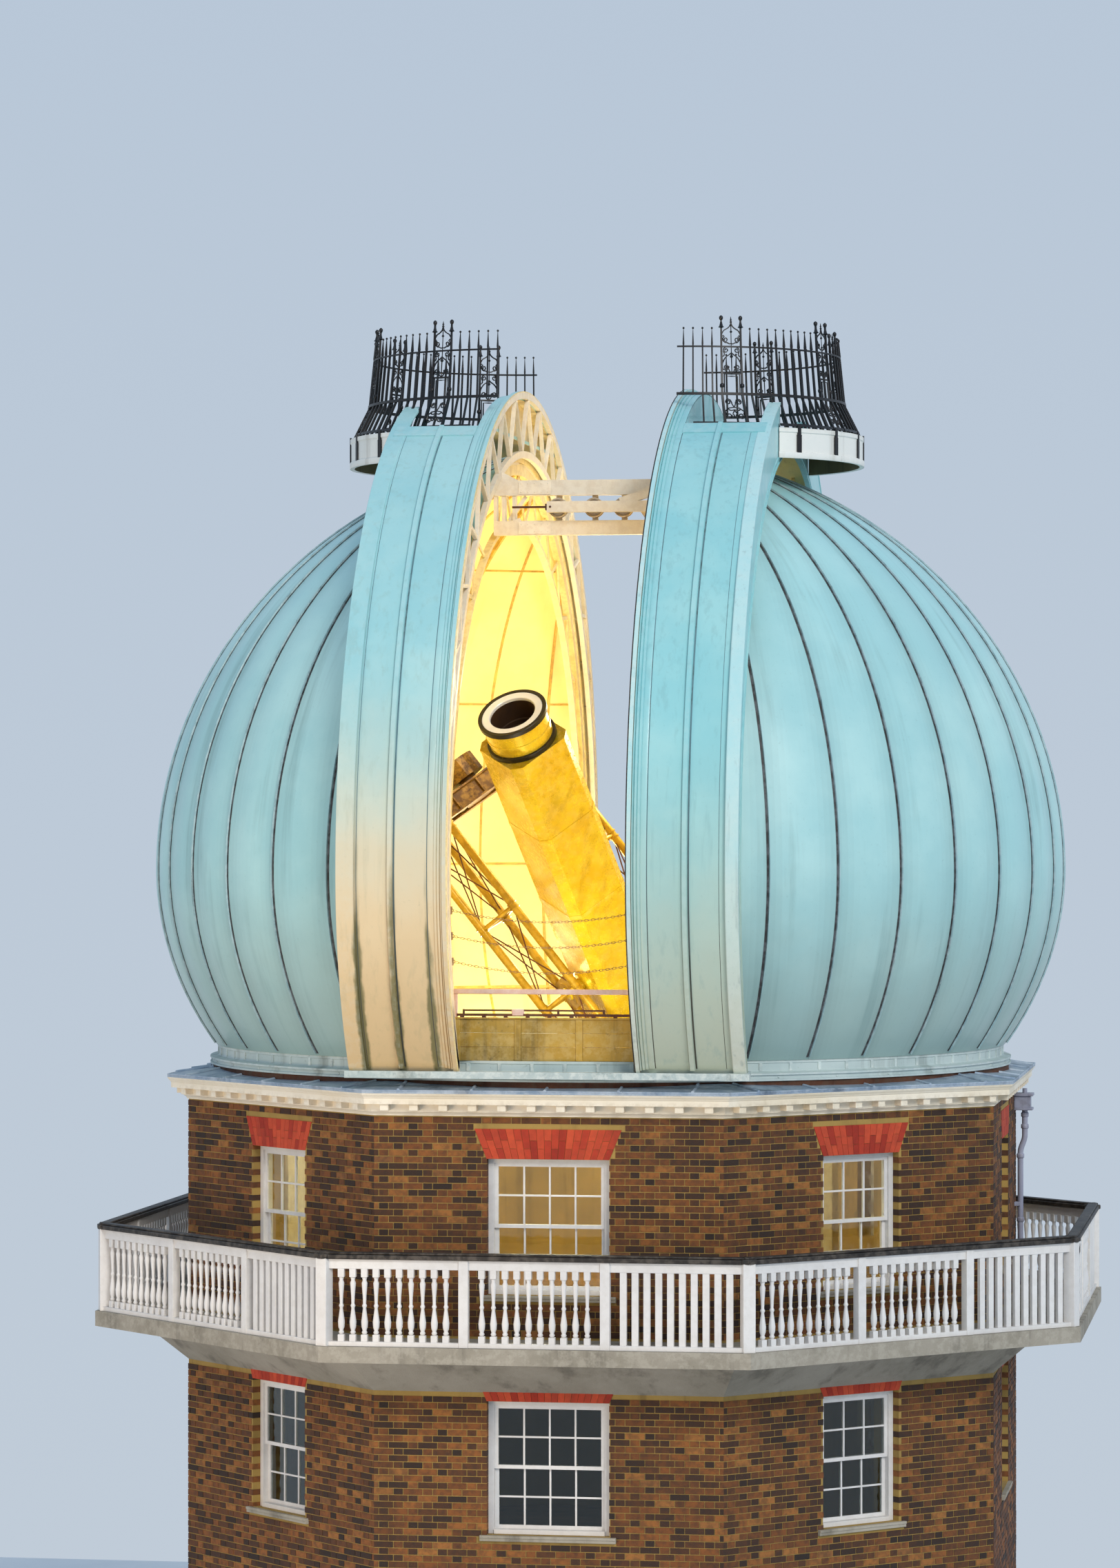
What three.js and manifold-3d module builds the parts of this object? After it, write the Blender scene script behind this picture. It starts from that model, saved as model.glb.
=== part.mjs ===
// Observatory dome on an octagonal brick tower.
// Millimetres, +Z up, origin on the ground under the middle of the tower.
// The slit of the dome faces -Y, and its two shutter leaves stand open along X.

import * as THREE from 'three';
import { mergeVertices } from 'three/addons/utils/BufferGeometryUtils.js';
import Module from 'manifold-3d';

const wasm = await Module();
wasm.setup();

// Seating gap between pieces that touch, and running gap at bearings and runners
const GAP = 0.3;
const RUNNING = 0.5;

// Levels above the ground
const PLINTH_TOP = 180;
const FIRST_FLOOR = 3300;
const DECK_LEVEL = 6450;
const FLOOR_THICK = 200;
const WALL_TOP = 8960;
const CORNICE_TOP = 9220;
const TRACK_TOP = 9350;
const CURB_BOTTOM = TRACK_TOP + RUNNING;
const CURB_TOP = 9580;
const EQUATOR = 11700;

// Octagonal tower, sized by the distance from its axis to the middle of a side
const WALL_APOTHEM = 4800;
const WALL_THICK = 450;
const PLINTH_APOTHEM = 4900;
const TERRACE_APOTHEM = 5840;
const RAIL_APOTHEM = 5740;
const CORNICE_APOTHEM = 5040;
const OCTAGON = 8;

// Windows of the three storeys: sill and head
const STOREYS = [
  { name: 'ground', sill: 1150, head: 2650, wide: 1120 },
  { name: 'first', sill: 4250, head: 5750, wide: 1120 },
  { name: 'upper', sill: 6950, head: 8480, wide: 1120 },
];
const FRONT_WINDOW_WIDE = 1400;
const DOOR = { wide: 1250, high: 2300, thick: 60 };

// Dome shell: an upper and a lower half oval turned about the axis, in forty gores
const GORES = 40;
const SHELL = { half: 5505, rise: 5120, drop: 4310 };
const SHELL_THICK = 90;
const SLIT_HALF = 1100;

// Hoops of a shutter leaf, in the plane across X
const LEAF_OPEN = 1000;
const LEAF_WIDE = 1260;
const LEAF_FOOT = 9470;
const LEAF_RIM = { half: 5680, rise: 5810, drop: 4425 };
const TRUSS_INNER = { half: 5450, rise: 5000, drop: 4760 };
const FIN_RIM = { half: 5680, rise: 5720, drop: 4425 };
const FIN_INNER = { half: 5400, rise: 5030, drop: 4720 };
const SKIN_RIM = { half: 5620, rise: 5750, drop: 4425 };
const SKIN_THICK = 40;
const HOOP_PLATE = 60;

// Arches that edge the slit, below the shell
const JAMB_RIM = { half: 5222, rise: 4848, drop: 4180 };
const JAMB_INNER = { half: 4850, rise: 4200, drop: 4440 };
const JAMB_PLATE = 80;
const ARCH_BAR = 34;

// Crossbeams over the slit, and the tail bars that run on their rollers
const BEAM = { near: 1860, far: 2000, top: 16310, bottom: 15560 };
const BEAM_WINDOW = { top: 16130, bottom: 15830, half: 1070 };
const BEAM_LOWER_EDGE = 15660;
const ROLLERS = [-330, 100, 450];
const ROLLER_RADIUS = 117;
const TAIL_BAR = { near: 2060, far: 2160, top: 16050, bottom: 15920, end: -440 };

// Crown of the dome: deck, fascia and railing, one half circle on each leaf
const CROWN_DECK = 16930;
const CROWN_DECK_THICK = 50;
const CROWN_RADIUS = 2100;
const FASCIA_BOTTOM = 16570;
const FASCIA_THICK = 60;
const RAILING = {
  foot: { z: CROWN_DECK, radius: 2050 },
  waist: { z: 17310, radius: 1860 },
  top: { z: 17900, radius: 1800 },
  tip: { z: 18260, radius: 1780 },
};
const SPIKE_TIP = 18120;
const FIN_CLEAR = 1500;
const CASING = 170;

// The two halves of the crown railing: their middle, and the places of ornaments and spikes as
// degrees round from the front. The foot rail is open for the fin after the bars in finCrossings
const RIGHT_CROWN = {
  centre: 1000,
  panels: [22.5, 67.5, 112.5, 157.5],
  spikes: [2.4, 10.5, 34, 45, 56, 79.5, 90, 100.5, 124, 135, 146, 169.5, 182.2],
  finCrossings: [34, 135],
};
const LEFT_CROWN = {
  centre: 1100,
  panels: [22.1, 67.5, 112.5, 157.5],
  spikes: [-0.5, 9.5, 30, 41, 54, 79.5, 90, 100.5, 124, 139, 150, 167.5, 175.8],
  finCrossings: [30, 139],
};
const RAILING_BAR = 26;
const RAILING_RAIL = 32;

// Telescope on its yoke
const PIVOT = new THREE.Vector3(0, 0, 10550);
const POLE_ALTITUDE = THREE.MathUtils.degToRad(51.5);
const HOUR_ANGLE = THREE.MathUtils.degToRad(64);
const DECLINATION = THREE.MathUtils.degToRad(44.8);
const YOKE = { half: 2550, head: 250, reach: 1150, deep: 320, journal: 115, journalEnd: 3060 };
const YOKE_CHORDS = [[620, 270], [620, -270], [1040, 0]];
const CHORD_RADIUS = 55;
const TRUNNION = { radius: 90, end: 690 };
const PIN_SIDES = 16;
const TUBE = { half: 425, chamfer: 110, rear: -3722, front: 3600 };
const DEW_CAP = { front: 4030, ring: 420, drum: 385, bore: 275, ringLong: 60 };
const BEARING = { start: 2860, end: 3110, outer: 250 };

const FINISH = {
  brick: { color: 0x6b4a38, roughness: 0.9, metalness: 0 },
  stone: { color: 0x9c9686, roughness: 0.9, metalness: 0 },
  timber: { color: 0x8a6a45, roughness: 0.7, metalness: 0 },
  cream: { color: 0xdcd9c8, roughness: 0.6, metalness: 0 },
  lead: { color: 0x6f7f86, roughness: 0.6, metalness: 0.4 },
  glass: { color: 0xa9b9bf, roughness: 0.1, metalness: 0 },
  shell: { color: 0x86a9a9, roughness: 0.5, metalness: 0 },
  steel: { color: 0xe0d2b8, roughness: 0.5, metalness: 0.2 },
  iron: { color: 0x14171a, roughness: 0.5, metalness: 0.4 },
  brass: { color: 0xc08a2e, roughness: 0.4, metalness: 0.3 },
  green: { color: 0x2f4a3a, roughness: 0.5, metalness: 0 },
};

const observatory = new THREE.Group();

// Basic tools

function weld(geometry) {
  geometry.deleteAttribute('normal');
  geometry.deleteAttribute('uv');
  const welded = mergeVertices(geometry, 1e-3);
  const index = welded.index.array;
  const corners = [];
  for (let t = 0; t < index.length; t += 3) {
    const [a, b, c] = [index[t], index[t + 1], index[t + 2]];
    if (a !== b && b !== c && c !== a) corners.push(a, b, c);
  }
  if (signedVolume(welded.attributes.position, corners) < 0) {
    for (let t = 0; t < corners.length; t += 3) {
      [corners[t + 1], corners[t + 2]] = [corners[t + 2], corners[t + 1]];
    }
  }
  welded.setIndex(corners);
  return welded;
}

function signedVolume(position, corners) {
  const a = new THREE.Vector3();
  const b = new THREE.Vector3();
  const c = new THREE.Vector3();
  let volume = 0;
  for (let t = 0; t < corners.length; t += 3) {
    a.fromBufferAttribute(position, corners[t]);
    b.fromBufferAttribute(position, corners[t + 1]);
    c.fromBufferAttribute(position, corners[t + 2]);
    volume += a.dot(b.cross(c)) / 6;
  }
  return volume;
}

function toManifold(geometry) {
  const welded = weld(geometry.clone());
  return new wasm.Manifold(new wasm.Mesh({
    numProp: 3,
    vertProperties: new Float32Array(welded.attributes.position.array),
    triVerts: new Uint32Array(welded.index.array),
  }));
}

function fromManifold(solid) {
  const mesh = solid.getMesh();
  const geometry = new THREE.BufferGeometry();
  geometry.setAttribute('position', new THREE.BufferAttribute(mesh.vertProperties.slice(), 3));
  geometry.setIndex(new THREE.BufferAttribute(mesh.triVerts.slice(), 1));
  return geometry;
}

function fuse(...geometries) {
  return fromManifold(geometries.map(toManifold).reduce((whole, piece) => whole.add(piece)));
}

function cut(geometry, ...cutters) {
  return fromManifold(
    cutters.map(toManifold).reduce((whole, cutter) => whole.subtract(cutter), toManifold(geometry)),
  );
}

function keep(geometry, region) {
  return fromManifold(toManifold(geometry).intersect(toManifold(region)));
}

function addPiece(name, geometry, finish, parent = observatory) {
  const mesh = new THREE.Mesh(weld(geometry), new THREE.MeshStandardMaterial(finish));
  mesh.name = name;
  parent.add(mesh);
  return mesh;
}

function box(low, high) {
  const size = high.map((value, axis) => value - low[axis]);
  const middle = high.map((value, axis) => (value + low[axis]) / 2);
  return new THREE.BoxGeometry(...size).translate(...middle);
}

function rod(start, end, radius, sides = 8) {
  const a = new THREE.Vector3(...start);
  const b = new THREE.Vector3(...end);
  const along = b.clone().sub(a);
  const turn = new THREE.Quaternion().setFromUnitVectors(
    new THREE.Vector3(0, 1, 0),
    along.clone().normalize(),
  );
  return new THREE.CylinderGeometry(radius, radius, along.length(), sides)
    .applyQuaternion(turn)
    .translate(...a.add(b).multiplyScalar(0.5));
}

function outline(points) {
  return points.map(([u, v]) => new THREE.Vector2(u, v));
}

function prism(points, thick) {
  const edge = outline(points);
  return new THREE.ExtrudeGeometry(new THREE.Shape(edge), { depth: thick, bevelEnabled: false });
}

function plate(points, thick, holes = []) {
  const whole = prism(points, thick);
  if (holes.length === 0) return whole;
  const past = 20;
  const cutters = holes.map((hole) => prism(hole, thick + 2 * past).translate(0, 0, -past));
  return cut(whole, ...cutters);
}

// A plate drawn in Y and Z, from x0 to x1
function plateAcrossX(points, x0, x1, holes = []) {
  const turn = new THREE.Matrix4().set(0, 0, 1, x0, 1, 0, 0, 0, 0, 1, 0, 0, 0, 0, 0, 1);
  return plate(points, x1 - x0, holes).applyMatrix4(turn);
}

// A plate drawn in X and Z, from y0 back to y1
function plateAcrossY(points, y0, y1, holes = []) {
  return plate(points, y1 - y0, holes).rotateX(Math.PI / 2).translate(0, y1, 0);
}

// A plate drawn in X and Y, from z0 up to z1
function plateAcrossZ(points, z0, z1, holes = []) {
  return plate(points, z1 - z0, holes).translate(0, 0, z0);
}

// A profile of radius and height turned about the vertical axis, with the seam at the front
function turned(profile, segments, first = 0) {
  const points = outline([...profile, profile[0]]);
  return new THREE.LatheGeometry(points, segments, first, Math.PI * 2).rotateX(Math.PI / 2);
}

// A profile of apothem and height carried round the eight sides
function octagonRing(profile) {
  const scale = 1 / Math.cos(Math.PI / OCTAGON);
  const corners = profile.map(([apothem, z]) => [apothem * scale, z]);
  return turned(corners, OCTAGON, Math.PI / OCTAGON);
}

// A wall one cell thick on a grid of lines, with some cells left open.
// corner(i, j, side) is the point on column line i and row line j, inside (0) or outside (1).
function gridWall(columns, rows, filled, corner, closed) {
  const triangles = [];
  const isFilled = (i, j) => {
    if (j < 0 || j >= rows) return false;
    if (!closed && (i < 0 || i >= columns)) return false;
    return filled((i + columns) % columns, j);
  };
  const quad = (a, b, c, d) => triangles.push(...a, ...b, ...c, ...a, ...c, ...d);
  for (let i = 0; i < columns; i += 1) {
    for (let j = 0; j < rows; j += 1) {
      if (!isFilled(i, j)) continue;
      const lines = [[i, j], [i + 1, j], [i + 1, j + 1], [i, j + 1]];
      const inner = lines.map(([u, v]) => corner(u, v, 0));
      const outer = lines.map(([u, v]) => corner(u, v, 1));
      quad(...outer);
      quad(inner[3], inner[2], inner[1], inner[0]);
      const beyond = [[i, j - 1], [i + 1, j], [i, j + 1], [i - 1, j]];
      beyond.forEach(([u, v], edge) => {
        const next = (edge + 1) % 4;
        if (!isFilled(u, v)) quad(inner[edge], inner[next], outer[next], outer[edge]);
      });
    }
  }
  const geometry = new THREE.BufferGeometry();
  geometry.setAttribute('position', new THREE.Float32BufferAttribute(triangles, 3));
  return geometry;
}

// Ovals and hoops

function ovalPoint(oval, turn) {
  const tall = Math.sin(turn) >= 0 ? oval.rise : oval.drop;
  return [-oval.half * Math.cos(turn), EQUATOR + tall * Math.sin(turn)];
}

function footTurn(oval, z) {
  return -Math.asin((EQUATOR - z) / oval.drop);
}

function ovalLine(oval, start, end, steps) {
  return Array.from({ length: steps + 1 }, (_, k) => ovalPoint(oval, start + (end - start) * k / steps));
}

// The line of a hoop from its front foot over the top to its back foot
function hoopLine(oval, foot, steps) {
  const start = footTurn(oval, foot);
  return ovalLine(oval, start, Math.PI - start, steps);
}

// Draws the corners of a triangle in by the width of the bars around it
function insetTriangle(corners, width) {
  const [a, b, c] = corners.map(([u, v]) => new THREE.Vector2(u, v));
  const sides = [b.distanceTo(c), c.distanceTo(a), a.distanceTo(b)];
  const around = sides[0] + sides[1] + sides[2];
  const area = Math.abs((b.x - a.x) * (c.y - a.y) - (c.x - a.x) * (b.y - a.y)) / 2;
  const inradius = 2 * area / around;
  if (inradius < width * 1.6) return null;
  const middle = new THREE.Vector2()
    .addScaledVector(a, sides[0] / around)
    .addScaledVector(b, sides[1] / around)
    .addScaledVector(c, sides[2] / around);
  const shrink = (inradius - width) / inradius;
  return [a, b, c].map((p) => middle.clone().lerp(p, shrink)).map((p) => [p.x, p.y]);
}

// A crescent between two ovals, opened by a row of triangles
function trussHoop({ rim, inner, foot, panels, bar, x0, x1 }) {
  const rimStart = footTurn(rim, foot);
  const innerStart = footTurn(inner, foot);
  const along = (start, share) => start + (Math.PI - 2 * start) * share;
  const rimLine = hoopLine(rim, foot, panels);
  const innerLine = [ovalPoint(inner, innerStart)];
  for (let k = 0; k < panels; k += 1) {
    innerLine.push(ovalPoint(inner, along(innerStart, (k + 0.5) / panels)));
  }
  innerLine.push(ovalPoint(inner, along(innerStart, 1)));
  const shrunk = { half: rim.half - bar, rise: rim.rise - bar, drop: rim.drop - bar };
  const grown = { half: inner.half + bar, rise: inner.rise + bar, drop: inner.drop + bar };
  const outerNode = (k) => ovalPoint(shrunk, along(rimStart, k / panels));
  const innerNode = (k) => ovalPoint(grown, along(innerStart, (k + 0.5) / panels));
  const holes = [];
  for (let k = 1; k < panels - 1; k += 1) {
    const upright = insetTriangle([outerNode(k), outerNode(k + 1), innerNode(k)], bar);
    if (upright) holes.push(upright);
    const hanging = insetTriangle([innerNode(k - 1), innerNode(k), outerNode(k)], bar);
    if (hanging) holes.push(hanging);
  }
  return plateAcrossX([...rimLine, ...innerLine.reverse()], x0, x1, holes);
}

// A plain crescent between two ovals
function plainHoop({ rim, inner, foot, steps, x0, x1 }) {
  const points = [...hoopLine(rim, foot, steps), ...hoopLine(inner, foot, steps).reverse()];
  return plateAcrossX(points, x0, x1);
}

function mirrored(geometry, mirror) {
  return mirror ? geometry.scale(-1, 1, 1) : geometry;
}

// Tower

function wallPanel(windows, doorway) {
  const inner = WALL_APOTHEM - WALL_THICK;
  const slope = Math.tan(Math.PI / OCTAGON);
  const half = WALL_APOTHEM * slope;
  const bottom = PLINTH_TOP + GAP;
  const points = [[-half, bottom]];
  if (doorway) {
    const side = DOOR.wide / 2;
    const head = PLINTH_TOP + DOOR.high;
    points.push([-side, bottom], [-side, head], [side, head], [side, bottom]);
  }
  points.push([half, bottom], [half, WALL_TOP], [-half, WALL_TOP]);
  const holes = windows.map(({ wide, sill, head }) => (
    [[-wide / 2, sill], [wide / 2, sill], [wide / 2, head], [-wide / 2, head]]
  ));
  const geometry = plate(points, WALL_THICK, holes).translate(0, 0, inner);
  const position = geometry.attributes.position;
  for (let k = 0; k < position.count; k += 1) {
    const u = position.getX(k);
    if (Math.abs(u) < half - 1) continue;
    position.setX(k, Math.sign(u) * (position.getZ(k) * slope - GAP));
  }
  return geometry.rotateX(Math.PI / 2);
}

function buildWalls() {
  const names = ['front', 'front_right', 'right', 'back_right', 'back', 'back_left', 'left', 'front_left'];
  names.forEach((name, face) => {
    const isBack = name === 'back';
    const windows = STOREYS.filter((storey) => !(isBack && storey.name === 'ground')).map((storey) => ({
      ...storey,
      wide: name === 'front' ? FRONT_WINDOW_WIDE : storey.wide,
    }));
    const panel = wallPanel(windows, isBack).rotateZ(face * Math.PI / 4);
    addPiece(`${name}_wall`, panel, FINISH.brick);
  });
  const reveal = DOOR.wide / 2 - GAP;
  const face = WALL_APOTHEM - WALL_THICK / 2;
  const door = box(
    [-reveal, face, PLINTH_TOP + GAP],
    [reveal, face + DOOR.thick, PLINTH_TOP + DOOR.high - GAP],
  );
  addPiece('ground_door', door, FINISH.green);
}

function buildFloors() {
  addPiece('base_slab', octagonSlab(PLINTH_APOTHEM, 0, PLINTH_TOP), FINISH.stone);
  const inside = WALL_APOTHEM - WALL_THICK - GAP;
  const firstFloor = octagonSlab(inside, FIRST_FLOOR - FLOOR_THICK, FIRST_FLOOR);
  addPiece('first_floor', firstFloor, FINISH.timber);
  const telescopeFloor = octagonSlab(inside, DECK_LEVEL - FLOOR_THICK, DECK_LEVEL);
  addPiece('telescope_floor', telescopeFloor, FINISH.timber);
}

function octagonSlab(apothem, bottom, top) {
  const radius = apothem / Math.cos(Math.PI / OCTAGON);
  const points = Array.from({ length: OCTAGON }, (_, k) => {
    const angle = (k + 0.5) * Math.PI * 2 / OCTAGON;
    return [radius * Math.cos(angle), radius * Math.sin(angle)];
  });
  return plateAcrossZ(points, bottom, top);
}

function buildGlazing() {
  const outer = WALL_APOTHEM - WALL_THICK - GAP;
  const inner = outer - 8;
  const lap = 80;
  for (const { name, sill, head } of STOREYS) {
    const profile = [[inner, sill - lap], [outer, sill - lap], [outer, head + lap], [inner, head + lap]];
    addPiece(`${name}_glazing`, octagonRing(profile), FINISH.glass);
  }
}

function buildTerrace() {
  const wall = WALL_APOTHEM + GAP;
  const edge = 180;
  const cove = 600;
  const deck = octagonRing([
    [wall, DECK_LEVEL],
    [wall, DECK_LEVEL - cove],
    [wall + 420, DECK_LEVEL - edge - 60],
    [TERRACE_APOTHEM, DECK_LEVEL - edge],
    [TERRACE_APOTHEM, DECK_LEVEL],
  ]);
  addPiece('terrace_deck', deck, FINISH.stone);
  addPiece('terrace_balustrade', balustrade(), FINISH.cream);
}

// Posts between a bottom rail and a handrail, round the eight sides of the terrace
function balustrade() {
  const postsPerSide = 4;
  const postHalf = 45;
  const thick = 90;
  const levels = [DECK_LEVEL + GAP, DECK_LEVEL + 90, DECK_LEVEL + 150, DECK_LEVEL + 980, DECK_LEVEL + 1050];
  const side = 2 * RAIL_APOTHEM * Math.tan(Math.PI / OCTAGON);
  const columns = OCTAGON * postsPerSide * 2;
  const corner = (line, row, outside) => {
    const wrapped = (line + columns) % columns;
    const post = Math.floor((wrapped + 1) / 2);
    const offset = wrapped % 2 === 0 ? postHalf : -postHalf;
    const along = (post / postsPerSide) * side + offset + side;
    const face = Math.floor(along / side) - 1;
    const onSide = along - (face + 1) * side - side / 2;
    const apothem = RAIL_APOTHEM + (outside ? thick / 2 : -thick / 2);
    const stretch = apothem / RAIL_APOTHEM;
    const angle = face * 2 * Math.PI / OCTAGON;
    const u = onSide * stretch;
    return [
      u * Math.cos(angle) + apothem * Math.sin(angle),
      u * Math.sin(angle) - apothem * Math.cos(angle),
      levels[row],
    ];
  };
  const filled = (column, row) => row === 1 || row === 3 || column % 2 === 1;
  return gridWall(columns, levels.length - 1, filled, corner, true);
}

function buildCornice() {
  const inner = WALL_APOTHEM - WALL_THICK;
  const bed = WALL_TOP + GAP;
  const profile = [
    [inner, bed],
    [WALL_APOTHEM + 40, bed],
    [WALL_APOTHEM + 60, WALL_TOP + 40],
    [WALL_APOTHEM + 80, WALL_TOP + 140],
    [WALL_APOTHEM + 190, WALL_TOP + 145],
    [WALL_APOTHEM + 200, WALL_TOP + 205],
    [CORNICE_APOTHEM, CORNICE_TOP],
    [inner, CORNICE_TOP],
  ];
  addPiece('main_cornice', octagonRing(profile), FINISH.cream);
  const trackInner = 4600;
  const trackOuter = 4850;
  const track = turned([
    [trackInner, CORNICE_TOP + GAP],
    [trackOuter, CORNICE_TOP + GAP],
    [trackOuter, TRACK_TOP],
    [trackInner, TRACK_TOP],
  ], GORES);
  addPiece('dome_track', track, FINISH.lead);
  const roof = octagonRing([
    [4500, CORNICE_TOP + GAP],
    [CORNICE_APOTHEM, CORNICE_TOP + GAP],
    [CORNICE_APOTHEM, CORNICE_TOP + 35],
    [4500, CORNICE_TOP + 110],
  ]);
  const well = plateAcrossZ(circle(trackOuter + GAP, GORES), CORNICE_TOP - 50, TRACK_TOP + 50);
  addPiece('lead_roof', cut(roof, well), FINISH.lead);
}

function circle(radius, segments) {
  return Array.from({ length: segments }, (_, k) => {
    const angle = k * 2 * Math.PI / segments - Math.PI / 2;
    return [radius * Math.cos(angle), radius * Math.sin(angle)];
  });
}

function buildDownpipe() {
  const pipeRadius = 40;
  const wall = WALL_APOTHEM + GAP;
  const centre = WALL_APOTHEM + 75;
  const y = 1780;
  const head = WALL_TOP - 60;
  const pipe = rod([centre, y, DECK_LEVEL + 60], [centre, y, head - 200], pipeRadius, 10);
  const hopper = box([wall, y - 120, head - 220], [wall + 240, y + 120, head]);
  const clips = [DECK_LEVEL + 500, DECK_LEVEL + 1500].map((z) => (
    box([wall, y - 60, z], [centre, y + 60, z + 50])
  ));
  addPiece('rainwater_pipe', fuse(pipe, hopper, ...clips), FINISH.iron);
}

// Dome

function shellProfile() {
  const outerSteps = 11;
  const innerSteps = 8;
  const hidden = 1000;
  const inner = {
    half: SHELL.half - SHELL_THICK,
    rise: SHELL.rise - SHELL_THICK,
    drop: SHELL.drop,
  };
  const crest = (oval) => Math.acos(hidden / oval.half);
  const radius = ([y, z]) => [-y, z];
  const base = CURB_TOP + GAP;
  const outerLine = ovalLine(SHELL, footTurn(SHELL, base), crest(SHELL), outerSteps).map(radius);
  const innerLine = ovalLine(inner, footTurn(inner, base), crest(inner), innerSteps).map(radius);
  return [...outerLine, ...innerLine.reverse()];
}

function buildShell(dome) {
  const whole = turned(shellProfile(), GORES);
  const far = 9000;
  const bottom = CURB_TOP - 100;
  const top = EQUATOR + SHELL.rise + 100;
  for (const back of [false, true]) {
    for (const left of [false, true]) {
      const region = box([SLIT_HALF, -far, bottom], [far, -GAP, top]);
      if (back) region.scale(1, -1, 1);
      mirrored(region, left);
      const name = `${back ? 'back' : 'front'}_${left ? 'left' : 'right'}_shell`;
      addPiece(name, keep(whole, region), FINISH.shell, dome);
    }
  }
}

function buildCurb(dome) {
  const profile = [
    [4580, CURB_BOTTOM],
    [4870, CURB_BOTTOM],
    [4870, 9440],
    [4780, 9455],
    [4780, CURB_TOP],
    [4580, CURB_TOP],
  ];
  addPiece('curb', turned(profile, GORES), FINISH.lead, dome);
}

function buildSlitArches(dome) {
  for (const left of [false, true]) {
    const arch = trussHoop({
      rim: JAMB_RIM,
      inner: JAMB_INNER,
      foot: CURB_TOP + GAP,
      panels: 20,
      bar: ARCH_BAR,
      x0: SLIT_HALF,
      x1: SLIT_HALF + JAMB_PLATE,
    });
    const y = -(TAIL_BAR.near + TAIL_BAR.far) / 2;
    const pass = box(
      [SLIT_HALF - 50, y - 85, TAIL_BAR.bottom - 40],
      [SLIT_HALF + 200, y + 85, TAIL_BAR.top + 40],
    );
    const shaped = left ? mirrored(cut(arch, pass), true) : arch;
    addPiece(`${left ? 'left' : 'right'}_slit_arch`, shaped, FINISH.steel, dome);
  }
}

function buildCrossbeams(dome) {
  const end = SLIT_HALF - GAP;
  const w = BEAM_WINDOW;
  const frame = plateAcrossY(
    [
      [-end, BEAM.bottom], [-w.half, BEAM.bottom], [-w.half, BEAM_LOWER_EDGE],
      [w.half, BEAM_LOWER_EDGE], [w.half, BEAM.bottom], [end, BEAM.bottom],
      [end, BEAM.top], [-end, BEAM.top],
    ],
    -BEAM.far,
    -BEAM.near,
    [[[-w.half, w.bottom], [w.half, w.bottom], [w.half, w.top], [-w.half, w.top]]],
  );
  const middle = (w.top + w.bottom) / 2;
  const rollers = ROLLERS.flatMap((x) => [
    rod([x, -BEAM.far - 40, middle], [x, -BEAM.near - 40, middle], ROLLER_RADIUS, 12),
    box([x - 40, -BEAM.near - 60, w.bottom - 60], [x + 40, -BEAM.near - 15, middle + 40]),
  ]);
  addPiece('front_crossbeams', fuse(frame, ...rollers), FINISH.steel, dome);
}

// The board, guard rail and leaf rail at one end of the slit
function buildSills(dome) {
  const board = { near: 4655, far: 4715, top: 10070 };
  const guard = { bottom: 10330, top: 10390, post: 50 };
  const half = SLIT_HALF - GAP;
  for (const back of [false, true]) {
    const wall = box([-half, -board.far, CURB_TOP + GAP], [half, -board.near, guard.top]);
    const gaps = [
      [guard.post / 2, half - guard.post],
      [guard.post - half, -guard.post / 2],
    ].map(([a, b]) => box([a, -board.far - 50, board.top], [b, -board.near + 50, guard.bottom]));
    const sill = cut(wall, ...gaps);
    const name = back ? 'back' : 'front';
    addPiece(`${name}_sill`, back ? sill.rotateZ(Math.PI) : sill, FINISH.cream, dome);
    const rail = leafRail();
    addPiece(`${name}_leaf_rail`, back ? rail.rotateZ(Math.PI) : rail, FINISH.steel, dome);
  }
}

// The straight rail under the leaves, with arms that reach back to the curb
function leafRail() {
  const half = LEAF_OPEN + LEAF_WIDE + 40;
  const near = 4900;
  const far = 4980;
  const curb = 4870 + GAP;
  const armHalf = 40;
  const points = [[-half, -far], [half, -far]];
  for (const x of [2200, 1200, 0, -1200, -2200]) {
    const reach = (u) => -Math.sqrt(curb * curb - u * u) - 0.5;
    points.push([x + armHalf, -near], [x + armHalf, reach(x + armHalf)]);
    points.push([x - armHalf, reach(x - armHalf)], [x - armHalf, -near]);
  }
  points.push([-half, -near]);
  points.splice(2, 0, [half, -near]);
  return plateAcrossZ(points, LEAF_FOOT - 80, LEAF_FOOT - RUNNING);
}

// Safety chains across the slit, each between two eye plates on the slit arches
function buildChains(dome) {
  const eye = { half: 45, thick: 12 };
  const end = SLIT_HALF - GAP - eye.thick / 2;
  const sag = 130;
  const chord = { half: JAMB_INNER.half + ARCH_BAR, drop: JAMB_INNER.drop + ARCH_BAR };
  [11280, 10990, 10700].forEach((z, k) => {
    const [y] = ovalPoint(chord, -Math.asin((EQUATOR - z) / chord.drop));
    const points = [-1, -0.5, 0, 0.5, 1].map((share) => (
      new THREE.Vector3(share * end, y, z - sag * (1 - share * share))
    ));
    const curve = new THREE.CatmullRomCurve3(points);
    const section = new THREE.Shape(outline(circle(13, 6)));
    const chain = new THREE.ExtrudeGeometry(section, { steps: 12, extrudePath: curve, bevelEnabled: false });
    const eyes = [-1, 1].map((side) => {
      const faces = [side * (SLIT_HALF - GAP), side * (SLIT_HALF - GAP - eye.thick)].sort((a, b) => a - b);
      return box([faces[0], y - eye.half, z - eye.half], [faces[1], y + eye.half, z + eye.half]);
    });
    addPiece(`safety_chain_${k + 1}`, fuse(chain, ...eyes), FINISH.steel, dome);
  });
}

// Shutter leaves

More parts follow.
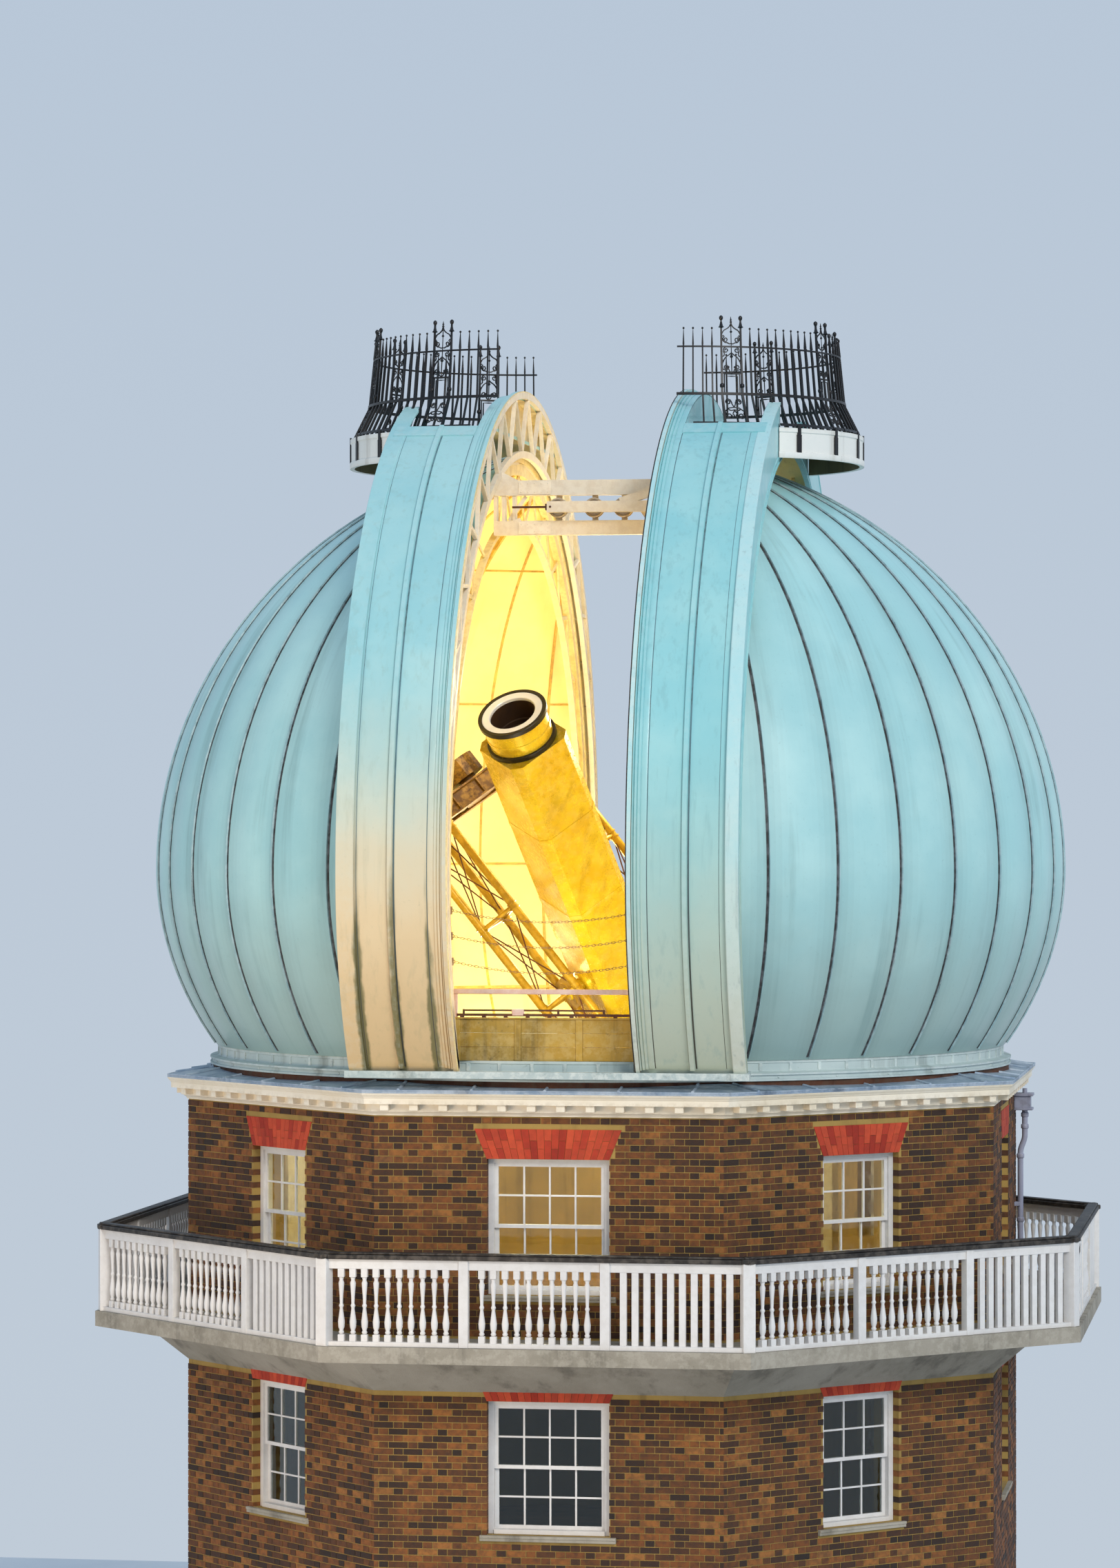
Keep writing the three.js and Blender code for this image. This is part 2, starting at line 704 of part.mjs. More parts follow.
function buildLeaf(left) {
  const leaf = new THREE.Group();
  observatory.add(leaf);
  const side = left ? 'left' : 'right';
  const x0 = LEAF_OPEN;
  const x1 = LEAF_OPEN + LEAF_WIDE;
  const add = (name, geometry, finish) => (
    addPiece(`${side}_${name}`, mirrored(geometry, left), finish, leaf)
  );
  add('leaf_truss', leafTruss(x0, left), FINISH.steel);
  add('leaf_skin', leafSkin(x0 + HOOP_PLATE + GAP, x1 - HOOP_PLATE - GAP), FINISH.shell);
  add('leaf_fin', leafFin(x1 - HOOP_PLATE, x1), FINISH.shell);
  const crown = left ? LEFT_CROWN : RIGHT_CROWN;
  add('crown_platform', crownPlatform(x1 + GAP, crown.centre), FINISH.cream);
  add('crown_railing', crownRailing(crown), FINISH.iron);
  if (!left) add('tail_bar', tailBar(), FINISH.steel);
}

function leafTruss(x0, left) {
  const truss = trussHoop({
    rim: LEAF_RIM,
    inner: TRUSS_INNER,
    foot: LEAF_FOOT,
    panels: 26,
    bar: 30,
    x0,
    x1: x0 + HOOP_PLATE,
  });
  if (left) return truss;
  const lug = box(
    [x0, -TAIL_BAR.far, TAIL_BAR.bottom],
    [x0 + HOOP_PLATE, -TAIL_BAR.near, TAIL_BAR.top + 320],
  );
  return fuse(truss, lug);
}

// The fin stops short of the crown deck, so that the deck is clear inside its railing
function leafFin(x0, x1) {
  const hoop = plainHoop({ rim: FIN_RIM, inner: FIN_INNER, foot: LEAF_FOOT, steps: 26, x0, x1 });
  const clear = box([x0 - 50, -FIN_CLEAR, CROWN_DECK], [x1 + 50, FIN_CLEAR, CROWN_DECK + 1000]);
  return cut(hoop, clear);
}

// The skin runs up the front, is flat under the crown, and runs down the back. Along the slit a
// casing goes on over the deck
function leafSkin(x0, x1) {
  const steps = 11;
  const lip = 25;
  const inside = {
    half: SKIN_RIM.half - SKIN_THICK,
    rise: SKIN_RIM.rise - SKIN_THICK,
    drop: SKIN_RIM.drop,
  };
  const stretch = (oval, level) => {
    const end = Math.asin((level - EQUATOR) / oval.rise);
    return ovalLine(oval, footTurn(oval, LEAF_FOOT), end, steps);
  };
  const flip = (line) => line.map(([y, z]) => [-y, z]).reverse();
  const front = stretch(SKIN_RIM, CROWN_DECK);
  const under = stretch(inside, CROWN_DECK - SKIN_THICK);
  const [footY] = under[0];
  const insideFront = [
    [footY + lip, LEAF_FOOT],
    [footY + lip, LEAF_FOOT + SKIN_THICK],
    [footY - 8, LEAF_FOOT + SKIN_THICK],
    ...under.slice(1),
  ];
  const insideBack = insideFront.map(([y, z]) => [-y, z]);
  const points = [...front, ...flip(front), ...insideBack, ...insideFront.reverse()];
  const arch = (oval, foot) => {
    const start = Math.asin((foot - EQUATOR) / oval.rise);
    return ovalLine(oval, start, Math.PI - start, 12);
  };
  const over = arch(SKIN_RIM, CROWN_DECK - 10);
  const top = plateAcrossX([...over, ...arch(inside, CROWN_DECK - 10).reverse()], x0, x0 + CASING);
  const wall = plateAcrossX(over, x0 + CASING - SKIN_THICK, x0 + CASING);
  return fuse(plateAcrossX(points, x0, x1), top, wall);
}

// Half of the round deck beyond the fin, with its fascia and three ribs
function crownPlatform(x0, centre) {
  const segment = (radius, from) => {
    const reach = Math.acos((from - centre) / radius);
    return Array.from({ length: 17 }, (_, k) => {
      const angle = -reach + 2 * reach * k / 16;
      return [centre + radius * Math.cos(angle), radius * Math.sin(angle)];
    });
  };
  const deckBottom = CROWN_DECK - CROWN_DECK_THICK;
  const whole = plateAcrossZ(segment(CROWN_RADIUS, x0), FASCIA_BOTTOM, CROWN_DECK);
  const hollow = plateAcrossZ(segment(CROWN_RADIUS - FASCIA_THICK, x0 - 200), FASCIA_BOTTOM - 50, deckBottom);
  const ribs = [-1000, 0, 1000].map((y) => {
    const end = centre + Math.sqrt((CROWN_RADIUS - 30) ** 2 - y * y);
    return box([x0, y - 25, deckBottom - 120], [end, y + 25, deckBottom + 20]);
  });
  return fuse(cut(whole, hollow), ...ribs);
}

function railingRadius(z) {
  const { foot, waist, top, tip } = RAILING;
  const levels = [foot, waist, top, tip];
  const above = levels.findIndex((level) => level.z >= z);
  if (above <= 0) return foot.radius;
  const [low, high] = [levels[above - 1], levels[above]];
  return THREE.MathUtils.mapLinear(z, low.z, high.z, low.radius, high.radius);
}

// Half of the railing. Its last bars stand over the casing along the slit, and start at the waist
function crownRailing({ centre, panels, spikes, finCrossings }) {
  const ornament = 3.8;
  const posts = panels.flatMap((middle) => [middle - ornament, middle + ornament]);
  const bars = [...posts, ...spikes].sort((a, b) => a - b);
  const halfAngle = THREE.MathUtils.radToDeg(RAILING_BAR / 2 / RAILING.foot.radius);
  const lines = bars.flatMap((bar) => [bar - halfAngle, bar + halfAngle]);
  const levels = [
    CROWN_DECK + GAP,
    CROWN_DECK + RAILING_RAIL,
    RAILING.waist.z,
    RAILING.waist.z + RAILING_RAIL,
    RAILING.top.z - RAILING_RAIL,
    RAILING.top.z,
    SPIKE_TIP,
  ];
  const tipRow = levels.length - 1;
  const last = bars.length - 1;
  const corner = (i, j, outside) => {
    const isPost = posts.includes(bars[Math.floor(i / 2)]);
    const z = j === tipRow && isPost ? RAILING.tip.z : levels[j];
    const radius = railingRadius(z) + (outside ? RAILING_BAR / 2 : -RAILING_BAR / 2);
    const angle = THREE.MathUtils.degToRad(lines[i]);
    return [centre + radius * Math.sin(angle), -radius * Math.cos(angle), z];
  };
  const filled = (column, row) => {
    const before = Math.floor(column / 2);
    if (column % 2 === 0) return row > 1 || (before > 0 && before < last);
    if (row === 0) return before > 0 && before < last - 1 && !finCrossings.includes(bars[before]);
    return row === 2 || row === 4;
  };
  return gridWall(lines.length - 1, tipRow, filled, corner, false);
}

// The bar that steadies the top of a leaf and runs past the rollers, with its brace
function tailBar() {
  const end = LEAF_OPEN - GAP;
  const brace = { start: 430, end: 880, rise: 200 };
  const points = [
    [TAIL_BAR.end, TAIL_BAR.bottom],
    [end, TAIL_BAR.bottom],
    [end, TAIL_BAR.top + brace.rise],
    [brace.end, TAIL_BAR.top + brace.rise],
    [brace.start, TAIL_BAR.top],
    [TAIL_BAR.end, TAIL_BAR.top],
  ];
  const window = [
    [brace.start + 190, TAIL_BAR.top],
    [end - 60, TAIL_BAR.top],
    [end - 60, TAIL_BAR.top + 140],
  ];
  return plateAcrossY(points, -TAIL_BAR.far, -TAIL_BAR.near, [window]);
}

// A bore whose flats run clear of the corners of the pin inside it
function boreRadius(pin) {
  return (pin + RUNNING) / Math.cos(Math.PI / PIN_SIDES);
}

// Telescope: directions of the polar axis, of the declination axis and of the tube

function skyDirections() {
  const pole = new THREE.Vector3(-Math.cos(POLE_ALTITUDE), 0, Math.sin(POLE_ALTITUDE));
  const meridian = new THREE.Vector3(Math.sin(POLE_ALTITUDE), 0, Math.cos(POLE_ALTITUDE));
  const front = new THREE.Vector3(0, -1, 0);
  const equator = meridian.clone().multiplyScalar(Math.cos(HOUR_ANGLE))
    .addScaledVector(front, Math.sin(HOUR_ANGLE));
  const tube = pole.clone().multiplyScalar(Math.sin(DECLINATION))
    .addScaledVector(equator, Math.cos(DECLINATION));
  const declinationAxis = meridian.clone().multiplyScalar(Math.sin(HOUR_ANGLE))
    .addScaledVector(front, -Math.cos(HOUR_ANGLE));
  return { pole, meridian, tube, declinationAxis };
}

function framedGroup(xAxis, zAxis) {
  const group = new THREE.Group();
  const yAxis = zAxis.clone().cross(xAxis);
  group.quaternion.setFromRotationMatrix(new THREE.Matrix4().makeBasis(xAxis, yAxis, zAxis));
  group.position.copy(PIVOT);
  observatory.add(group);
  return group;
}

function buildYoke(sky) {
  const yoke = framedGroup(sky.declinationAxis, sky.pole);
  for (const [name, side] of [['upper', 1], ['lower', -1]]) {
    const levels = [side * (YOKE.half + GAP), side * (YOKE.half + YOKE.head)].sort((a, b) => a - b);
    const head = box([-YOKE.reach, -YOKE.deep, levels[0]], [YOKE.reach, YOKE.deep, levels[1]]);
    const journalStart = side * (YOKE.half + 50);
    const journal = rod([0, 0, journalStart], [0, 0, side * YOKE.journalEnd], YOKE.journal, PIN_SIDES);
    addPiece(`${name}_yoke_head`, fuse(head, journal), FINISH.brass, yoke);
  }
  for (const [name, side] of [['first', 1], ['second', -1]]) {
    addPiece(`${name}_yoke_truss`, yokeTruss(side), FINISH.brass, yoke);
  }
}

function yokeTruss(side) {
  const chords = YOKE_CHORDS.map(([n, m]) => (
    rod([side * n, m, -YOKE.half], [side * n, m, YOKE.half], CHORD_RADIUS, 8)
  ));
  const frames = [-2480, -1240, 0, 1240, 2480].flatMap((level) => (
    YOKE_CHORDS.map(([n, m], k) => {
      const [n2, m2] = YOKE_CHORDS[(k + 1) % 3];
      return rod([side * n, m, level], [side * n2, m2, level], 32, 6);
    })
  ));
  const hubX = [side * 575, side * 665].sort((a, b) => a - b);
  const hub = box([hubX[0], -300, -200], [hubX[1], 300, 200]);
  const bore = rod([side * 500, 0, 0], [side * 720, 0, 0], boreRadius(TRUNNION.radius), PIN_SIDES);
  return cut(fuse(...chords, ...frames, hub), bore);
}

function buildTube(sky) {
  const tube = framedGroup(sky.declinationAxis, sky.tube);
  const { half, chamfer, rear, front } = TUBE;
  const corner = half - chamfer;
  const section = [
    [half, -corner], [half, corner], [corner, half], [-corner, half],
    [-half, corner], [-half, -corner], [-corner, -half], [corner, -half],
  ];
  const trunnion = rod([-TRUNNION.end, 0, 0], [TRUNNION.end, 0, 0], TRUNNION.radius, PIN_SIDES)
    .rotateX(Math.PI / PIN_SIDES);
  addPiece('telescope_tube', fuse(plateAcrossZ(section, rear, front), trunnion), FINISH.brass, tube);
  const c = DEW_CAP;
  const cap = turned([
    [c.bore, front + GAP], [c.ring, front + GAP], [c.ring, front + c.ringLong],
    [c.drum, front + c.ringLong], [c.drum, c.front - c.ringLong],
    [c.ring, c.front - c.ringLong], [c.ring, c.front], [c.bore, c.front],
  ], 24);
  addPiece('dew_cap', cap, FINISH.brass, tube);
  const eyepiece = turned([
    [0, rear - GAP], [260, rear - GAP], [260, rear - 90],
    [110, rear - 90], [110, rear - 210], [0, rear - 210],
  ], 16);
  addPiece('eyepiece_end', eyepiece, FINISH.iron, tube);
}

function buildPiers(sky) {
  const along = (distance, aside = 0) => (
    PIVOT.clone().addScaledVector(sky.pole, distance).addScaledVector(sky.meridian, aside)
  );
  const pierTop = 9280;
  addPiece('north_pier', box([-4300, -1000, DECK_LEVEL + GAP], [-3800, 1000, pierTop]), FINISH.stone);
  const knee = along(3000, -1500);
  const footTop = pierTop + 45;
  const legs = [-800, 800].map((y) => rod([-4050, y, footTop - 3], knee.toArray(), 75, 8));
  const foot = box([-4250, -950, pierTop + GAP], [-3850, 950, footTop]);
  const arm = rod(along(3000, -1600).toArray(), along(2985, -180).toArray(), 95, 8);
  const ring = rod(along(BEARING.start).toArray(), along(BEARING.end).toArray(), BEARING.outer, 16);
  const boreSize = boreRadius(YOKE.journal);
  const [outer, inner] = [along(BEARING.end + 50).toArray(), along(BEARING.start - 50).toArray()];
  const bore = rod(inner, outer, boreSize, PIN_SIDES);
  addPiece('upper_bearing_frame', cut(fuse(...legs, foot, arm, ring), bore), FINISH.steel);
  const face = (x) => {
    const drop = (BEARING.start + x * sky.pole.x) / sky.pole.z;
    return [x, PIVOT.z - drop];
  };
  const block = plateAcrossY(
    [[1600, DECK_LEVEL + GAP], [2750, DECK_LEVEL + GAP], [2750, 8300], face(2300), face(1600)],
    -380,
    380,
  );
  const [mouth, bottom] = [along(-BEARING.start + 50).toArray(), along(-BEARING.end).toArray()];
  const socket = rod(mouth, bottom, boreSize, PIN_SIDES);
  addPiece('south_pier', cut(block, socket), FINISH.stone);
}

buildFloors();
buildWalls();
buildGlazing();
buildTerrace();
buildCornice();
buildDownpipe();
const dome = new THREE.Group();
observatory.add(dome);
buildShell(dome);
buildCurb(dome);
buildSlitArches(dome);
buildCrossbeams(dome);
buildSills(dome);
buildChains(dome);
buildLeaf(false);
buildLeaf(true);
const sky = skyDirections();
buildPiers(sky);
buildYoke(sky);
buildTube(sky);

export default observatory;
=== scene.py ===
"""Dresses the observatory dome with its full detail and finishes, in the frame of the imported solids.

Metres, +Z up, origin on the ground under the middle of the tower. The slit of the dome
faces -Y, and its two shutter leaves stand open along X.
"""

import logging
import math
from collections.abc import Callable, Iterator, Sequence
from contextlib import contextmanager
from dataclasses import dataclass
from enum import Enum

import bmesh
import bpy
import numpy as np
from mathutils import Matrix, Vector


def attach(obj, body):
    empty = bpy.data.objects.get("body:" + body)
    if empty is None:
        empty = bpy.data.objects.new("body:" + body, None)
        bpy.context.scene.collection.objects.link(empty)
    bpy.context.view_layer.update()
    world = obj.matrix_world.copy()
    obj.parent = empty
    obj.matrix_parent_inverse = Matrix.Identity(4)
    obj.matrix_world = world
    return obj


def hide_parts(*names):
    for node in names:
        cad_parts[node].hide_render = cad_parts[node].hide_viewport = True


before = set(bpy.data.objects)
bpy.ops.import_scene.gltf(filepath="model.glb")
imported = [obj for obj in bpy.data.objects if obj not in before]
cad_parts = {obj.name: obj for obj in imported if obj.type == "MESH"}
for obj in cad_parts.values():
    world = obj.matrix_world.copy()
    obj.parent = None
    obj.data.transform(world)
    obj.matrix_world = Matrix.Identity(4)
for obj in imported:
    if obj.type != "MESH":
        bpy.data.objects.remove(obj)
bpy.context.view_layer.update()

log = logging.getLogger("observatory")

OCTAGON = 8
SIDE_TURN = math.tau / OCTAGON
SIDE_SLOPE = math.tan(SIDE_TURN / 2)  # half of a side, for an apothem of 1
GORES = 40  # sheets round the whole dome
EQUATOR = 11.700  # height of the shell's widest ring
HAIR = 0.0003  # gap between a piece and the solid that it stands on
AXIS = 0.0005  # radius at which a turned profile closes on its axis


class Body(Enum):
    """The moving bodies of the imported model."""

    TOWER = "tower"
    DOME = "dome"
    RIGHT_LEAF = "right_leaf"
    LEFT_LEAF = "left_leaf"
    YOKE = "yoke"
    TELESCOPE = "telescope"


class Side(Enum):
    """The two hands of a mirrored pair, as the sign of X."""

    RIGHT = 1
    LEFT = -1

    @property
    def label(self) -> str:
        """The word for this side in a piece's name."""
        return self.name.lower()


@dataclass(frozen=True)
class Levels:
    """Heights above the ground that more than one sub-assembly needs."""

    plinth: float = 0.180
    deck: float = 6.450
    wall_top: float = 8.960
    cornice_top: float = 9.220
    curb_bottom: float = 9.3505
    curb_top: float = 9.580
    leaf_foot: float = 9.470
    crown_deck: float = 16.930


LEVELS = Levels()


@dataclass(frozen=True)
class Oval:
    """An upper and a lower half oval in the plane across X, about the equator.

    The turn runs from 0 at the front of the equator over the top to pi at the back.
    """

    half: float
    rise: float
    drop: float

    def point(self, turn: np.ndarray) -> np.ndarray:
        """Finds points of the oval.

        Args:
            turn: Angles along the oval.

        Returns:
            The Y and Z of each point.
        """
        tall = np.where(np.sin(turn) >= 0, self.rise, self.drop)
        return np.stack([-self.half * np.cos(turn), EQUATOR + tall * np.sin(turn)], axis=-1)

    def normal(self, turn: np.ndarray) -> np.ndarray:
        """Finds outward unit normals.

        Args:
            turn: Angles along the oval.

        Returns:
            The Y and Z of each normal.
        """
        tall = np.where(np.sin(turn) >= 0, self.rise, self.drop)
        raw = np.stack([-tall * np.cos(turn), self.half * np.sin(turn)], axis=-1)
        return raw / np.linalg.norm(raw, axis=-1, keepdims=True)

    def turn_at(self, level: float) -> float:
        """Finds the turn of the front half at a height.

        Args:
            level: Height above the ground.

        Returns:
            The turn, negative below the equator.
        """
        tall = self.rise if level >= EQUATOR else self.drop
        return math.asin((level - EQUATOR) / tall)

    def span(self, foot: float, steps: int) -> np.ndarray:
        """Lists turns from the front foot over the top to the back foot.

        Args:
            foot: Height of both feet.
            steps: Number of steps.

        Returns:
            steps + 1 turns.
        """
        start = self.turn_at(foot)
        return np.linspace(start, math.pi - start, steps + 1)

    def grown(self, by: float) -> "Oval":
        """Returns the oval moved outwards by a distance."""
        return Oval(self.half + by, self.rise + by, self.drop + by)


def ring(radius: float, count: int, first: float = 0.0) -> np.ndarray:
    """Lays points on a circle.

    Args:
        radius: Radius of the circle.
        count: Number of points.
        first: Angle of the first point.

    Returns:
        The points as pairs.
    """
    angle = first + np.arange(count) * math.tau / count
    return np.stack([radius * np.cos(angle), radius * np.sin(angle)], axis=-1)


def about_z(angle: float) -> np.ndarray:
    """Returns the 4x4 turn about the vertical axis."""
    return np.array(Matrix.Rotation(angle, 4, "Z"))


def side_place(face: float) -> np.ndarray:
    """Places a side of the octagon.

    Args:
        face: Side number, 0 at the front, counted anticlockwise from above.

    Returns:
        The matrix that takes (along, -outwards, z) of the front side to that side.
    """
    return about_z(face * SIDE_TURN)


def oblong(left: float, right: float, low: float, high: float) -> list[tuple[float, float]]:
    """Lists the corners of a rectangular section."""
    return [(left, low), (right, low), (right, high), (left, high)]


def both_ways(turns: np.ndarray) -> tuple[np.ndarray, np.ndarray]:
    """Returns turns up the front of an arch, and the same up its back."""
    return turns, math.pi - turns


def cells(index: np.ndarray) -> np.ndarray:
    """Lists the four corners of each cell in a grid of point numbers."""
    return np.stack([index[:-1, :-1], index[:-1, 1:], index[1:, 1:], index[1:, :-1]], axis=-1).reshape(-1, 4)


BOX_CORNERS = np.array([[x, y, z] for z in (0, 1) for y in (0, 1) for x in (0, 1)], dtype=float)
BOX_FACES = np.array([[0, 2, 3, 1], [4, 5, 7, 6], [0, 1, 5, 4], [2, 6, 7, 3], [0, 4, 6, 2], [1, 3, 7, 5]])


class Sketch:
    """Gathers lattices, boxes and bars into one mesh, each with a finish and a tone."""

    def __init__(self, place: np.ndarray | None = None) -> None:
        """Starts an empty mesh.

        Args:
            place: 4x4 matrix that places what is added, or None for the origin.
        """
        self.place = np.identity(4) if place is None else place
        self.points: list[np.ndarray] = []
        self.faces: list[tuple[np.ndarray, np.ndarray, np.ndarray]] = []
        self.count = 0

    @contextmanager
    def moved(self, by: np.ndarray) -> Iterator[None]:
        """Places what is added inside the with block by a further 4x4 matrix.

        Args:
            by: Matrix before the sketch's own.

        Yields:
            Nothing.
        """
        kept, self.place = self.place, self.place @ by
        yield
        self.place = kept

    def add(self, points: np.ndarray, faces: np.ndarray, finish: int | np.ndarray = 0,
            tone: float | np.ndarray = 0.5) -> None:
        """Adds faces that all have the same number of corners.

        Args:
            points: Corner points, one row each.
            faces: Rows of indices into points.
            finish: Number of the finish in the piece's list, one for all or one each.
            tone: Shade of the faces from 0 to 1, one for all or one each.
        """
        moved = points.reshape(-1, 3) @ self.place[:3, :3].T + self.place[:3, 3]
        faces = np.asarray(faces)
        if np.linalg.det(self.place[:3, :3]) < 0:
            faces = faces[:, ::-1]
        tones = np.broadcast_to(np.asarray(tone, dtype=float), (len(faces),))
        self.points.append(moved)
        self.faces.append((faces + self.count, np.broadcast_to(finish, (len(faces),)), tones))
        self.count += len(moved)

    def blocks(self, corners: np.ndarray, finish: int = 0, tone: float | np.ndarray = 0.5) -> None:
        """Adds six-sided blocks.

        Args:
            corners: Array of blocks, each with eight corners in the order of BOX_CORNERS.
            finish: Number of the finish.
            tone: One shade for all, or one for each block.
        """
        corners = corners.reshape(-1, 8, 3)
        offsets = np.arange(len(corners))[:, None, None] * 8
        tones = np.broadcast_to(np.asarray(tone, dtype=float), (len(corners),))
        self.add(corners, (BOX_FACES[None] + offsets).reshape(-1, 4), finish, np.repeat(tones, 6))

    def box(self, low: Sequence[float], high: Sequence[float], finish: int = 0, tone: float = 0.5) -> None:
        """Adds one upright box from its lowest to its highest corner."""
        low, high = np.array(low, dtype=float), np.array(high, dtype=float)
        self.blocks(low + BOX_CORNERS * (high - low), finish, tone)

    def lattice(self, points: np.ndarray, around: bool = True, looped: bool = False,
                capped: bool = True, finish: int = 0, tone: float = 0.5) -> None:
        """Adds the surface through rows of points.

        Args:
            points: Rows of points, as (row, column, xyz).
            around: Whether the last column joins the first.
            looped: Whether the last row joins the first.
            capped: Whether flat faces close the first and last rows.
            finish: Number of the finish.
            tone: Shade of the faces.
        """
        rows, columns = points.shape[:2]
        index = np.arange(rows * columns).reshape(rows, columns)
        if around:
            index = np.concatenate([index, index[:, :1]], axis=1)
        if looped:
            index = np.concatenate([index, index[:1]], axis=0)
        start = self.count
        self.add(points, cells(index), finish, tone)
        if around and capped and not looped:
            for row in (np.arange(columns)[::-1], (rows - 1) * columns + np.arange(columns)):
                self.faces.append((row[None] + start, np.full(1, finish), np.full(1, tone)))

    def hoop(self, oval: Oval, turns: np.ndarray, section: Sequence[tuple[float, float]],
             finish: int = 0, tone: float = 0.5) -> None:
        """Carries a section along an oval.

        Args:
            oval: Path in the plane across X.
            turns: Turns along the path.
            section: Corners of the section as X and distance outside the oval.
            finish: Number of the finish.
            tone: Shade of the faces.
        """
        across, out = np.array(section, dtype=float).T
        path = oval.point(turns)[:, None] + out[None, :, None] * oval.normal(turns)[:, None]
        x = np.broadcast_to(across, path.shape[:2])[..., None]
        self.lattice(np.concatenate([x, path], axis=-1), finish=finish, tone=tone)

    def turned(self, profile: Sequence[tuple[float, float]], count: int, finish: int = 0,
               closed: bool = True, tone: float = 0.5) -> None:
        """Turns a profile about the local Z axis.

        Args:
            profile: Radius and height of each corner.
            count: Number of steps round.
            finish: Number of the finish.
            closed: Whether the profile closes on itself; otherwise its ends are on the axis or capped.
            tone: Shade of the faces.
        """
        radius, level = np.array(profile, dtype=float).T
        circle = ring(1.0, count, -math.pi / 2)
        flat = radius[:, None, None] * circle[None]
        tall = np.broadcast_to(level[:, None, None], flat.shape[:2] + (1,))
        self.lattice(np.concatenate([flat, tall], axis=-1), looped=closed, finish=finish, tone=tone)

    def octagon(self, profile: Sequence[tuple[float, float]], finish: int = 0) -> None:
        """Carries a closed profile round the eight sides.

        Args:
            profile: Apothem and height of each corner.
            finish: Number of the finish.
        """
        radius, level = np.array(profile, dtype=float).T
        circle = ring(1 / math.cos(SIDE_TURN / 2), OCTAGON, SIDE_TURN / 2)
        flat = radius[:, None, None] * circle[None]
        tall = np.broadcast_to(level[:, None, None], flat.shape[:2] + (1,))
        self.lattice(np.concatenate([flat, tall], axis=-1), looped=True, finish=finish)

    def tube(self, path: np.ndarray, radius: float | np.ndarray, sides: int = 6, closed: bool = False,
             finish: int = 0, flat: float = 1.0, up: Sequence[float] = (0.31, 0.17, 0.93)) -> None:
        """Carries a round section along a line of points.

        Args:
            path: Points of the line.
            radius: One radius, or one for each point.
            sides: Number of sides of the section.
            closed: Whether the line joins up.
            finish: Number of the finish.
            flat: Share of the radius that the section keeps along up.
            up: Direction that the section's second axis keeps closest to.
        """
        path = np.asarray(path, dtype=float)
        ahead = np.roll(path, -1, axis=0) - np.roll(path, 1, axis=0)
        if not closed:
            ahead[0], ahead[-1] = path[1] - path[0], path[-1] - path[-2]
        ahead /= np.linalg.norm(ahead, axis=1, keepdims=True)
        across = np.cross(ahead, np.array(up, dtype=float))
        across /= np.maximum(np.linalg.norm(across, axis=1, keepdims=True), 1e-9)
        rise = np.cross(across, ahead)
        radius = np.broadcast_to(np.asarray(radius, dtype=float), (len(path),))[:, None, None]
        circle = ring(1.0, sides, math.pi / sides)
        spread = circle[None, :, :1] * across[:, None] + flat * circle[None, :, 1:] * rise[:, None]
        self.lattice(path[:, None] + radius * spread, looped=closed, finish=finish)

    def bar(self, start: Sequence[float], end: Sequence[float], wide: float, deep: float,
            up: Sequence[float] = (0.0, 0.0, 1.0), finish: int = 0, tone: float = 0.5) -> None:
        """Adds a straight bar of rectangular section.

        Args:
            start: Middle of one end.
            end: Middle of the other end.
            wide: Size across both the bar and up.
            deep: Size along up.
            up: Direction closest to the section's second axis.
            finish: Number of the finish.
            tone: Shade of the bar.
        """
        start, end = np.array(start, dtype=float), np.array(end, dtype=float)
        ahead = (end - start) / np.linalg.norm(end - start)
        across = np.cross(ahead, np.array(up, dtype=float))
        across /= np.linalg.norm(across)
        rise = np.cross(across, ahead)
        corners = [
            start + (end - start) * k + across * wide * i + rise * deep * j
            for k in (0, 1) for j in (-0.5, 0.5) for i in (-0.5, 0.5)
        ]
        self.blocks(np.array(corners), finish, tone)

    def studs(self, centres: np.ndarray, normal: Sequence[float], radius: float, finish: int = 0) -> None:
        """Adds low round heads, such as rivets and bolts.

        Args:
            centres: Middle of the foot of each head.
            normal: Direction that the heads stand in, one for all or one each.
            radius: Radius of a head.
            finish: Number of the finish.
        """
        centres = np.asarray(centres, dtype=float).reshape(-1, 3)
        normals = np.broadcast_to(np.array(normal, dtype=float), centres.shape)
        for centre, out in zip(centres, normals):
            helper = (0, 0, 1) if abs(out[2]) < 0.9 else (1, 0, 0)
            across = np.cross(out, helper)
            across /= np.linalg.norm(across)
            rise = np.cross(across, out)
            rows = [
                centre + out * level * radius + (circle[:, :1] * across + circle[:, 1:] * rise)
                for level, circle in ((-0.2, ring(radius, 6)), (0.35, ring(radius * 0.85, 6)),
                                      (0.6, ring(radius * 0.4, 6)))
            ]
            self.lattice(np.array(rows), finish=finish)

    def level_off(self, foot: float) -> None:
        """Raises every point below a level up to it."""
        for points in self.points:
            np.maximum(points[:, 2], foot, out=points[:, 2])

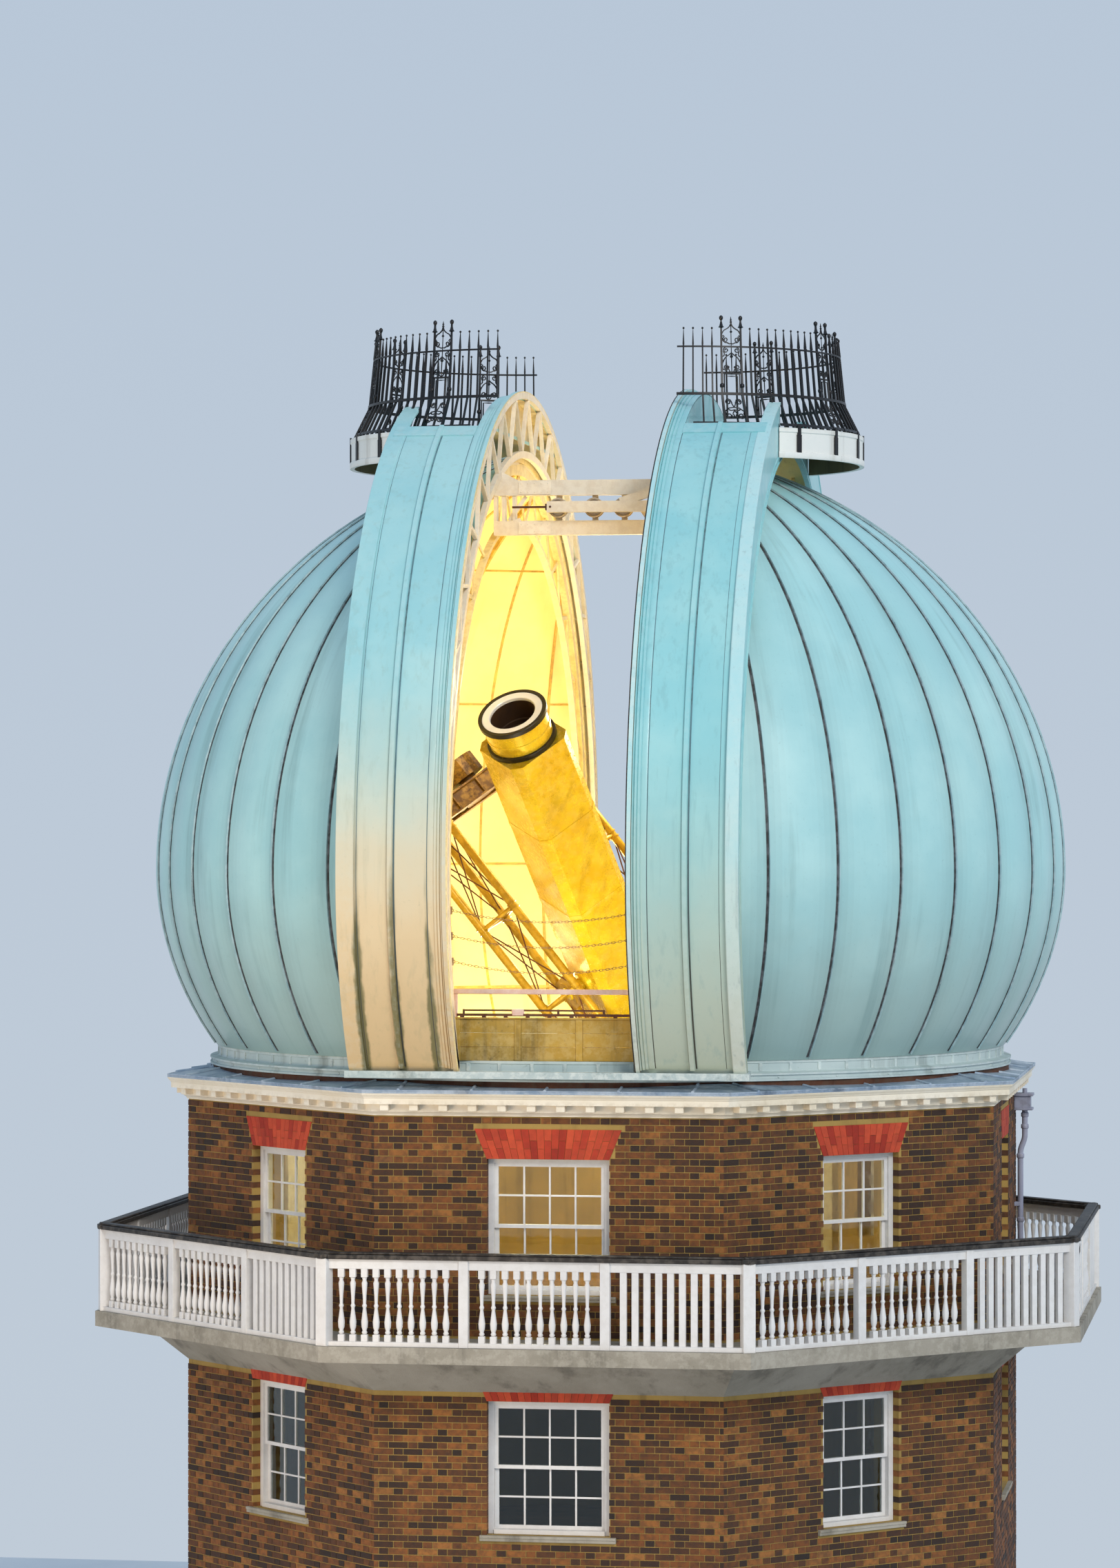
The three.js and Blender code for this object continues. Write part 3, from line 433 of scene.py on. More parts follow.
    def mesh(self, name: str, smooth: float) -> bpy.types.Mesh:
        """Makes the Blender mesh.

        Args:
            name: Name of the mesh.
            smooth: Angle in degrees above which an edge stays sharp.

        Returns:
            The mesh, with a face attribute called tone.
        """
        made = bpy.data.meshes.new(name)
        points = np.concatenate(self.points)
        corners = np.concatenate([faces.ravel() for faces, _, _ in self.faces])
        sizes = np.concatenate([np.full(len(faces), faces.shape[1]) for faces, _, _ in self.faces])
        made.vertices.add(len(points))
        made.vertices.foreach_set("co", points.ravel())
        made.loops.add(len(corners))
        made.loops.foreach_set("vertex_index", corners)
        made.polygons.add(len(sizes))
        made.polygons.foreach_set("loop_start", np.concatenate([[0], np.cumsum(sizes)[:-1]]))
        made.polygons.foreach_set("material_index", np.concatenate([finish for _, finish, _ in self.faces]))
        tones = made.attributes.new("tone", "FLOAT", "FACE")
        tones.data.foreach_set("value", np.concatenate([tone for _, _, tone in self.faces]))
        made.update(calc_edges=True)
        made.validate()
        made.polygons.foreach_set("use_smooth", np.ones(len(made.polygons), dtype=bool))
        made.set_sharp_from_angle(angle=math.radians(smooth))
        return made

    def piece(self, name: str, body: Body, slot: str, finishes: Sequence["Finish"],
              replaces: Sequence[str] = (), smooth: float = 35.0, outward: bool = True) -> bpy.types.Object:
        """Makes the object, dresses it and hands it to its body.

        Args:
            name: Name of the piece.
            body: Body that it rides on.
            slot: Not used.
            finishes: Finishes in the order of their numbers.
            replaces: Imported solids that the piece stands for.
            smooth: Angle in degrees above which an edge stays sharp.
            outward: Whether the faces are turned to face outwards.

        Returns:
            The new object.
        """
        made = self.mesh(name, smooth)
        if outward:
            work = bmesh.new()
            work.from_mesh(made)
            bmesh.ops.recalc_face_normals(work, faces=work.faces)
            work.to_mesh(made)
            work.free()
        return hand_over(made, name, body, finishes, replaces)


def hand_over(mesh: bpy.types.Mesh, name: str, body: Body, finishes: Sequence["Finish"],
              replaces: Sequence[str] = ()) -> bpy.types.Object:
    """Makes an object of a mesh and hands it to its body.

    Args:
        mesh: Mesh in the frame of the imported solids.
        name: Name of the piece.
        body: Body that it rides on.
        finishes: Finishes in the order of the mesh's material numbers.
        replaces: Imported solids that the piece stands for.

    Returns:
        The new object.
    """
    piece = bpy.data.objects.new(name, mesh)
    bpy.context.scene.collection.objects.link(piece)
    for finish in finishes:
        mesh.materials.append(finish.material())
    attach(piece, body.value)
    if replaces:
        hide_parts(*replaces)
    triangles = sum(len(face.vertices) - 2 for face in mesh.polygons)
    log.info("%s rides on %s with %d triangles", name, body.value, triangles)
    return piece


def soften(piece: bpy.types.Object, width: float, segments: int = 2, angle: float = 40.0) -> None:
    """Rounds the sharp edges of a piece with a bevel.

    Args:
        piece: Piece to round.
        width: Width of the bevel.
        segments: Steps across it.
        angle: Smallest angle in degrees between faces that get one.
    """
    bevel = piece.modifiers.new("rounded_edges", "BEVEL")
    bevel.width = width
    bevel.segments = segments
    bevel.limit_method = "ANGLE"
    bevel.angle_limit = math.radians(angle)


Socket = bpy.types.NodeSocket


class Bench:
    """Places and links nodes in one tree."""

    def __init__(self, tree: bpy.types.NodeTree) -> None:
        """Takes a tree to work in.

        Args:
            tree: Node tree of a material or a group.
        """
        self.tree = tree

    def node(self, kind: str, values: dict | None = None, **settings: object) -> bpy.types.Node:
        """Adds a node.

        Args:
            kind: Node type without the ShaderNode prefix.
            values: Input name or number to a value or a socket.
            settings: Attributes of the node.

        Returns:
            The node.
        """
        made = self.tree.nodes.new("ShaderNode" + kind)
        for name, setting in settings.items():
            setattr(made, name, setting)
        self.fill(made, values or {})
        return made

    def fill(self, node: bpy.types.Node, values: dict) -> None:
        """Sets or links several inputs of a node.

        Args:
            node: Node to fill.
            values: Input name or number to a value or a socket.
        """
        for name, value in values.items():
            self.feed(node.inputs[name], value)

    def feed(self, socket: Socket, value: object) -> None:
        """Sets an input to a value, or links it to an output.

        Args:
            socket: Input to feed.
            value: Value or output.
        """
        if isinstance(value, Socket):
            self.tree.links.new(value, socket)
        else:
            socket.default_value = value

    def maths(self, operation: str, first: object, second: object = 0.5, clamp: bool = False) -> Socket:
        """Adds a sum of two values and returns its output."""
        made = self.node("Math", {0: first, 1: second}, operation=operation, use_clamp=clamp)
        return made.outputs[0]

    def times(self, first: object, second: object) -> Socket:
        """Returns the product of two values."""
        return self.maths("MULTIPLY", first, second)

    def plus(self, first: object, second: object) -> Socket:
        """Returns the sum of two values."""
        return self.maths("ADD", first, second)

    def minus(self, first: object, second: object) -> Socket:
        """Returns the first value less the second."""
        return self.maths("SUBTRACT", first, second)

    def mix(self, share: object, first: object, second: object, blend: str = "MIX") -> Socket:
        """Mixes two colours.

        Args:
            share: Share of the second colour.
            first: First colour.
            second: Second colour.
            blend: Way of mixing.

        Returns:
            The mixed colour.
        """
        made = self.node("Mix", data_type="RGBA", blend_type=blend)
        self.fill(made, {0: share, 6: first, 7: second})
        return made.outputs[2]

    def ramp(self, value: Socket, low: object, high: object) -> Socket:
        """Spreads the stretch from low to high smoothly over 0 to 1 and returns the result."""
        made = self.node("MapRange", {0: value, 1: low, 2: high}, interpolation_type="SMOOTHSTEP")
        return made.outputs[0]

    def noise(self, where: object, scale: object, detail: float = 4.0, rough: float = 0.55) -> Socket:
        """Adds a noise texture and returns its value."""
        made = self.node("TexNoise", {"Vector": where, "Scale": scale, "Detail": detail, "Roughness": rough})
        return made.outputs[0]

    def effect(self, group: bpy.types.NodeTree, values: dict) -> bpy.types.Node:
        """Places a shared effect with its own values.

        Args:
            group: The effect's group.
            values: Input name to a value or a socket.

        Returns:
            The node.
        """
        made = self.tree.nodes.new("ShaderNodeGroup")
        made.node_tree = group
        self.fill(made, values)
        return made


class Effects:
    """The shared effects, each built once as a node group."""

    _made: dict[str, bpy.types.NodeTree] = {}

    @classmethod
    def _group(cls, name: str, inputs: dict[str, object], outputs: dict[str, str],
               build: Callable[[Bench, dict, dict], None]) -> bpy.types.NodeTree:
        """Builds a group on its first call and finds it again later.

        Args:
            name: Name of the group.
            inputs: Input name to its default: a number, a colour or None for a vector.
            outputs: Output name to its kind.
            build: Fills the group, given its bench and its input and output sockets.

        Returns:
            The group.
        """
        if name in cls._made:
            return cls._made[name]
        tree = bpy.data.node_groups.new(name, "ShaderNodeTree")
        for title, value in inputs.items():
            kind = "Vector" if value is None else "Color" if isinstance(value, tuple) else "Float"
            made = tree.interface.new_socket(title, in_out="INPUT", socket_type="NodeSocket" + kind)
            if value is not None:
                made.default_value = value
        for title, kind in outputs.items():
            tree.interface.new_socket(title, in_out="OUTPUT", socket_type="NodeSocket" + kind)
        bench = Bench(tree)
        source = tree.nodes.new("NodeGroupInput").outputs
        target = tree.nodes.new("NodeGroupOutput").inputs
        build(bench, {title: source[title] for title in inputs}, {title: target[title] for title in outputs})
        cls._made[name] = tree
        return tree

    @classmethod
    def blotches(cls) -> bpy.types.NodeTree:
        """Soft patches of a second colour over a first.

        Returns:
            The group.
        """

        def build(bench: Bench, given: dict, put: dict) -> None:
            """Fills the group.

            Args:
                bench: Bench of the group.
                given: Its input sockets by name.
                put: Its output sockets by name.
            """
            wide = bench.noise(given["Where"], given["Scale"], 5.0, 0.6)
            mask = bench.ramp(wide, 0.36, 0.66)
            share = bench.times(mask, given["Amount"])
            bench.feed(put["Color"], bench.mix(share, given["First"], given["Second"]))
            bench.feed(put["Mask"], share)

        return cls._group("soft_blotches", {
            "Where": None, "Scale": 1.0, "Amount": 1.0, "First": (1, 1, 1, 1), "Second": (0, 0, 0, 1),
        }, {"Color": "Color", "Mask": "Float"}, build)

    @classmethod
    def streaks(cls) -> bpy.types.NodeTree:
        """Runs of rain and dirt, drawn out along the third coordinate.

        Returns:
            The group.
        """

        def build(bench: Bench, given: dict, put: dict) -> None:
            """Fills the group.

            Args:
                bench: Bench of the group.
                given: Its input sockets by name.
                put: Its output sockets by name.
            """
            drawn = bench.node("VectorMath", {0: given["Where"], 1: (1.0, 1.0, 0.055)}, operation="MULTIPLY")
            runs = bench.noise(drawn.outputs[0], given["Scale"], 6.0, 0.62)
            ends = bench.noise(given["Where"], 0.9, 3.0)
            both = bench.plus(bench.times(runs, 0.75), bench.times(ends, 0.25))
            mask = bench.ramp(both, given["Start"], bench.plus(given["Start"], 0.16))
            bench.feed(put["Mask"], bench.times(mask, given["Amount"]))

        return cls._group("rain_streaks", {"Where": None, "Scale": 6.0, "Start": 0.5, "Amount": 1.0},
                          {"Mask": "Float"}, build)

    @classmethod
    def level_band(cls) -> bpy.types.NodeTree:
        """A ragged mask that is full at one height and fades out at another.

        Returns:
            The group.
        """

        def build(bench: Bench, given: dict, put: dict) -> None:
            """Fills the group.

            Args:
                bench: Bench of the group.
                given: Its input sockets by name.
                put: Its output sockets by name.
            """
            place = bench.node("SeparateXYZ", {0: given["Where"]})
            ragged = bench.times(bench.minus(bench.noise(given["Where"], 2.3), 0.5),
                                 given["Ragged"])
            level = bench.plus(place.outputs[2], ragged)
            spread = bench.node("MapRange", {0: level, 1: given["Full"], 2: given["None"], 3: 1.0, 4: 0.0},
                                interpolation_type="SMOOTHSTEP")
            bench.feed(put["Mask"], spread.outputs[0])

        return cls._group("level_band", {"Where": None, "Full": 0.0, "None": 1.0, "Ragged": 0.6},
                          {"Mask": "Float"}, build)

    @classmethod
    def grain(cls) -> bpy.types.NodeTree:
        """Fine speckle for colour, and the same as a height.

        Returns:
            The group.
        """

        def build(bench: Bench, given: dict, put: dict) -> None:
            """Fills the group.

            Args:
                bench: Bench of the group.
                given: Its input sockets by name.
                put: Its output sockets by name.
            """
            fine = bench.noise(given["Where"], given["Scale"], 6.0, 0.65)
            coarse = bench.noise(given["Where"], bench.times(given["Scale"], 0.12), 3.0)
            both = bench.plus(bench.times(fine, 0.7), bench.times(coarse, 0.3))
            bench.feed(put["Height"], both)
            spots = bench.ramp(fine, 0.60, 0.72)
            bench.feed(put["Mask"], bench.times(spots, given["Amount"]))

        return cls._group("fine_grain", {"Where": None, "Scale": 40.0, "Amount": 1.0},
                          {"Mask": "Float", "Height": "Float"}, build)

    @classmethod
    def edge_wear(cls) -> bpy.types.NodeTree:
        """A broken mask along raised edges.

        Returns:
            The group.
        """

        def build(bench: Bench, given: dict, put: dict) -> None:
            """Fills the group.

            Args:
                bench: Bench of the group.
                given: Its input sockets by name.
                put: Its output sockets by name.
            """
            raised = bench.ramp(bench.node("NewGeometry").outputs["Pointiness"], 0.52, 0.62)
            broken = bench.ramp(bench.noise(given["Where"], given["Scale"], 5.0, 0.7), 0.42, 0.62)
            worn = bench.times(raised, broken)
            bench.feed(put["Mask"], bench.times(worn, given["Amount"]))

        return cls._group("edge_wear", {"Where": None, "Scale": 9.0, "Amount": 1.0}, {"Mask": "Float"}, build)


def tint(text: str) -> tuple[float, float, float, float]:
    """Reads a colour.

    Args:
        text: Six hexadecimal digits of the colour as seen.

    Returns:
        The colour as the shader takes it.
    """
    seen = [int(text[k:k + 2], 16) / 255 for k in (0, 2, 4)]
    return (*(c / 12.92 if c <= 0.04045 else ((c + 0.055) / 1.055) ** 2.4 for c in seen), 1.0)


class Finish:
    """A finish that makes its material once."""

    _made: dict["Finish", bpy.types.Material] = {}

    def material(self) -> bpy.types.Material:
        """Makes the material on the first call.

        Returns:
            The material.
        """
        if self not in Finish._made:
            made = bpy.data.materials.new(self.name)
            made.use_nodes = True
            bench = Bench(made.node_tree)
            shader = made.node_tree.nodes["Principled BSDF"]
            self.dress(bench, shader)
            made.diffuse_color = tint(self.swatch())
            Finish._made[self] = made
        return Finish._made[self]

    def swatch(self) -> str:
        """Returns the finish's main colour."""
        return "808080"

    def dress(self, bench: Bench, shader: bpy.types.Node) -> None:
        """Fills the material."""
        raise NotImplementedError


@dataclass(frozen=True)
class Paint(Finish):
    """Old oil paint on metal or wood: patches, runs, worn edges, specks, face tones and colour bands low and
    high, which on some finishes are painted light and shade.
    """

    name: str
    main: str
    faded: str
    dirt: str
    under: str = "5a4a3a"
    patch_scale: float = 0.9
    patches: float = 0.7
    tones: float = 0.12
    runs: float = 0.5
    run_scale: float = 6.0
    run_start: float = 0.5
    worn: float = 0.5
    specks: float = 0.25
    speck_scale: float = 38.0
    rough: float = 0.5
    rough_spread: float = 0.16
    metallic: float = 0.0
    coat: float = 0.0
    bump: float = 0.12
    bump_depth: float = 0.004
    low_band: tuple[float, float] | None = None
    low_colour: str = "8f9384"
    low_share: float = 0.6
    high_band: tuple[float, float] | None = None
    high_colour: str = "b8dfe6"
    high_share: float = 0.6
    round_runs: bool = False
    stain: tuple[float, float, float] | None = None
    stain_colour: str = "24301c"
    stain_fade: float = 2.2
    moulding_gap: float = 0.2025

    def swatch(self) -> str:
        """Returns the main colour."""
        return self.main

    def dress(self, bench: Bench, shader: bpy.types.Node) -> None:
        """Fills the material.

        Args:
            bench: Bench of the material's tree.
            shader: Its surface shader.
        """
        where = bench.node("TexCoord").outputs["Object"]
        along = self.run_place(bench, where)
        patches = bench.effect(Effects.blotches(), {
            "Where": where, "Scale": self.patch_scale, "Amount": self.patches,
            "First": tint(self.main), "Second": tint(self.faded),
        })
        colour = patches.outputs["Color"]
        # Colour bands low and high on the object; on the shell and the left leaf they are painted light and
        # shade.
        for band, shade, share in ((self.low_band, self.low_colour, self.low_share),
                                   (self.high_band, self.high_colour, self.high_share)):
            if band is not None:
                mask = bench.effect(Effects.level_band(), {
                    "Where": where, "Full": band[0], "None": band[1], "Ragged": 0.7,
                }).outputs["Mask"]
                colour = bench.mix(bench.times(mask, share), colour, tint(shade))
        # The face tone lightens or darkens the colour; on the shell it is painted shade towards each seam.
        tone = bench.node("Attribute", attribute_name="tone").outputs["Fac"]
        light = bench.node("MapRange", {0: tone, 1: 0.0, 2: 1.0, 3: 1.0 - self.tones, 4: 1.0 + self.tones})
        colour = bench.mix(1.0, colour, light.outputs[0], "MULTIPLY")
        runs = bench.effect(Effects.streaks(), {
            "Where": along, "Scale": self.run_scale, "Start": self.run_start, "Amount": self.runs,
        }).outputs["Mask"]
        colour = bench.mix(runs, colour, tint(self.dirt))
        if self.stain is not None:
            colour = bench.mix(self.stain_mask(bench, where), colour, tint(self.stain_colour))
        worn = bench.effect(Effects.edge_wear(), {"Where": where, "Amount": self.worn}).outputs["Mask"]
        colour = bench.mix(worn, colour, tint(self.under))
        grain = bench.effect(Effects.grain(), {
            "Where": where, "Scale": self.speck_scale, "Amount": self.specks,
        })
        colour = bench.mix(grain.outputs["Mask"], colour, tint(self.dirt))
        rough = bench.plus(bench.times(grain.outputs["Height"], self.rough_spread),
                            self.rough - self.rough_spread / 2)
        rough = bench.maths("ADD", rough, bench.times(runs, 0.15), clamp=True)
        height = bench.minus(grain.outputs["Height"], bench.times(worn, 0.6))
        bump = bench.node("Bump", {"Height": height, "Strength": self.bump, "Distance": self.bump_depth})
        bench.fill(shader, {"Base Color": colour, "Roughness": rough, "Normal": bump.outputs[0],
                            "Metallic": self.metallic, "Coat Weight": self.coat})

    def stain_mask(self, bench: Bench, where: Socket) -> Socket:
        """Masks the moss that grows down beside the mouldings.

        Args:
            bench: Bench of the material's tree.
            where: Place on the object.

        Returns:
            The mask.
        """
        middle, reach, top = self.stain
        place = bench.node("SeparateXYZ", {0: where})
        beyond = bench.minus(bench.maths("ABSOLUTE", place.outputs[0]), middle)
        away = bench.maths("PINGPONG", beyond, self.moulding_gap)
        beside = bench.node("MapRange", {0: away, 1: 0.0, 2: reach, 3: 1.0, 4: 0.0})
        low = bench.node("MapRange", {0: place.outputs[2], 1: top, 2: top - self.stain_fade, 3: 0.0, 4: 1.0})
        both = bench.times(beside.outputs[0], low.outputs[0])
        drawn = bench.node("VectorMath", {0: where, 1: (1.0, 1.0, 0.10)}, operation="MULTIPLY")
        ragged = bench.plus(both, bench.minus(bench.noise(drawn.outputs[0], 9.0, 6.0), 0.62))
        return bench.times(bench.ramp(ragged, 0.10, 0.55), 0.8)

    def run_place(self, bench: Bench, where: Socket) -> Socket:
        """Finds where the runs are drawn.

        Args:
            bench: Bench of the material's tree.
            where: Place on the object.

        Returns:
            The same place, or on a round shell its distance round the axis and its height.
        """
        if not self.round_runs:
            return where
        place = bench.node("SeparateXYZ", {0: where})
        turn = bench.maths("ARCTAN2", place.outputs[0], place.outputs[1])
        round_it = bench.times(turn, 5.0)
        return bench.node("CombineXYZ", {0: round_it, 1: 0.0, 2: place.outputs[2]}).outputs[0]


@dataclass(frozen=True)
class Brick(Finish):
    """Fired brick whose colour follows each brick's own tone, with soot and a rough face."""

    name: str
    shades: tuple[str, ...]
    soot: str = "1d1713"
    soot_share: float = 0.45
    rough: float = 0.88

    def swatch(self) -> str:
        """Returns a middle shade."""
        return self.shades[len(self.shades) // 2]

    def dress(self, bench: Bench, shader: bpy.types.Node) -> None:
        """Fills the material.

        Args:
            bench: Bench of the material's tree.
            shader: Its surface shader.
        """
        where = bench.node("TexCoord").outputs["Object"]
        tone = bench.node("Attribute", attribute_name="tone").outputs["Fac"]
        shades = bench.node("ValToRGB", {0: tone})
        stops = shades.color_ramp.elements
        stops[0].color, stops[-1].color = tint(self.shades[0]), tint(self.shades[-1])
        for k, shade in enumerate(self.shades[1:-1], 1):
            stops.new(k / (len(self.shades) - 1)).color = tint(shade)
        clouds = bench.effect(Effects.blotches(), {
            "Where": where, "Scale": 14.0, "Amount": self.soot_share,
            "First": shades.outputs[0], "Second": tint(self.soot),
        })
        damp = bench.effect(Effects.streaks(), {"Where": where, "Scale": 1.6, "Start": 0.52, "Amount": 0.4})
        colour = bench.mix(damp.outputs["Mask"], clouds.outputs["Color"], tint(self.soot))
        grain = bench.effect(Effects.grain(), {"Where": where, "Scale": 130.0, "Amount": 0.35})
        colour = bench.mix(grain.outputs["Mask"], colour, tint("a8926a"))
        bump = bench.node("Bump", {"Height": grain.outputs["Height"], "Strength": 0.7, "Distance": 0.006})
        rough = bench.plus(bench.times(clouds.outputs["Mask"], -0.15), self.rough)
        bench.fill(shader, {"Base Color": colour, "Roughness": rough, "Normal": bump.outputs[0]})


@dataclass(frozen=True)
class Boards(Finish):
    """Floor boards with grain along X, butted in rows."""

    name: str
    light: str
    dark: str
    wide: float = 0.14

    def swatch(self) -> str:
        """Returns the light shade."""
        return self.light

    def dress(self, bench: Bench, shader: bpy.types.Node) -> None:
        """Fills the material.

        Args:
            bench: Bench of the material's tree.
            shader: Its surface shader.
        """
        where = bench.node("TexCoord").outputs["Object"]
        rows = bench.node("TexBrick", {
            "Vector": where, "Scale": 1.0, "Brick Width": 2.4, "Row Height": self.wide,
            "Mortar Size": 0.004, "Color1": tint(self.light), "Color2": tint(self.dark),
            "Mortar": tint("1c130c"),
        }, offset=0.37)
        drawn = bench.node("VectorMath", {0: where, 1: (1.0, 14.0, 14.0)}, operation="MULTIPLY")
        grain = bench.noise(drawn.outputs[0], 3.0, 7.0, 0.6)
        colour = bench.mix(bench.times(grain, 0.5), rows.outputs["Color"], tint(self.dark))
        height = bench.minus(grain, bench.times(rows.outputs["Fac"], 2.0))
        bump = bench.node("Bump", {"Height": height, "Strength": 0.4, "Distance": 0.004})
        rough = bench.plus(bench.times(grain, 0.25), 0.42)
        bench.fill(shader, {"Base Color": colour, "Roughness": rough, "Normal": bump.outputs[0]})


@dataclass(frozen=True)
class Glass(Finish):
    """Old window glass, slightly wavy."""

    name: str
    colour: str = "dfe9e6"

    def swatch(self) -> str:
        """Returns the glass colour."""
        return self.colour

    def dress(self, bench: Bench, shader: bpy.types.Node) -> None:
        """Fills the material.

        Args:
            bench: Bench of the material's tree.
            shader: Its surface shader.
        """
        where = bench.node("TexCoord").outputs["Object"]
        waves = bench.noise(where, 3.5, 2.0)
        bump = bench.node("Bump", {"Height": waves, "Strength": 0.12, "Distance": 0.02})
        smear = bench.ramp(bench.noise(where, 7.0, 4.0), 0.35, 0.8)
        bench.fill(shader, {"Roughness": bench.times(smear, 0.12), "Normal": bump.outputs[0],
                            "Base Color": tint(self.colour), "Transmission Weight": 1.0, "IOR": 1.45})


class Finishes:
    """Every finish of the building, by what it covers."""

    BRICK = Brick("stock_brick", ("2a1d17", "40281b", "5a361d", "784620", "8c5526", "9c6630", "52362a"))
    ARCH_BRICK = Brick("rubbed_red_brick", ("9c2a18", "b53a22", "cc4f2e", "b03c24"), soot_share=0.15)
    MORTAR = Paint("yellow_mortar", "b3934f", "967c44", "54442a", rough=0.92, bump=0.6, bump_depth=0.006,
                   runs=0.35, worn=0.0, speck_scale=90.0, specks=0.5)
    STONE = Paint("weathered_stone", "a79f90", "8b8474", "4f4a42", rough=0.85, bump=0.5, bump_depth=0.01,
                  runs=0.55, run_scale=3.0, worn=0.3, under="c4bdae", specks=0.5, speck_scale=60.0)
    PLASTER = Paint("limewashed_pier", "d9cda6", "c2b184", "8a7a50", rough=0.8, bump=0.35, bump_depth=0.01,
                    runs=0.25, worn=0.2, specks=0.2)
    CREAM = Paint("cream_joinery_paint", "f0e6d2", "e2d2b4", "9a8668", runs=0.3, run_start=0.58, worn=0.3,
                  under="a08c68", specks=0.15)
    SASH = Paint("white_sash_paint", "e2dfdb", "d3d0ce", "9a958c", rough=0.4, runs=0.15, run_start=0.62,
                 worn=0.12, under="a59c8c", specks=0.06)
    DOOR = Paint("dark_green_door_paint", "1f3b2c", "2a4a38", "101c16", rough=0.3, coat=0.3, runs=0.2)
    LEAD = Paint("roof_lead", "8fa2b6", "c3ced8", "3b4653", metallic=0.35, runs=0.6, run_scale=3.0,
                 patch_scale=2.2, specks=0.4, bump=0.35, bump_depth=0.012, worn=0.4, under="d3d9de")
    DARK_LEAD = Paint("sooty_lead_capping", "1b1714", "3a332d", "0d0b0a", rough=0.55, metallic=0.2, runs=0.4,
                      under="7d7368")
    PIPE = Paint("grey_pipe_paint", "8f93a8", "a8a9b8", "45475a", rough=0.45)
    # Shell: the high band is a painted highlight, lighter towards the top; the low band is darker and greyer
    # towards the bottom.
    SHELL = Paint("dome_shell_paint", "9dcbcc", "b4dad7", "6a8c8a", rough=0.40, coat=0.12, tones=0.09,
                  patch_scale=0.5, patches=0.8, runs=0.42, run_scale=3.4, run_start=0.52, round_runs=True,
                  specks=0.18, speck_scale=26.0, worn=0.0, bump=0.08, bump_depth=0.008,
                  low_band=(9.6, 12.2), low_colour="93a69e", low_share=0.75,
                  high_band=(17.2, 13.2), high_colour="a0d6da", high_share=0.5)
    LEAF = Paint("shutter_leaf_paint", "92cfd3", "a9dad9", "6c9496", rough=0.38, coat=0.15, tones=0.012,
                 patch_scale=0.8, runs=0.2, run_scale=14.0, specks=0.12, speck_scale=24.0, worn=0.2,
                 under="d3e2df", bump=0.08, bump_depth=0.006, low_band=(9.5, 13.6), low_colour="b9b9a0",
                 low_share=0.85)
    # Left leaf: the cream low band and the gold band at its foot are painted warm light from below; the moss
    # beside the mouldings is a real stain.
    STAINED_GLOW_LEAF = Paint("stained_glow_leaf_paint", "9acfd3", "b2dbd9", "7d8668", rough=0.42, coat=0.1,
                         tones=0.012, patch_scale=0.8, runs=0.14, run_scale=12.0, specks=0.12,
                         speck_scale=24.0, worn=0.2, under="d3e2df", bump=0.10, bump_depth=0.006,
                         low_band=(10.8, 14.4), low_colour="e6d2ac", low_share=1.0, high_band=(9.7, 12.6),
                         high_colour="c9a468", stain=(1.235, 0.085, 12.4), stain_colour="4e5220")
    # Warm cream inside the leaves: cream paint tinted with painted warm glow of the lamps inside.
    LEAF_INSIDE_GLOW = Paint("leaf_inside_glow_paint", "f2dfae", "e5c98a", "97702f", runs=0.3, run_scale=9.0,
                        run_start=0.54, worn=0.3, under="8c5a30", specks=0.15)
    # Dark strips on the leaves: plate joints, and painted shade in the groove at the casing and beside the
    # batten.
    LEAF_JOINT_AND_SHADE = Paint("leaf_joint_and_shade_paint", "5f8088", "6f9198", "3c4a40", rough=0.6, runs=0.6, run_scale=16.0,
                       run_start=0.48, worn=0.0, low_band=(9.8, 13.6), low_colour="4c4230", low_share=0.95)
    # Gold-brown under the crown: painted shade with warm light from inside the dome.
    CROWN_UNDER_SHADE = Paint("crown_underside_shade_paint", "9a8560", "84704e", "4e3d26", rough=0.55, runs=0.4, worn=0.1)
    # A lighter copy of the leaf paint for the right leaf's edge and flange: painted highlight on their lit
    # faces.
    LIT_LEAF_EDGE = Paint("lit_leaf_flange_paint", "b2dee0", "c6e3df", "7a9090", rough=0.40, runs=0.4, run_scale=14.0,
                      run_start=0.53, worn=0.3, under="e0e8e2", speck_scale=30.0, low_band=(9.5, 13.2),
                      low_colour="cdc9b4", low_share=0.8)
    SEAL = Paint("slit_seal_paint", "14110f", "2a221c", "070606", rough=0.6, runs=0.3, worn=0.3,
                 under="6a5640")
    RIDGE = Paint("ridge_paint", "8fb2b9", "a6c6c9", "3c4a4f", run_scale=9.0, under="c2d6d6")
    WHEEL = Paint("roller_paint", "d8cfc0", "c0a888", "7b6a5c", rough=0.35, metallic=0.2, runs=0.3, worn=0.8,
                  under="a88a5e")
    CHAIN = Paint("chain_paint", "8a6446", "6d4c34", "3a281c", metallic=0.2, runs=0.4, under="b99b78")
    CROWN = Paint("crown_paint", "f0eee6", "e2e4de", "8c7f6c", rough=0.42, runs=0.35, run_scale=5.0,
                  run_start=0.56, worn=0.3, under="b59a72", specks=0.2)
    SEAM = Paint("seam_pitch", "231f1f", "3a3634", "120f0f", rough=0.6, runs=0.3, worn=0.4, under="7c8288")
    CURB = Paint("curb_paint", "aebfbe", "c6d2cf", "6b736c", runs=0.7, run_scale=2.5, round_runs=True,
                 under="e4e8e0", specks=0.35, speck_scale=20.0, bump=0.2)
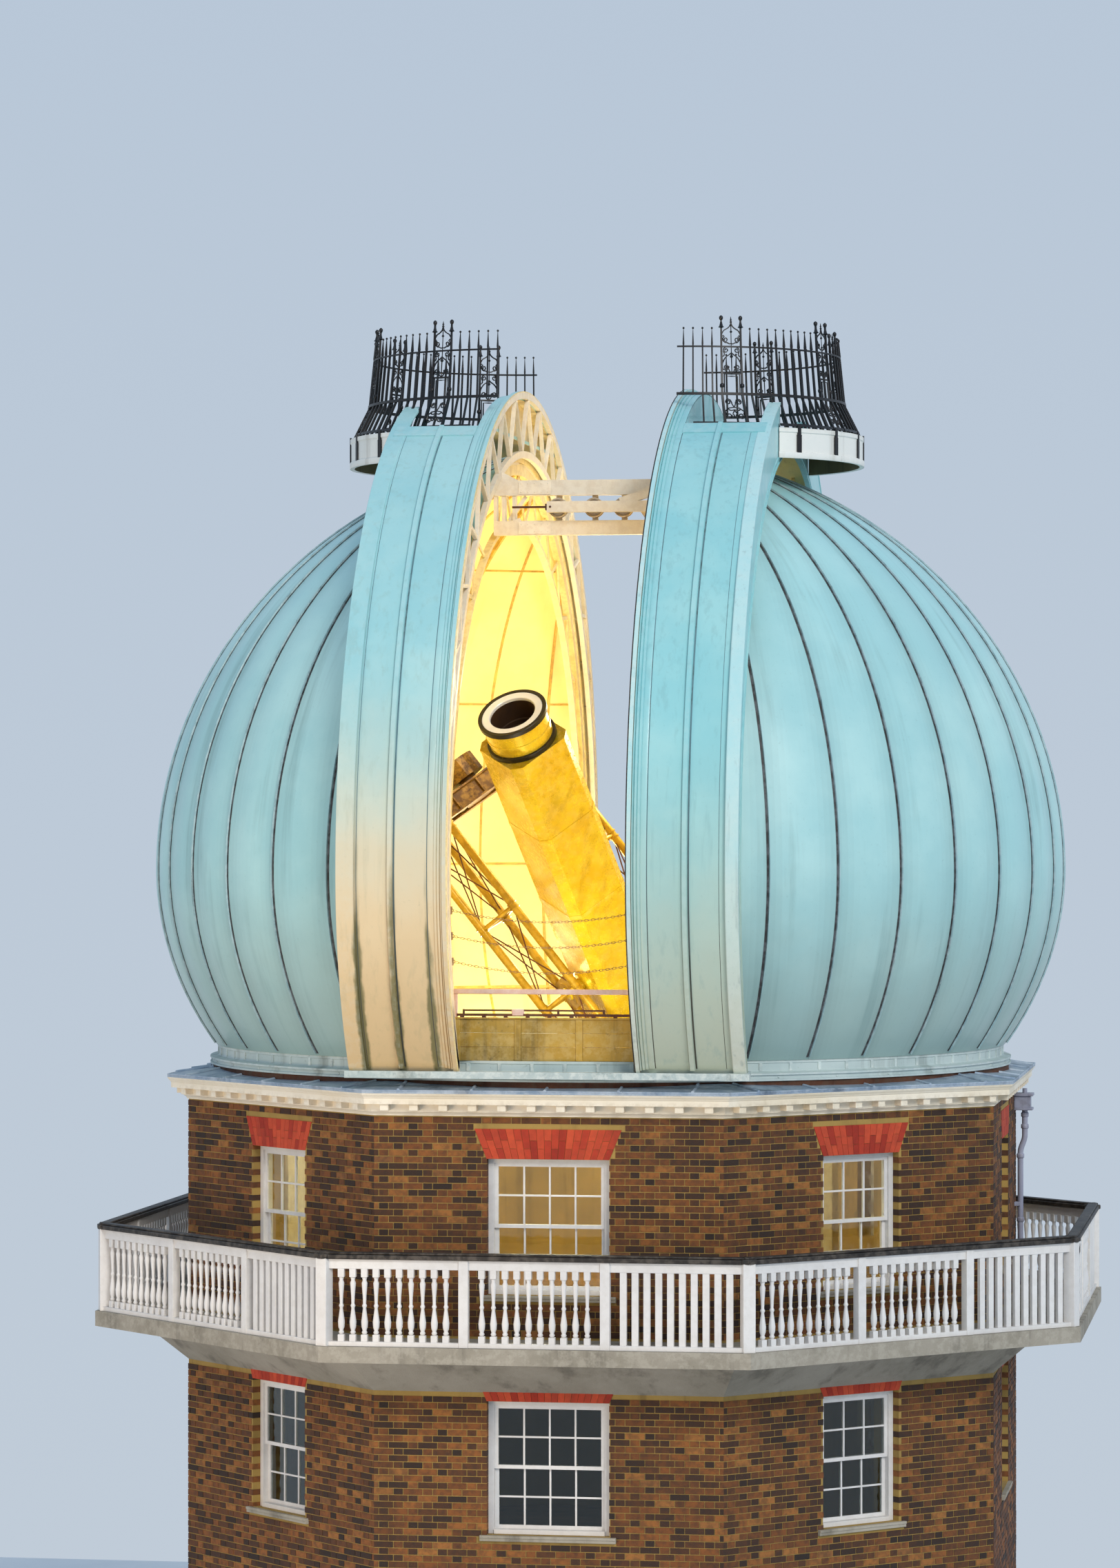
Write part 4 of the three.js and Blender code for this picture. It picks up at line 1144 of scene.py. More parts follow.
    # The yellow of the lining and the gold of its battens are cream paint tinted with painted warm glow of
    # the lamps inside.
    INSIDE = Paint("dome_lining_glow_paint", "f6e8a4", "f2dd8a", "c09a44", runs=0.3, run_scale=3.0,
                   round_runs=True, run_start=0.55, tones=0.04, worn=0.0, specks=0.08, patch_scale=0.7)
    INSIDE_SEAM_GLOW = Paint("lining_batten_glow_paint", "dcb858", "c9a044", "6e4e18", runs=0.4, worn=0.4,
                        under="7a4f18")
    STEEL = Paint("cream_steel_paint", "f2e8d6", "e8dac0", "a58560", rough=0.42, runs=0.18, run_start=0.6,
                  worn=0.15, under="b08a58", specks=0.15)
    ARCH_STEEL = Paint("yellow_steel_paint", "f0e0ac", "e6cd86", "9c7434", rough=0.42, runs=0.22,
                       run_start=0.58, worn=0.25, under="a87a3a", specks=0.15)
    RAIL = Paint("pink_rail_paint", "dcb8a8", "cfa692", "855a48", rough=0.38, runs=0.25, under="efe4da")
    BOARD = Paint("stained_board_paint", "bb9434", "8f7a36", "3a3218", runs=0.7, run_scale=3.4,
                  run_start=0.48, worn=0.4, specks=0.5, speck_scale=14.0, under="dcc890")
    RUSTY = Paint("rusted_iron", "6a3c22", "4c2a1a", "241410", rough=0.75, metallic=0.2, bump=0.5, specks=0.6)
    IRON = Paint("black_iron_paint", "0a0b0e", "141619", "221c1a", rough=0.42, metallic=0.1, runs=0.2,
                 worn=0.2, under="3a2a22", specks=0.2, bump=0.2, bump_depth=0.002)
    TUBE = Paint("golden_tube_paint", "e8cf2c", "d6b41e", "7d6410", rough=0.26, rough_spread=0.3,
                 metallic=0.25, coat=0.35, patch_scale=2.6, patches=0.85, runs=0.3, run_scale=5.0,
                 specks=0.35, speck_scale=22.0, worn=0.4, under="f7e080", bump=0.2, bump_depth=0.006)
    YOKE = Paint("ochre_yoke_paint", "bd9a28", "9a7a1c", "4a310c", rough=0.34, metallic=0.35, coat=0.2,
                 patch_scale=3.0, patches=0.8, runs=0.4, under="dcb84a", specks=0.35)
    YOKE_HEAD = Paint("brown_yoke_paint", "6e4c18", "523813", "2a1a08", rough=0.42, metallic=0.3,
                      patch_scale=3.0, patches=0.8, worn=0.6, under="b88f3a", specks=0.4)
    WHITE_RING = Paint("white_enamel", "eceff2", "dde1e6", "9a9c9f", rough=0.3, coat=0.4, runs=0.1,
                       worn=0.0, specks=0.1)
    BORE = Paint("brown_tube_lining", "33200f", "4a3017", "150c06", rough=0.6, runs=0.3, worn=0.0)
    TREAD = Boards("oiled_floor_boards", "9b7445", "6d4d2b")
    WINDOW = Glass("window_glass")
    FLOOR = Paint("pale_floor", "dfe3e6", "d9dde0", "cccfd2", rough=0.7, runs=0.0, worn=0.0, specks=0.05)


@dataclass(frozen=True)
class Storey:
    """A storey's windows."""

    name: str
    sill: float
    head: float
    wide: float = 1.12
    front_wide: float = 1.40

    def width(self, face: int) -> float:
        """Returns the window's width on a side."""
        return self.front_wide if face == 0 else self.wide


@dataclass
class Tower:
    """The octagonal brick tower with its windows, terrace, cornice and roof."""

    apothem: float = 4.800
    thick: float = 0.450
    course: float = 0.075
    joint: float = 0.010
    stretcher: float = 0.215
    header: float = 0.1025
    proud: float = 0.006
    arch_high: float = 0.340
    arch_splay: float = 0.14
    door_wide: float = 1.250
    door_high: float = 2.300
    storeys: tuple[Storey, ...] = (
        Storey("ground", 1.150, 2.650), Storey("first", 4.250, 5.750), Storey("upper", 6.950, 8.480),
    )
    rail_apothem: float = 5.740
    terrace_apothem: float = 5.840
    cornice_apothem: float = 5.040
    names: tuple[str, ...] = ("front", "front_right", "right", "back_right", "back", "back_left", "left",
                              "front_left")
    back: int = 4

    def windows(self, face: int) -> list[Storey]:
        """Lists the storeys that have a window on a side."""
        return [s for s in self.storeys if not (face == self.back and s.name == "ground")]

    def build(self) -> None:
        """Builds every part of the tower in order."""
        self.dress_solids()
        for face, name in enumerate(self.names):
            self.brickwork(face, name)
        self.arches_and_sills()
        for storey in self.storeys:
            self.sashes(storey)
        self.door()
        self.cornice()
        self.roof_rolls()
        self.balustrade()
        self.deck_edge()
        self.rainwater_pipe()

    def dress_solids(self) -> None:
        """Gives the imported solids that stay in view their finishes."""
        plan = {
            **{f"{name}_wall": Finishes.MORTAR for name in self.names},
            "base_slab": Finishes.STONE, "first_floor": Finishes.TREAD, "telescope_floor": Finishes.TREAD,
            "terrace_deck": Finishes.STONE, "lead_roof": Finishes.LEAD, "dome_track": Finishes.RUSTY,
            "north_pier": Finishes.PLASTER, "south_pier": Finishes.PLASTER,
            "upper_bearing_frame": Finishes.YOKE_HEAD,
        }
        for node, finish in plan.items():
            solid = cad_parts[node]
            for slot in solid.material_slots:
                slot.material = finish.material()

    def solid_runs(self, face: int, low: float, high: float) -> list[tuple[float, float, bool, bool]]:
        """Finds where a course has bricks.

        Args:
            face: Side number.
            low: Bottom of the course.
            high: Top of the course.

        Returns:
            Runs as start, end and whether each end stands at an opening.
        """
        half = self.apothem * SIDE_SLOPE
        gaps = []
        for storey in self.windows(face):
            hole = storey.width(face) / 2
            if high > storey.sill and low < storey.head:
                gaps.append((hole, True))
            elif high > storey.sill - self.course and low < storey.sill:
                gaps.append((hole + 0.08, False))
            elif low < storey.head + self.arch_high and high > storey.head:
                share = min(max(((low + high) / 2 - storey.head) / self.arch_high, 0.0), 1.0)
                gaps.append((hole + 0.012 + self.arch_splay * share, False))
        if face == self.back and low < LEVELS.plinth + self.door_high:
            gaps.append((self.door_wide / 2, True))
        if not gaps:
            return [(-half, half, False, False)]
        reach, is_reveal = max(gaps)
        return [(-half, -reach, False, is_reveal), (reach, half, is_reveal, False)]

    def brickwork(self, face: int, name: str) -> None:
        """Lays the bricks of one side in alternating headers and stretchers.

        Args:
            face: Side number.
            name: Name of the side.
        """
        chance = np.random.default_rng(100 + face)
        half = self.apothem * SIDE_SLOPE
        rows = int((LEVELS.wall_top - LEVELS.plinth) / self.course)
        pitch = self.stretcher + self.header + 2 * self.joint
        bricks, tones = [], []
        for row in range(rows):
            low = LEVELS.plinth + HAIR + row * self.course
            high = low + self.course - self.joint
            if high > LEVELS.deck - 0.6 and low < LEVELS.deck:
                continue
            for start, end, reveal_left, reveal_right in self.solid_runs(face, low, high):
                at = -half - (row % 2) * pitch / 2 - pitch
                is_header = False
                while at < end:
                    long = self.header if is_header else self.stretcher
                    left, right = max(at, start), min(at + long, end)
                    at += long + self.joint
                    if right - left >= 0.03:
                        bricks.append((left, right, low, high, left == start and reveal_left,
                                       right == end and reveal_right))
                        tones.append(chance.beta(1.7, 2.2) * (0.72 if is_header else 1.0))
                    is_header = not is_header
        corners = np.array([self.brick(half, *brick, chance.uniform(-0.0015, 0.002)) for brick in bricks])
        sketch = Sketch(side_place(face))
        sketch.blocks(corners, 0, np.array(tones))
        sketch.piece(f"{name}_brickwork", Body.TOWER, "brick", [Finishes.BRICK], outward=False)

    def brick(self, half: float, left: float, right: float, low: float, high: float,
              reveal_left: bool, reveal_right: bool, jitter: float) -> np.ndarray:
        """Finds the corners of one brick.

        Args:
            half: Half of the side's length.
            left: Start of the brick along the side.
            right: End of the brick.
            low: Its bottom.
            high: Its top.
            reveal_left: Whether its start turns into an opening.
            reveal_right: Whether its end does.
            jitter: How far its face stands out of line.

        Returns:
            Eight corners in the order of BOX_CORNERS.
        """
        outer = self.apothem + self.proud + jitter
        inner = self.apothem - (0.10 if reveal_left or reveal_right else 0.004)
        left -= 0.004 if reveal_left else 0.0
        right += 0.004 if reveal_right else 0.0
        spans = []
        for depth in (outer, inner):
            stretch = depth * SIDE_SLOPE
            spans.append((-stretch if left <= -half + 1e-6 else left,
                          stretch if right >= half - 1e-6 else right))
        return np.array([
            [spans[j][i], -(outer, inner)[j], (low, high)[k]] for k in (0, 1) for j in (0, 1) for i in (0, 1)
        ])

    def arches_and_sills(self) -> None:
        """Sets the red flat arches and the stone sills of all windows."""
        chance = np.random.default_rng(7)
        arches, sills = Sketch(), Sketch()
        for face in range(OCTAGON):
            arches.place = sills.place = side_place(face)
            for storey in self.windows(face):
                half = storey.width(face) / 2
                count = 2 * round(half / 0.076) + 1
                for k in range(count):
                    edges = np.array([k, k + 1]) / count * 2 - 1
                    cuts = (0.0, 0.62, 1.0) if k % 2 else (0.0, 0.35, 1.0)
                    for low, high in zip(cuts, cuts[1:]):
                        outer, inner = self.apothem + 0.008, self.apothem - 0.11
                        corners = []
                        for share in (low, high):
                            reach = half + self.arch_splay * share
                            level = storey.head + self.arch_high * share
                            level += 0.002 if share == low else -0.002
                            for depth in (outer, inner):
                                corners += [[edges[0] * reach + 0.002, -depth, level],
                                            [edges[1] * reach - 0.002, -depth, level]]
                        arches.blocks(np.array(corners), 0, chance.uniform(0, 1))
                wide = half + 0.075
                sills.box((-wide, -self.apothem - 0.045, storey.sill - 0.07),
                          (wide, -self.apothem + 0.14, storey.sill - 0.004))
                sills.box((-wide, -self.apothem - 0.055, storey.sill - 0.035),
                          (wide, -self.apothem - 0.045, storey.sill - 0.004))
        arches.piece("window_arches", Body.TOWER, "brick", [Finishes.ARCH_BRICK])
        soften(sills.piece("window_sills", Body.TOWER, "stone", [Finishes.STONE]), 0.006)

    def sashes(self, storey: Storey) -> None:
        """Hangs the sash windows of a storey with their panes.

        Args:
            storey: Storey to glaze.
        """
        wood, panes = Sketch(), Sketch()
        for face in range(OCTAGON):
            if storey not in self.windows(face):
                continue
            wood.place = panes.place = side_place(face)
            half = storey.width(face) / 2 - 0.004
            front = -self.apothem + 0.10
            low, high = storey.sill, storey.head
            casing, deep = 0.065, 0.13
            wood.box((-half, front, low), (-half + casing, front + deep, high))
            wood.box((half - casing, front, low), (half, front + deep, high))
            wood.box((-half + casing, front, high - 0.05), (half - casing, front + deep, high))
            wood.box((-half + casing, front - 0.02, low), (half - casing, front + deep, low + 0.05))
            middle = (low + high) / 2
            for bottom, top, set_back in ((middle - 0.02, high - 0.05, 0.025),
                                          (low + 0.05, middle + 0.02, 0.068)):
                self.one_sash(wood, panes, half - casing, bottom, top, front + set_back)
        wood.piece(f"{storey.name}_sashes", Body.TOWER, "cream_paint", [Finishes.SASH])
        panes.piece(f"{storey.name}_panes", Body.TOWER, "glass", [Finishes.WINDOW],
                    replaces=[f"{storey.name}_glazing"])

    def one_sash(self, wood: Sketch, panes: Sketch, half: float, low: float, high: float,
                 front: float) -> None:
        """Adds one sash of three by two panes.

        Args:
            wood: Sketch of the joinery.
            panes: Sketch of the glass.
            half: Half of its width.
            low: Its bottom.
            high: Its top.
            front: Its outer face.
        """
        stile, rail, bar, thick = 0.045, 0.042, 0.020, 0.038
        for x in (-half, half - stile):
            wood.box((x, front, low), (x + stile, front + thick, high))
        for z in (low, high - rail):
            wood.box((-half + stile, front, z), (half - stile, front + thick, z + rail))
        columns = 4 if half > 0.6 else 3
        for k in range(1, columns):
            x = -half + stile + (2 * half - 2 * stile) * k / columns
            wood.box((x - bar / 2, front + 0.004, low + rail),
                     (x + bar / 2, front + thick - 0.004, high - rail))
        z = (low + high) / 2
        wood.box((-half + stile, front + 0.006, z - bar / 2),
                 (half - stile, front + thick - 0.006, z + bar / 2))
        middle = front + thick / 2
        panes.box((-half + stile, middle - 0.002, low + rail), (half - stile, middle + 0.002, high - rail))

    def door(self) -> None:
        """Hangs the panelled door of the ground storey in its frame."""
        place = side_place(self.back)
        leaf, casing = Sketch(place), Sketch(place)
        half, low = self.door_wide / 2 - HAIR, LEVELS.plinth + HAIR
        high = LEVELS.plinth + self.door_high - HAIR
        front = -self.apothem + self.thick / 2 - 0.06
        frame_wide = 0.07
        for x in (-half, half - frame_wide):
            casing.box((x, front - 0.05, low), (x + frame_wide, front + 0.06, high))
        casing.box((-half + frame_wide, front - 0.05, high - 0.07), (half - frame_wide, front + 0.06, high))
        inner, top = half - frame_wide - 0.003, high - 0.073
        leaf.box((-inner, front + 0.014, low + 0.005), (inner, front + 0.046, top))
        lines = (-inner, -inner + 0.11, -0.055, 0.055, inner - 0.11, inner)
        rails = (low + 0.005, low + 0.21, low + 0.80, low + 0.98, low + 1.62, low + 1.75, top - 0.12, top)
        for a, b in ((0, 1), (2, 3), (4, 5)):
            leaf.box((lines[a], front, rails[0]), (lines[b], front + 0.06, rails[-1]))
        for a, b in ((0, 1), (2, 3), (4, 5), (6, 7)):
            for c, d in ((1, 2), (3, 4)):
                leaf.box((lines[c], front, rails[a]), (lines[d], front + 0.06, rails[b]))
        for a, b in ((1, 2), (3, 4), (5, 6)):
            for c, d in ((1, 2), (3, 4)):
                leaf.box((lines[c] + 0.035, front + 0.004, rails[a] + 0.035),
                         (lines[d] - 0.035, front + 0.02, rails[b] - 0.035))
        knob = [(0.0, 0.0), (0.035, 0.0), (0.035, 0.006), (0.012, 0.01), (0.012, 0.035), (0.03, 0.045),
                (0.034, 0.06), (0.022, 0.075), (0.0, 0.078)]
        brass = Sketch(place @ placed((0.34, front, low + 0.89), math.pi / 2))
        brass.turned(knob, 16, closed=False)
        soften(leaf.piece("panelled_door", Body.TOWER, "door_paint", [Finishes.DOOR],
                          replaces=["ground_door"]), 0.004)
        casing.piece("door_frame", Body.TOWER, "cream_paint", [Finishes.SASH])
        brass.piece("door_knob", Body.TOWER, "gold_paint", [Finishes.TUBE])

    def cornice(self) -> None:
        """Runs the moulded cornice round the tower with its brackets."""
        sketch = Sketch()
        inner = self.apothem - self.thick
        bed = LEVELS.wall_top + HAIR
        profile = [(inner, bed), (self.apothem + 0.018, bed), (self.apothem + 0.020, bed + 0.012)]
        profile += [(self.apothem + 0.024 + 0.03 * k / 4, bed + 0.014 + 0.026 * math.sin(k / 4 * math.pi / 2))
                    for k in range(5)]
        profile += [(self.apothem + 0.058, 9.004), (self.apothem + 0.058, 9.104),
                    (self.apothem + 0.186, 9.106), (self.apothem + 0.190, 9.098),
                    (self.apothem + 0.198, 9.098), (self.apothem + 0.198, 9.160),
                    (self.apothem + 0.204, 9.166)]
        profile += [(self.apothem + 0.207 + 0.030 * (1 - math.cos(k / 5 * math.pi)) / 2,
                     9.168 + 0.044 * k / 5)
                    for k in range(6)]
        profile += [(self.cornice_apothem, 9.214), (self.cornice_apothem, LEVELS.cornice_top),
                    (inner, LEVELS.cornice_top)]
        sketch.octagon(profile)
        brackets = Sketch()
        for face in range(OCTAGON):
            brackets.place = side_place(face)
            half = (self.apothem + 0.058) * SIDE_SLOPE
            pitch = 2 * half / 12
            for k in range(12):
                x = -half + pitch * (k + 0.5)
                for wide, out, low, high in ((0.050, 0.170, 9.022, 9.104), (0.058, 0.178, 9.086, 9.1045)):
                    brackets.box((x - wide, -self.apothem - out, low), (x + wide, -self.apothem - 0.05, high))
        sketch.piece("moulded_cornice", Body.TOWER, "cream_paint", [Finishes.CREAM],
                     replaces=["main_cornice"], smooth=28.0)
        soften(brackets.piece("cornice_brackets", Body.TOWER, "cream_paint", [Finishes.CREAM]), 0.005)

    def roof_rolls(self) -> None:
        """Lays the rolls and the welted edge of the lead roof."""
        sketch = Sketch()
        top = LEVELS.cornice_top + HAIR
        for face in range(OCTAGON):
            sketch.place = side_place(face)
            for share in (-0.8, -0.4, 0.0, 0.4, 0.8):
                x = share * self.cornice_apothem * SIDE_SLOPE
                near = math.sqrt(4.862 ** 2 - x ** 2) if abs(x) < 4.8 else self.cornice_apothem
                near = max(near, 4.50)
                rise = [(y, top + 0.035 + 0.075 * (self.cornice_apothem - y) / 0.54) for y in
                        np.linspace(self.cornice_apothem - 0.004, near, 4)]
                sketch.tube(np.array([[x, -y, z + 0.004] for y, z in rise]), 0.019, 8)
            half = (self.cornice_apothem - 0.004) * SIDE_SLOPE
            y = -self.cornice_apothem + 0.004
            sketch.tube(np.array([[-half, y, top + 0.034], [half, y, top + 0.034]]), 0.009, 6)
        sketch.piece("roof_rolls", Body.TOWER, "lead", [Finishes.LEAD], smooth=60)

    def balustrade(self) -> None:
        """Builds the timber balustrade of the terrace."""
        wood, cap = Sketch(), Sketch()
        deck = LEVELS.deck + HAIR
        frieze, top = LEVELS.deck + 0.86, LEVELS.deck + 0.97
        half = self.rail_apothem * SIDE_SLOPE
        y = -self.rail_apothem
        for face in range(OCTAGON):
            wood.place = cap.place = side_place(face)
            self.mitred(wood, 0.045, deck, deck + 0.055)
            self.mitred(wood, 0.030, frieze, top)
            self.mitred(wood, 0.042, top - 0.022, top)
            self.mitred(cap, 0.078, top, top + 0.052)
            self.mitred(cap, 0.060, top + 0.052, top + 0.078)
            bays = np.linspace(-half, half, 4)
            for x in bays[1:-1]:
                wood.box((x - 0.055, y - 0.05, deck), (x + 0.055, y + 0.05, top))
            for bay, (start, end) in enumerate(zip(bays, bays[1:])):
                inner = np.linspace(start + 0.07, end - 0.07, 12)[1:-1]
                if face == 2 and bay == 0:
                    self.boarded_bay(wood, start + 0.06, end - 0.05, y, deck, frieze)
                elif bay == 2:
                    for x in inner:
                        wood.box((x - 0.038, y - 0.026, deck + 0.05), (x + 0.038, y + 0.026, frieze + 0.005))
                else:
                    for x in inner:
                        self.baluster(wood, x, y, deck + 0.05, frieze + 0.005)
        radius = self.rail_apothem / math.cos(SIDE_TURN / 2)
        for k in range(OCTAGON):
            turn = about_z((k + 0.5) * SIDE_TURN)
            wood.place = cap.place = turn
            wood.box((-0.07, -radius - 0.06, deck), (0.07, -radius + 0.08, top + 0.01))
            cap.box((-0.086, -radius - 0.074, top + 0.008), (0.086, -radius + 0.098, top + 0.060))
            cap.box((-0.060, -radius - 0.050, top + 0.060), (0.060, -radius + 0.070, top + 0.082))
        soften(wood.piece("balustrade_woodwork", Body.TOWER, "cream_paint", [Finishes.SASH],
                          replaces=["terrace_balustrade"]), 0.004, 1)
        soften(cap.piece("balustrade_capping", Body.TOWER, "lead", [Finishes.DARK_LEAD]), 0.010)

    def mitred(self, sketch: Sketch, reach: float, low: float, high: float) -> None:
        """Adds one side of a rail whose ends meet the next sides.

        Args:
            sketch: Sketch to add to, already placed.
            reach: Half of the rail's width.
            low: Its bottom.
            high: Its top.
        """
        corners = [
            [sign * depth * SIDE_SLOPE, -depth, level]
            for level in (low, high)
            for depth in (self.rail_apothem + reach, self.rail_apothem - reach)
            for sign in (-1, 1)
        ]
        sketch.blocks(np.array(corners))

    def baluster(self, sketch: Sketch, x: float, y: float, low: float, high: float) -> None:
        """Adds one turned baluster between two square blocks.

        Args:
            sketch: Sketch to add to.
            x: Place along the side.
            y: Place across it.
            low: Its bottom.
            high: Its top.
        """
        tall = high - low
        half = 0.036
        sketch.box((x - half, y - half, low), (x + half, y + half, low + 0.10 * tall))
        sketch.box((x - half, y - half, high - 0.12 * tall), (x + half, y + half, high))
        shape = ((0.10, 0.022), (0.13, 0.034), (0.15, 0.022), (0.20, 0.036), (0.27, 0.040), (0.36, 0.030),
                 (0.46, 0.019), (0.49, 0.030), (0.52, 0.019), (0.62, 0.022), (0.74, 0.030), (0.80, 0.034),
                 (0.84, 0.022), (0.88, 0.030))
        with sketch.moved(placed((x, y, low))):
            sketch.turned([(r, share * tall) for share, r in shape], 8, closed=False)

    def boarded_bay(self, sketch: Sketch, start: float, end: float, y: float, low: float,
                    high: float) -> None:
        """Adds a bay closed with slanting boards beside an upright one.

        Args:
            sketch: Sketch to add to.
            start: Start of the bay.
            end: End of the bay.
            y: Place across the side.
            low: Bottom of the boards.
            high: Top of the boards.
        """
        sketch.box((start, y - 0.008, low), (end, y + 0.02, high))
        upright = end - 0.26
        sketch.box((upright, y - 0.032, low), (end, y - 0.008, high))
        rise, pitch = 0.30, 0.155
        level = low - rise
        while level < high:
            ends = [(start, level), (upright - 0.01, level + rise)]
            clipped = [(x, min(max(z, low), high - pitch + 0.03)) for x, z in ends]
            if clipped[1][1] - clipped[0][1] > 0.02:
                corners = [[x, yy, z + up] for up in (0.012, pitch - 0.03) for yy in (y - 0.026, y - 0.008)
                           for x, z in clipped]
                sketch.blocks(np.array(corners))
            level += pitch

    def deck_edge(self) -> None:
        """Adds the coping stones along the edge of the terrace."""
        sketch = Sketch()
        low, high = LEVELS.deck - 0.178, LEVELS.deck - 0.002
        outer = self.terrace_apothem - 0.0005
        for face in range(OCTAGON):
            sketch.place = side_place(face)
            half = outer * SIDE_SLOPE
            lines = np.linspace(-half, half, 6)
            for k, (start, end) in enumerate(zip(lines, lines[1:])):
                left = start if k == 0 else start + 0.003
                right = end if k == 4 else end - 0.003
                stretch = (outer - 0.012) / outer
                corners = []
                for level in (low, high):
                    for depth, scale in ((outer + 0.0004, 1.0), (outer - 0.012, stretch)):
                        corners += [[left * (scale if k == 0 else 1), -depth, level],
                                    [right * (scale if k == 4 else 1), -depth, level]]
                sketch.blocks(np.array(corners), 0, 0.3 + 0.1 * ((k * 3 + face) % 5))
        sketch.piece("terrace_coping", Body.TOWER, "stone", [Finishes.STONE])

    def rainwater_pipe(self) -> None:
        """Fixes the rainwater head and its pipe with sockets, clips and a shoe."""
        sketch = Sketch()
        y, wall = 1.780, self.apothem + HAIR
        far = self.apothem + 0.130
        near = self.apothem + 0.075
        head_low, head_top = 8.690, 8.900
        for low, high, reach, wide in ((head_low + 0.02, head_top - 0.02, 0.205, 0.100),
                                       (head_top - 0.035, head_top, 0.239, 0.128),
                                       (head_low, head_low + 0.030, 0.232, 0.122)):
            sketch.box((wall, y - wide, low), (self.apothem + reach, y + wide, high))
        sketch.tube(np.array([[far, y, head_top - 0.01], [far, y, 8.958]]), 0.030, 12)
        bend = np.linspace(0, math.pi, 9)
        line = [[far, y, head_low + 0.01], [far, y, 8.40]]
        line += [[far + (near - far) * (1 - math.cos(a)) / 2, y, 8.38 - 0.22 * a / math.pi] for a in bend]
        line += [[near, y, 8.10], [near, y, 6.62], [near + 0.02, y, 6.55], [near + 0.075, y, 6.50]]
        sketch.tube(np.array(line), 0.036, 12)
        for x, level in ((far, 8.60), (far, 8.455), (near, 8.09), (near, 7.30)):
            sketch.tube(np.array([[x, y, level], [x, y, level + 0.012], [x, y, level + 0.05],
                                  [x, y, level + 0.062]]), np.array([0.040, 0.048, 0.048, 0.040]), 12)
        for level in (7.50, 6.95):
            sketch.box((wall, y - 0.075, level), (wall + 0.012, y + 0.075, level + 0.05))
            sketch.box((wall, y - 0.046, level), (near, y + 0.046, level + 0.05))
        soften(sketch.piece("rainwater_head_and_pipe", Body.TOWER, "steel_paint", [Finishes.PIPE],
                            replaces=["rainwater_pipe"]), 0.006)


def mirrored(side: Side) -> np.ndarray:
    """Returns the 4x4 matrix that takes the right-hand side to a side."""
    return np.diag([float(side.value), 1.0, 1.0, 1.0])


def placed(at: Sequence[float], turn: float = 0.0, axis: str = "X") -> np.ndarray:
    """Places a small part.

    Args:
        at: Where its origin goes.
        turn: Turn before that, in radians.
        axis: Axis of the turn.

    Returns:
        The 4x4 matrix.
    """
    return np.array(Matrix.Translation(tuple(at)) @ Matrix.Rotation(turn, 4, axis))


@dataclass(frozen=True)
class LatticeHoop:
    """An arch of two plated chords with a zigzag of flat bars between them."""

    rim: Oval
    inner: Oval
    foot: float
    panels: int
    near: float
    far: float
    chord: float = 0.075
    bar: float = 0.050
    deep: float = 0.020

    def draw(self, sketch: Sketch, passage: tuple[float, float] | None = None) -> None:
        """Draws the arch into a sketch.

        Args:
            sketch: Sketch to add to, already placed.
            passage: Y and Z of a way through the arch that its bars keep clear of.
        """
        steps, middle = 4 * self.panels, (self.near + self.far) / 2
        for oval, sign in ((self.rim, -1), (self.inner, 1)):
            outs = sorted((0.0, sign * self.chord))
            sketch.hoop(oval, oval.span(self.foot, steps), oblong(self.near, self.far, *outs))
        outer, inner = self.rim.grown(-self.chord * 0.6), self.inner.grown(self.chord * 0.6)
        ends = [oval.point(oval.span(self.foot, 2 * self.panels)) for oval in (outer, inner)]
        rivets = []
        for k in range(2 * self.panels):
            first, second = ends[k % 2][k], ends[(k + 1) % 2][k + 1]
            if passage is not None:
                along = first + np.linspace(0, 1, 21)[:, None] * (second - first)
                if (np.abs(along - passage) < (0.14, 0.16)).all(axis=1).any():
                    continue
            sketch.bar((middle, *first), (middle, *second), self.bar, self.deep, (1, 0, 0), tone=(k % 3) / 2)
            ahead = (second - first) / np.linalg.norm(second - first)
            rivets += [(middle - self.deep / 2, *(end + sign * 0.06 * ahead))
                       for end, sign in ((first, 1), (second, -1))]
        sketch.studs(np.array(rivets), (-1, 0, 0), 0.010)


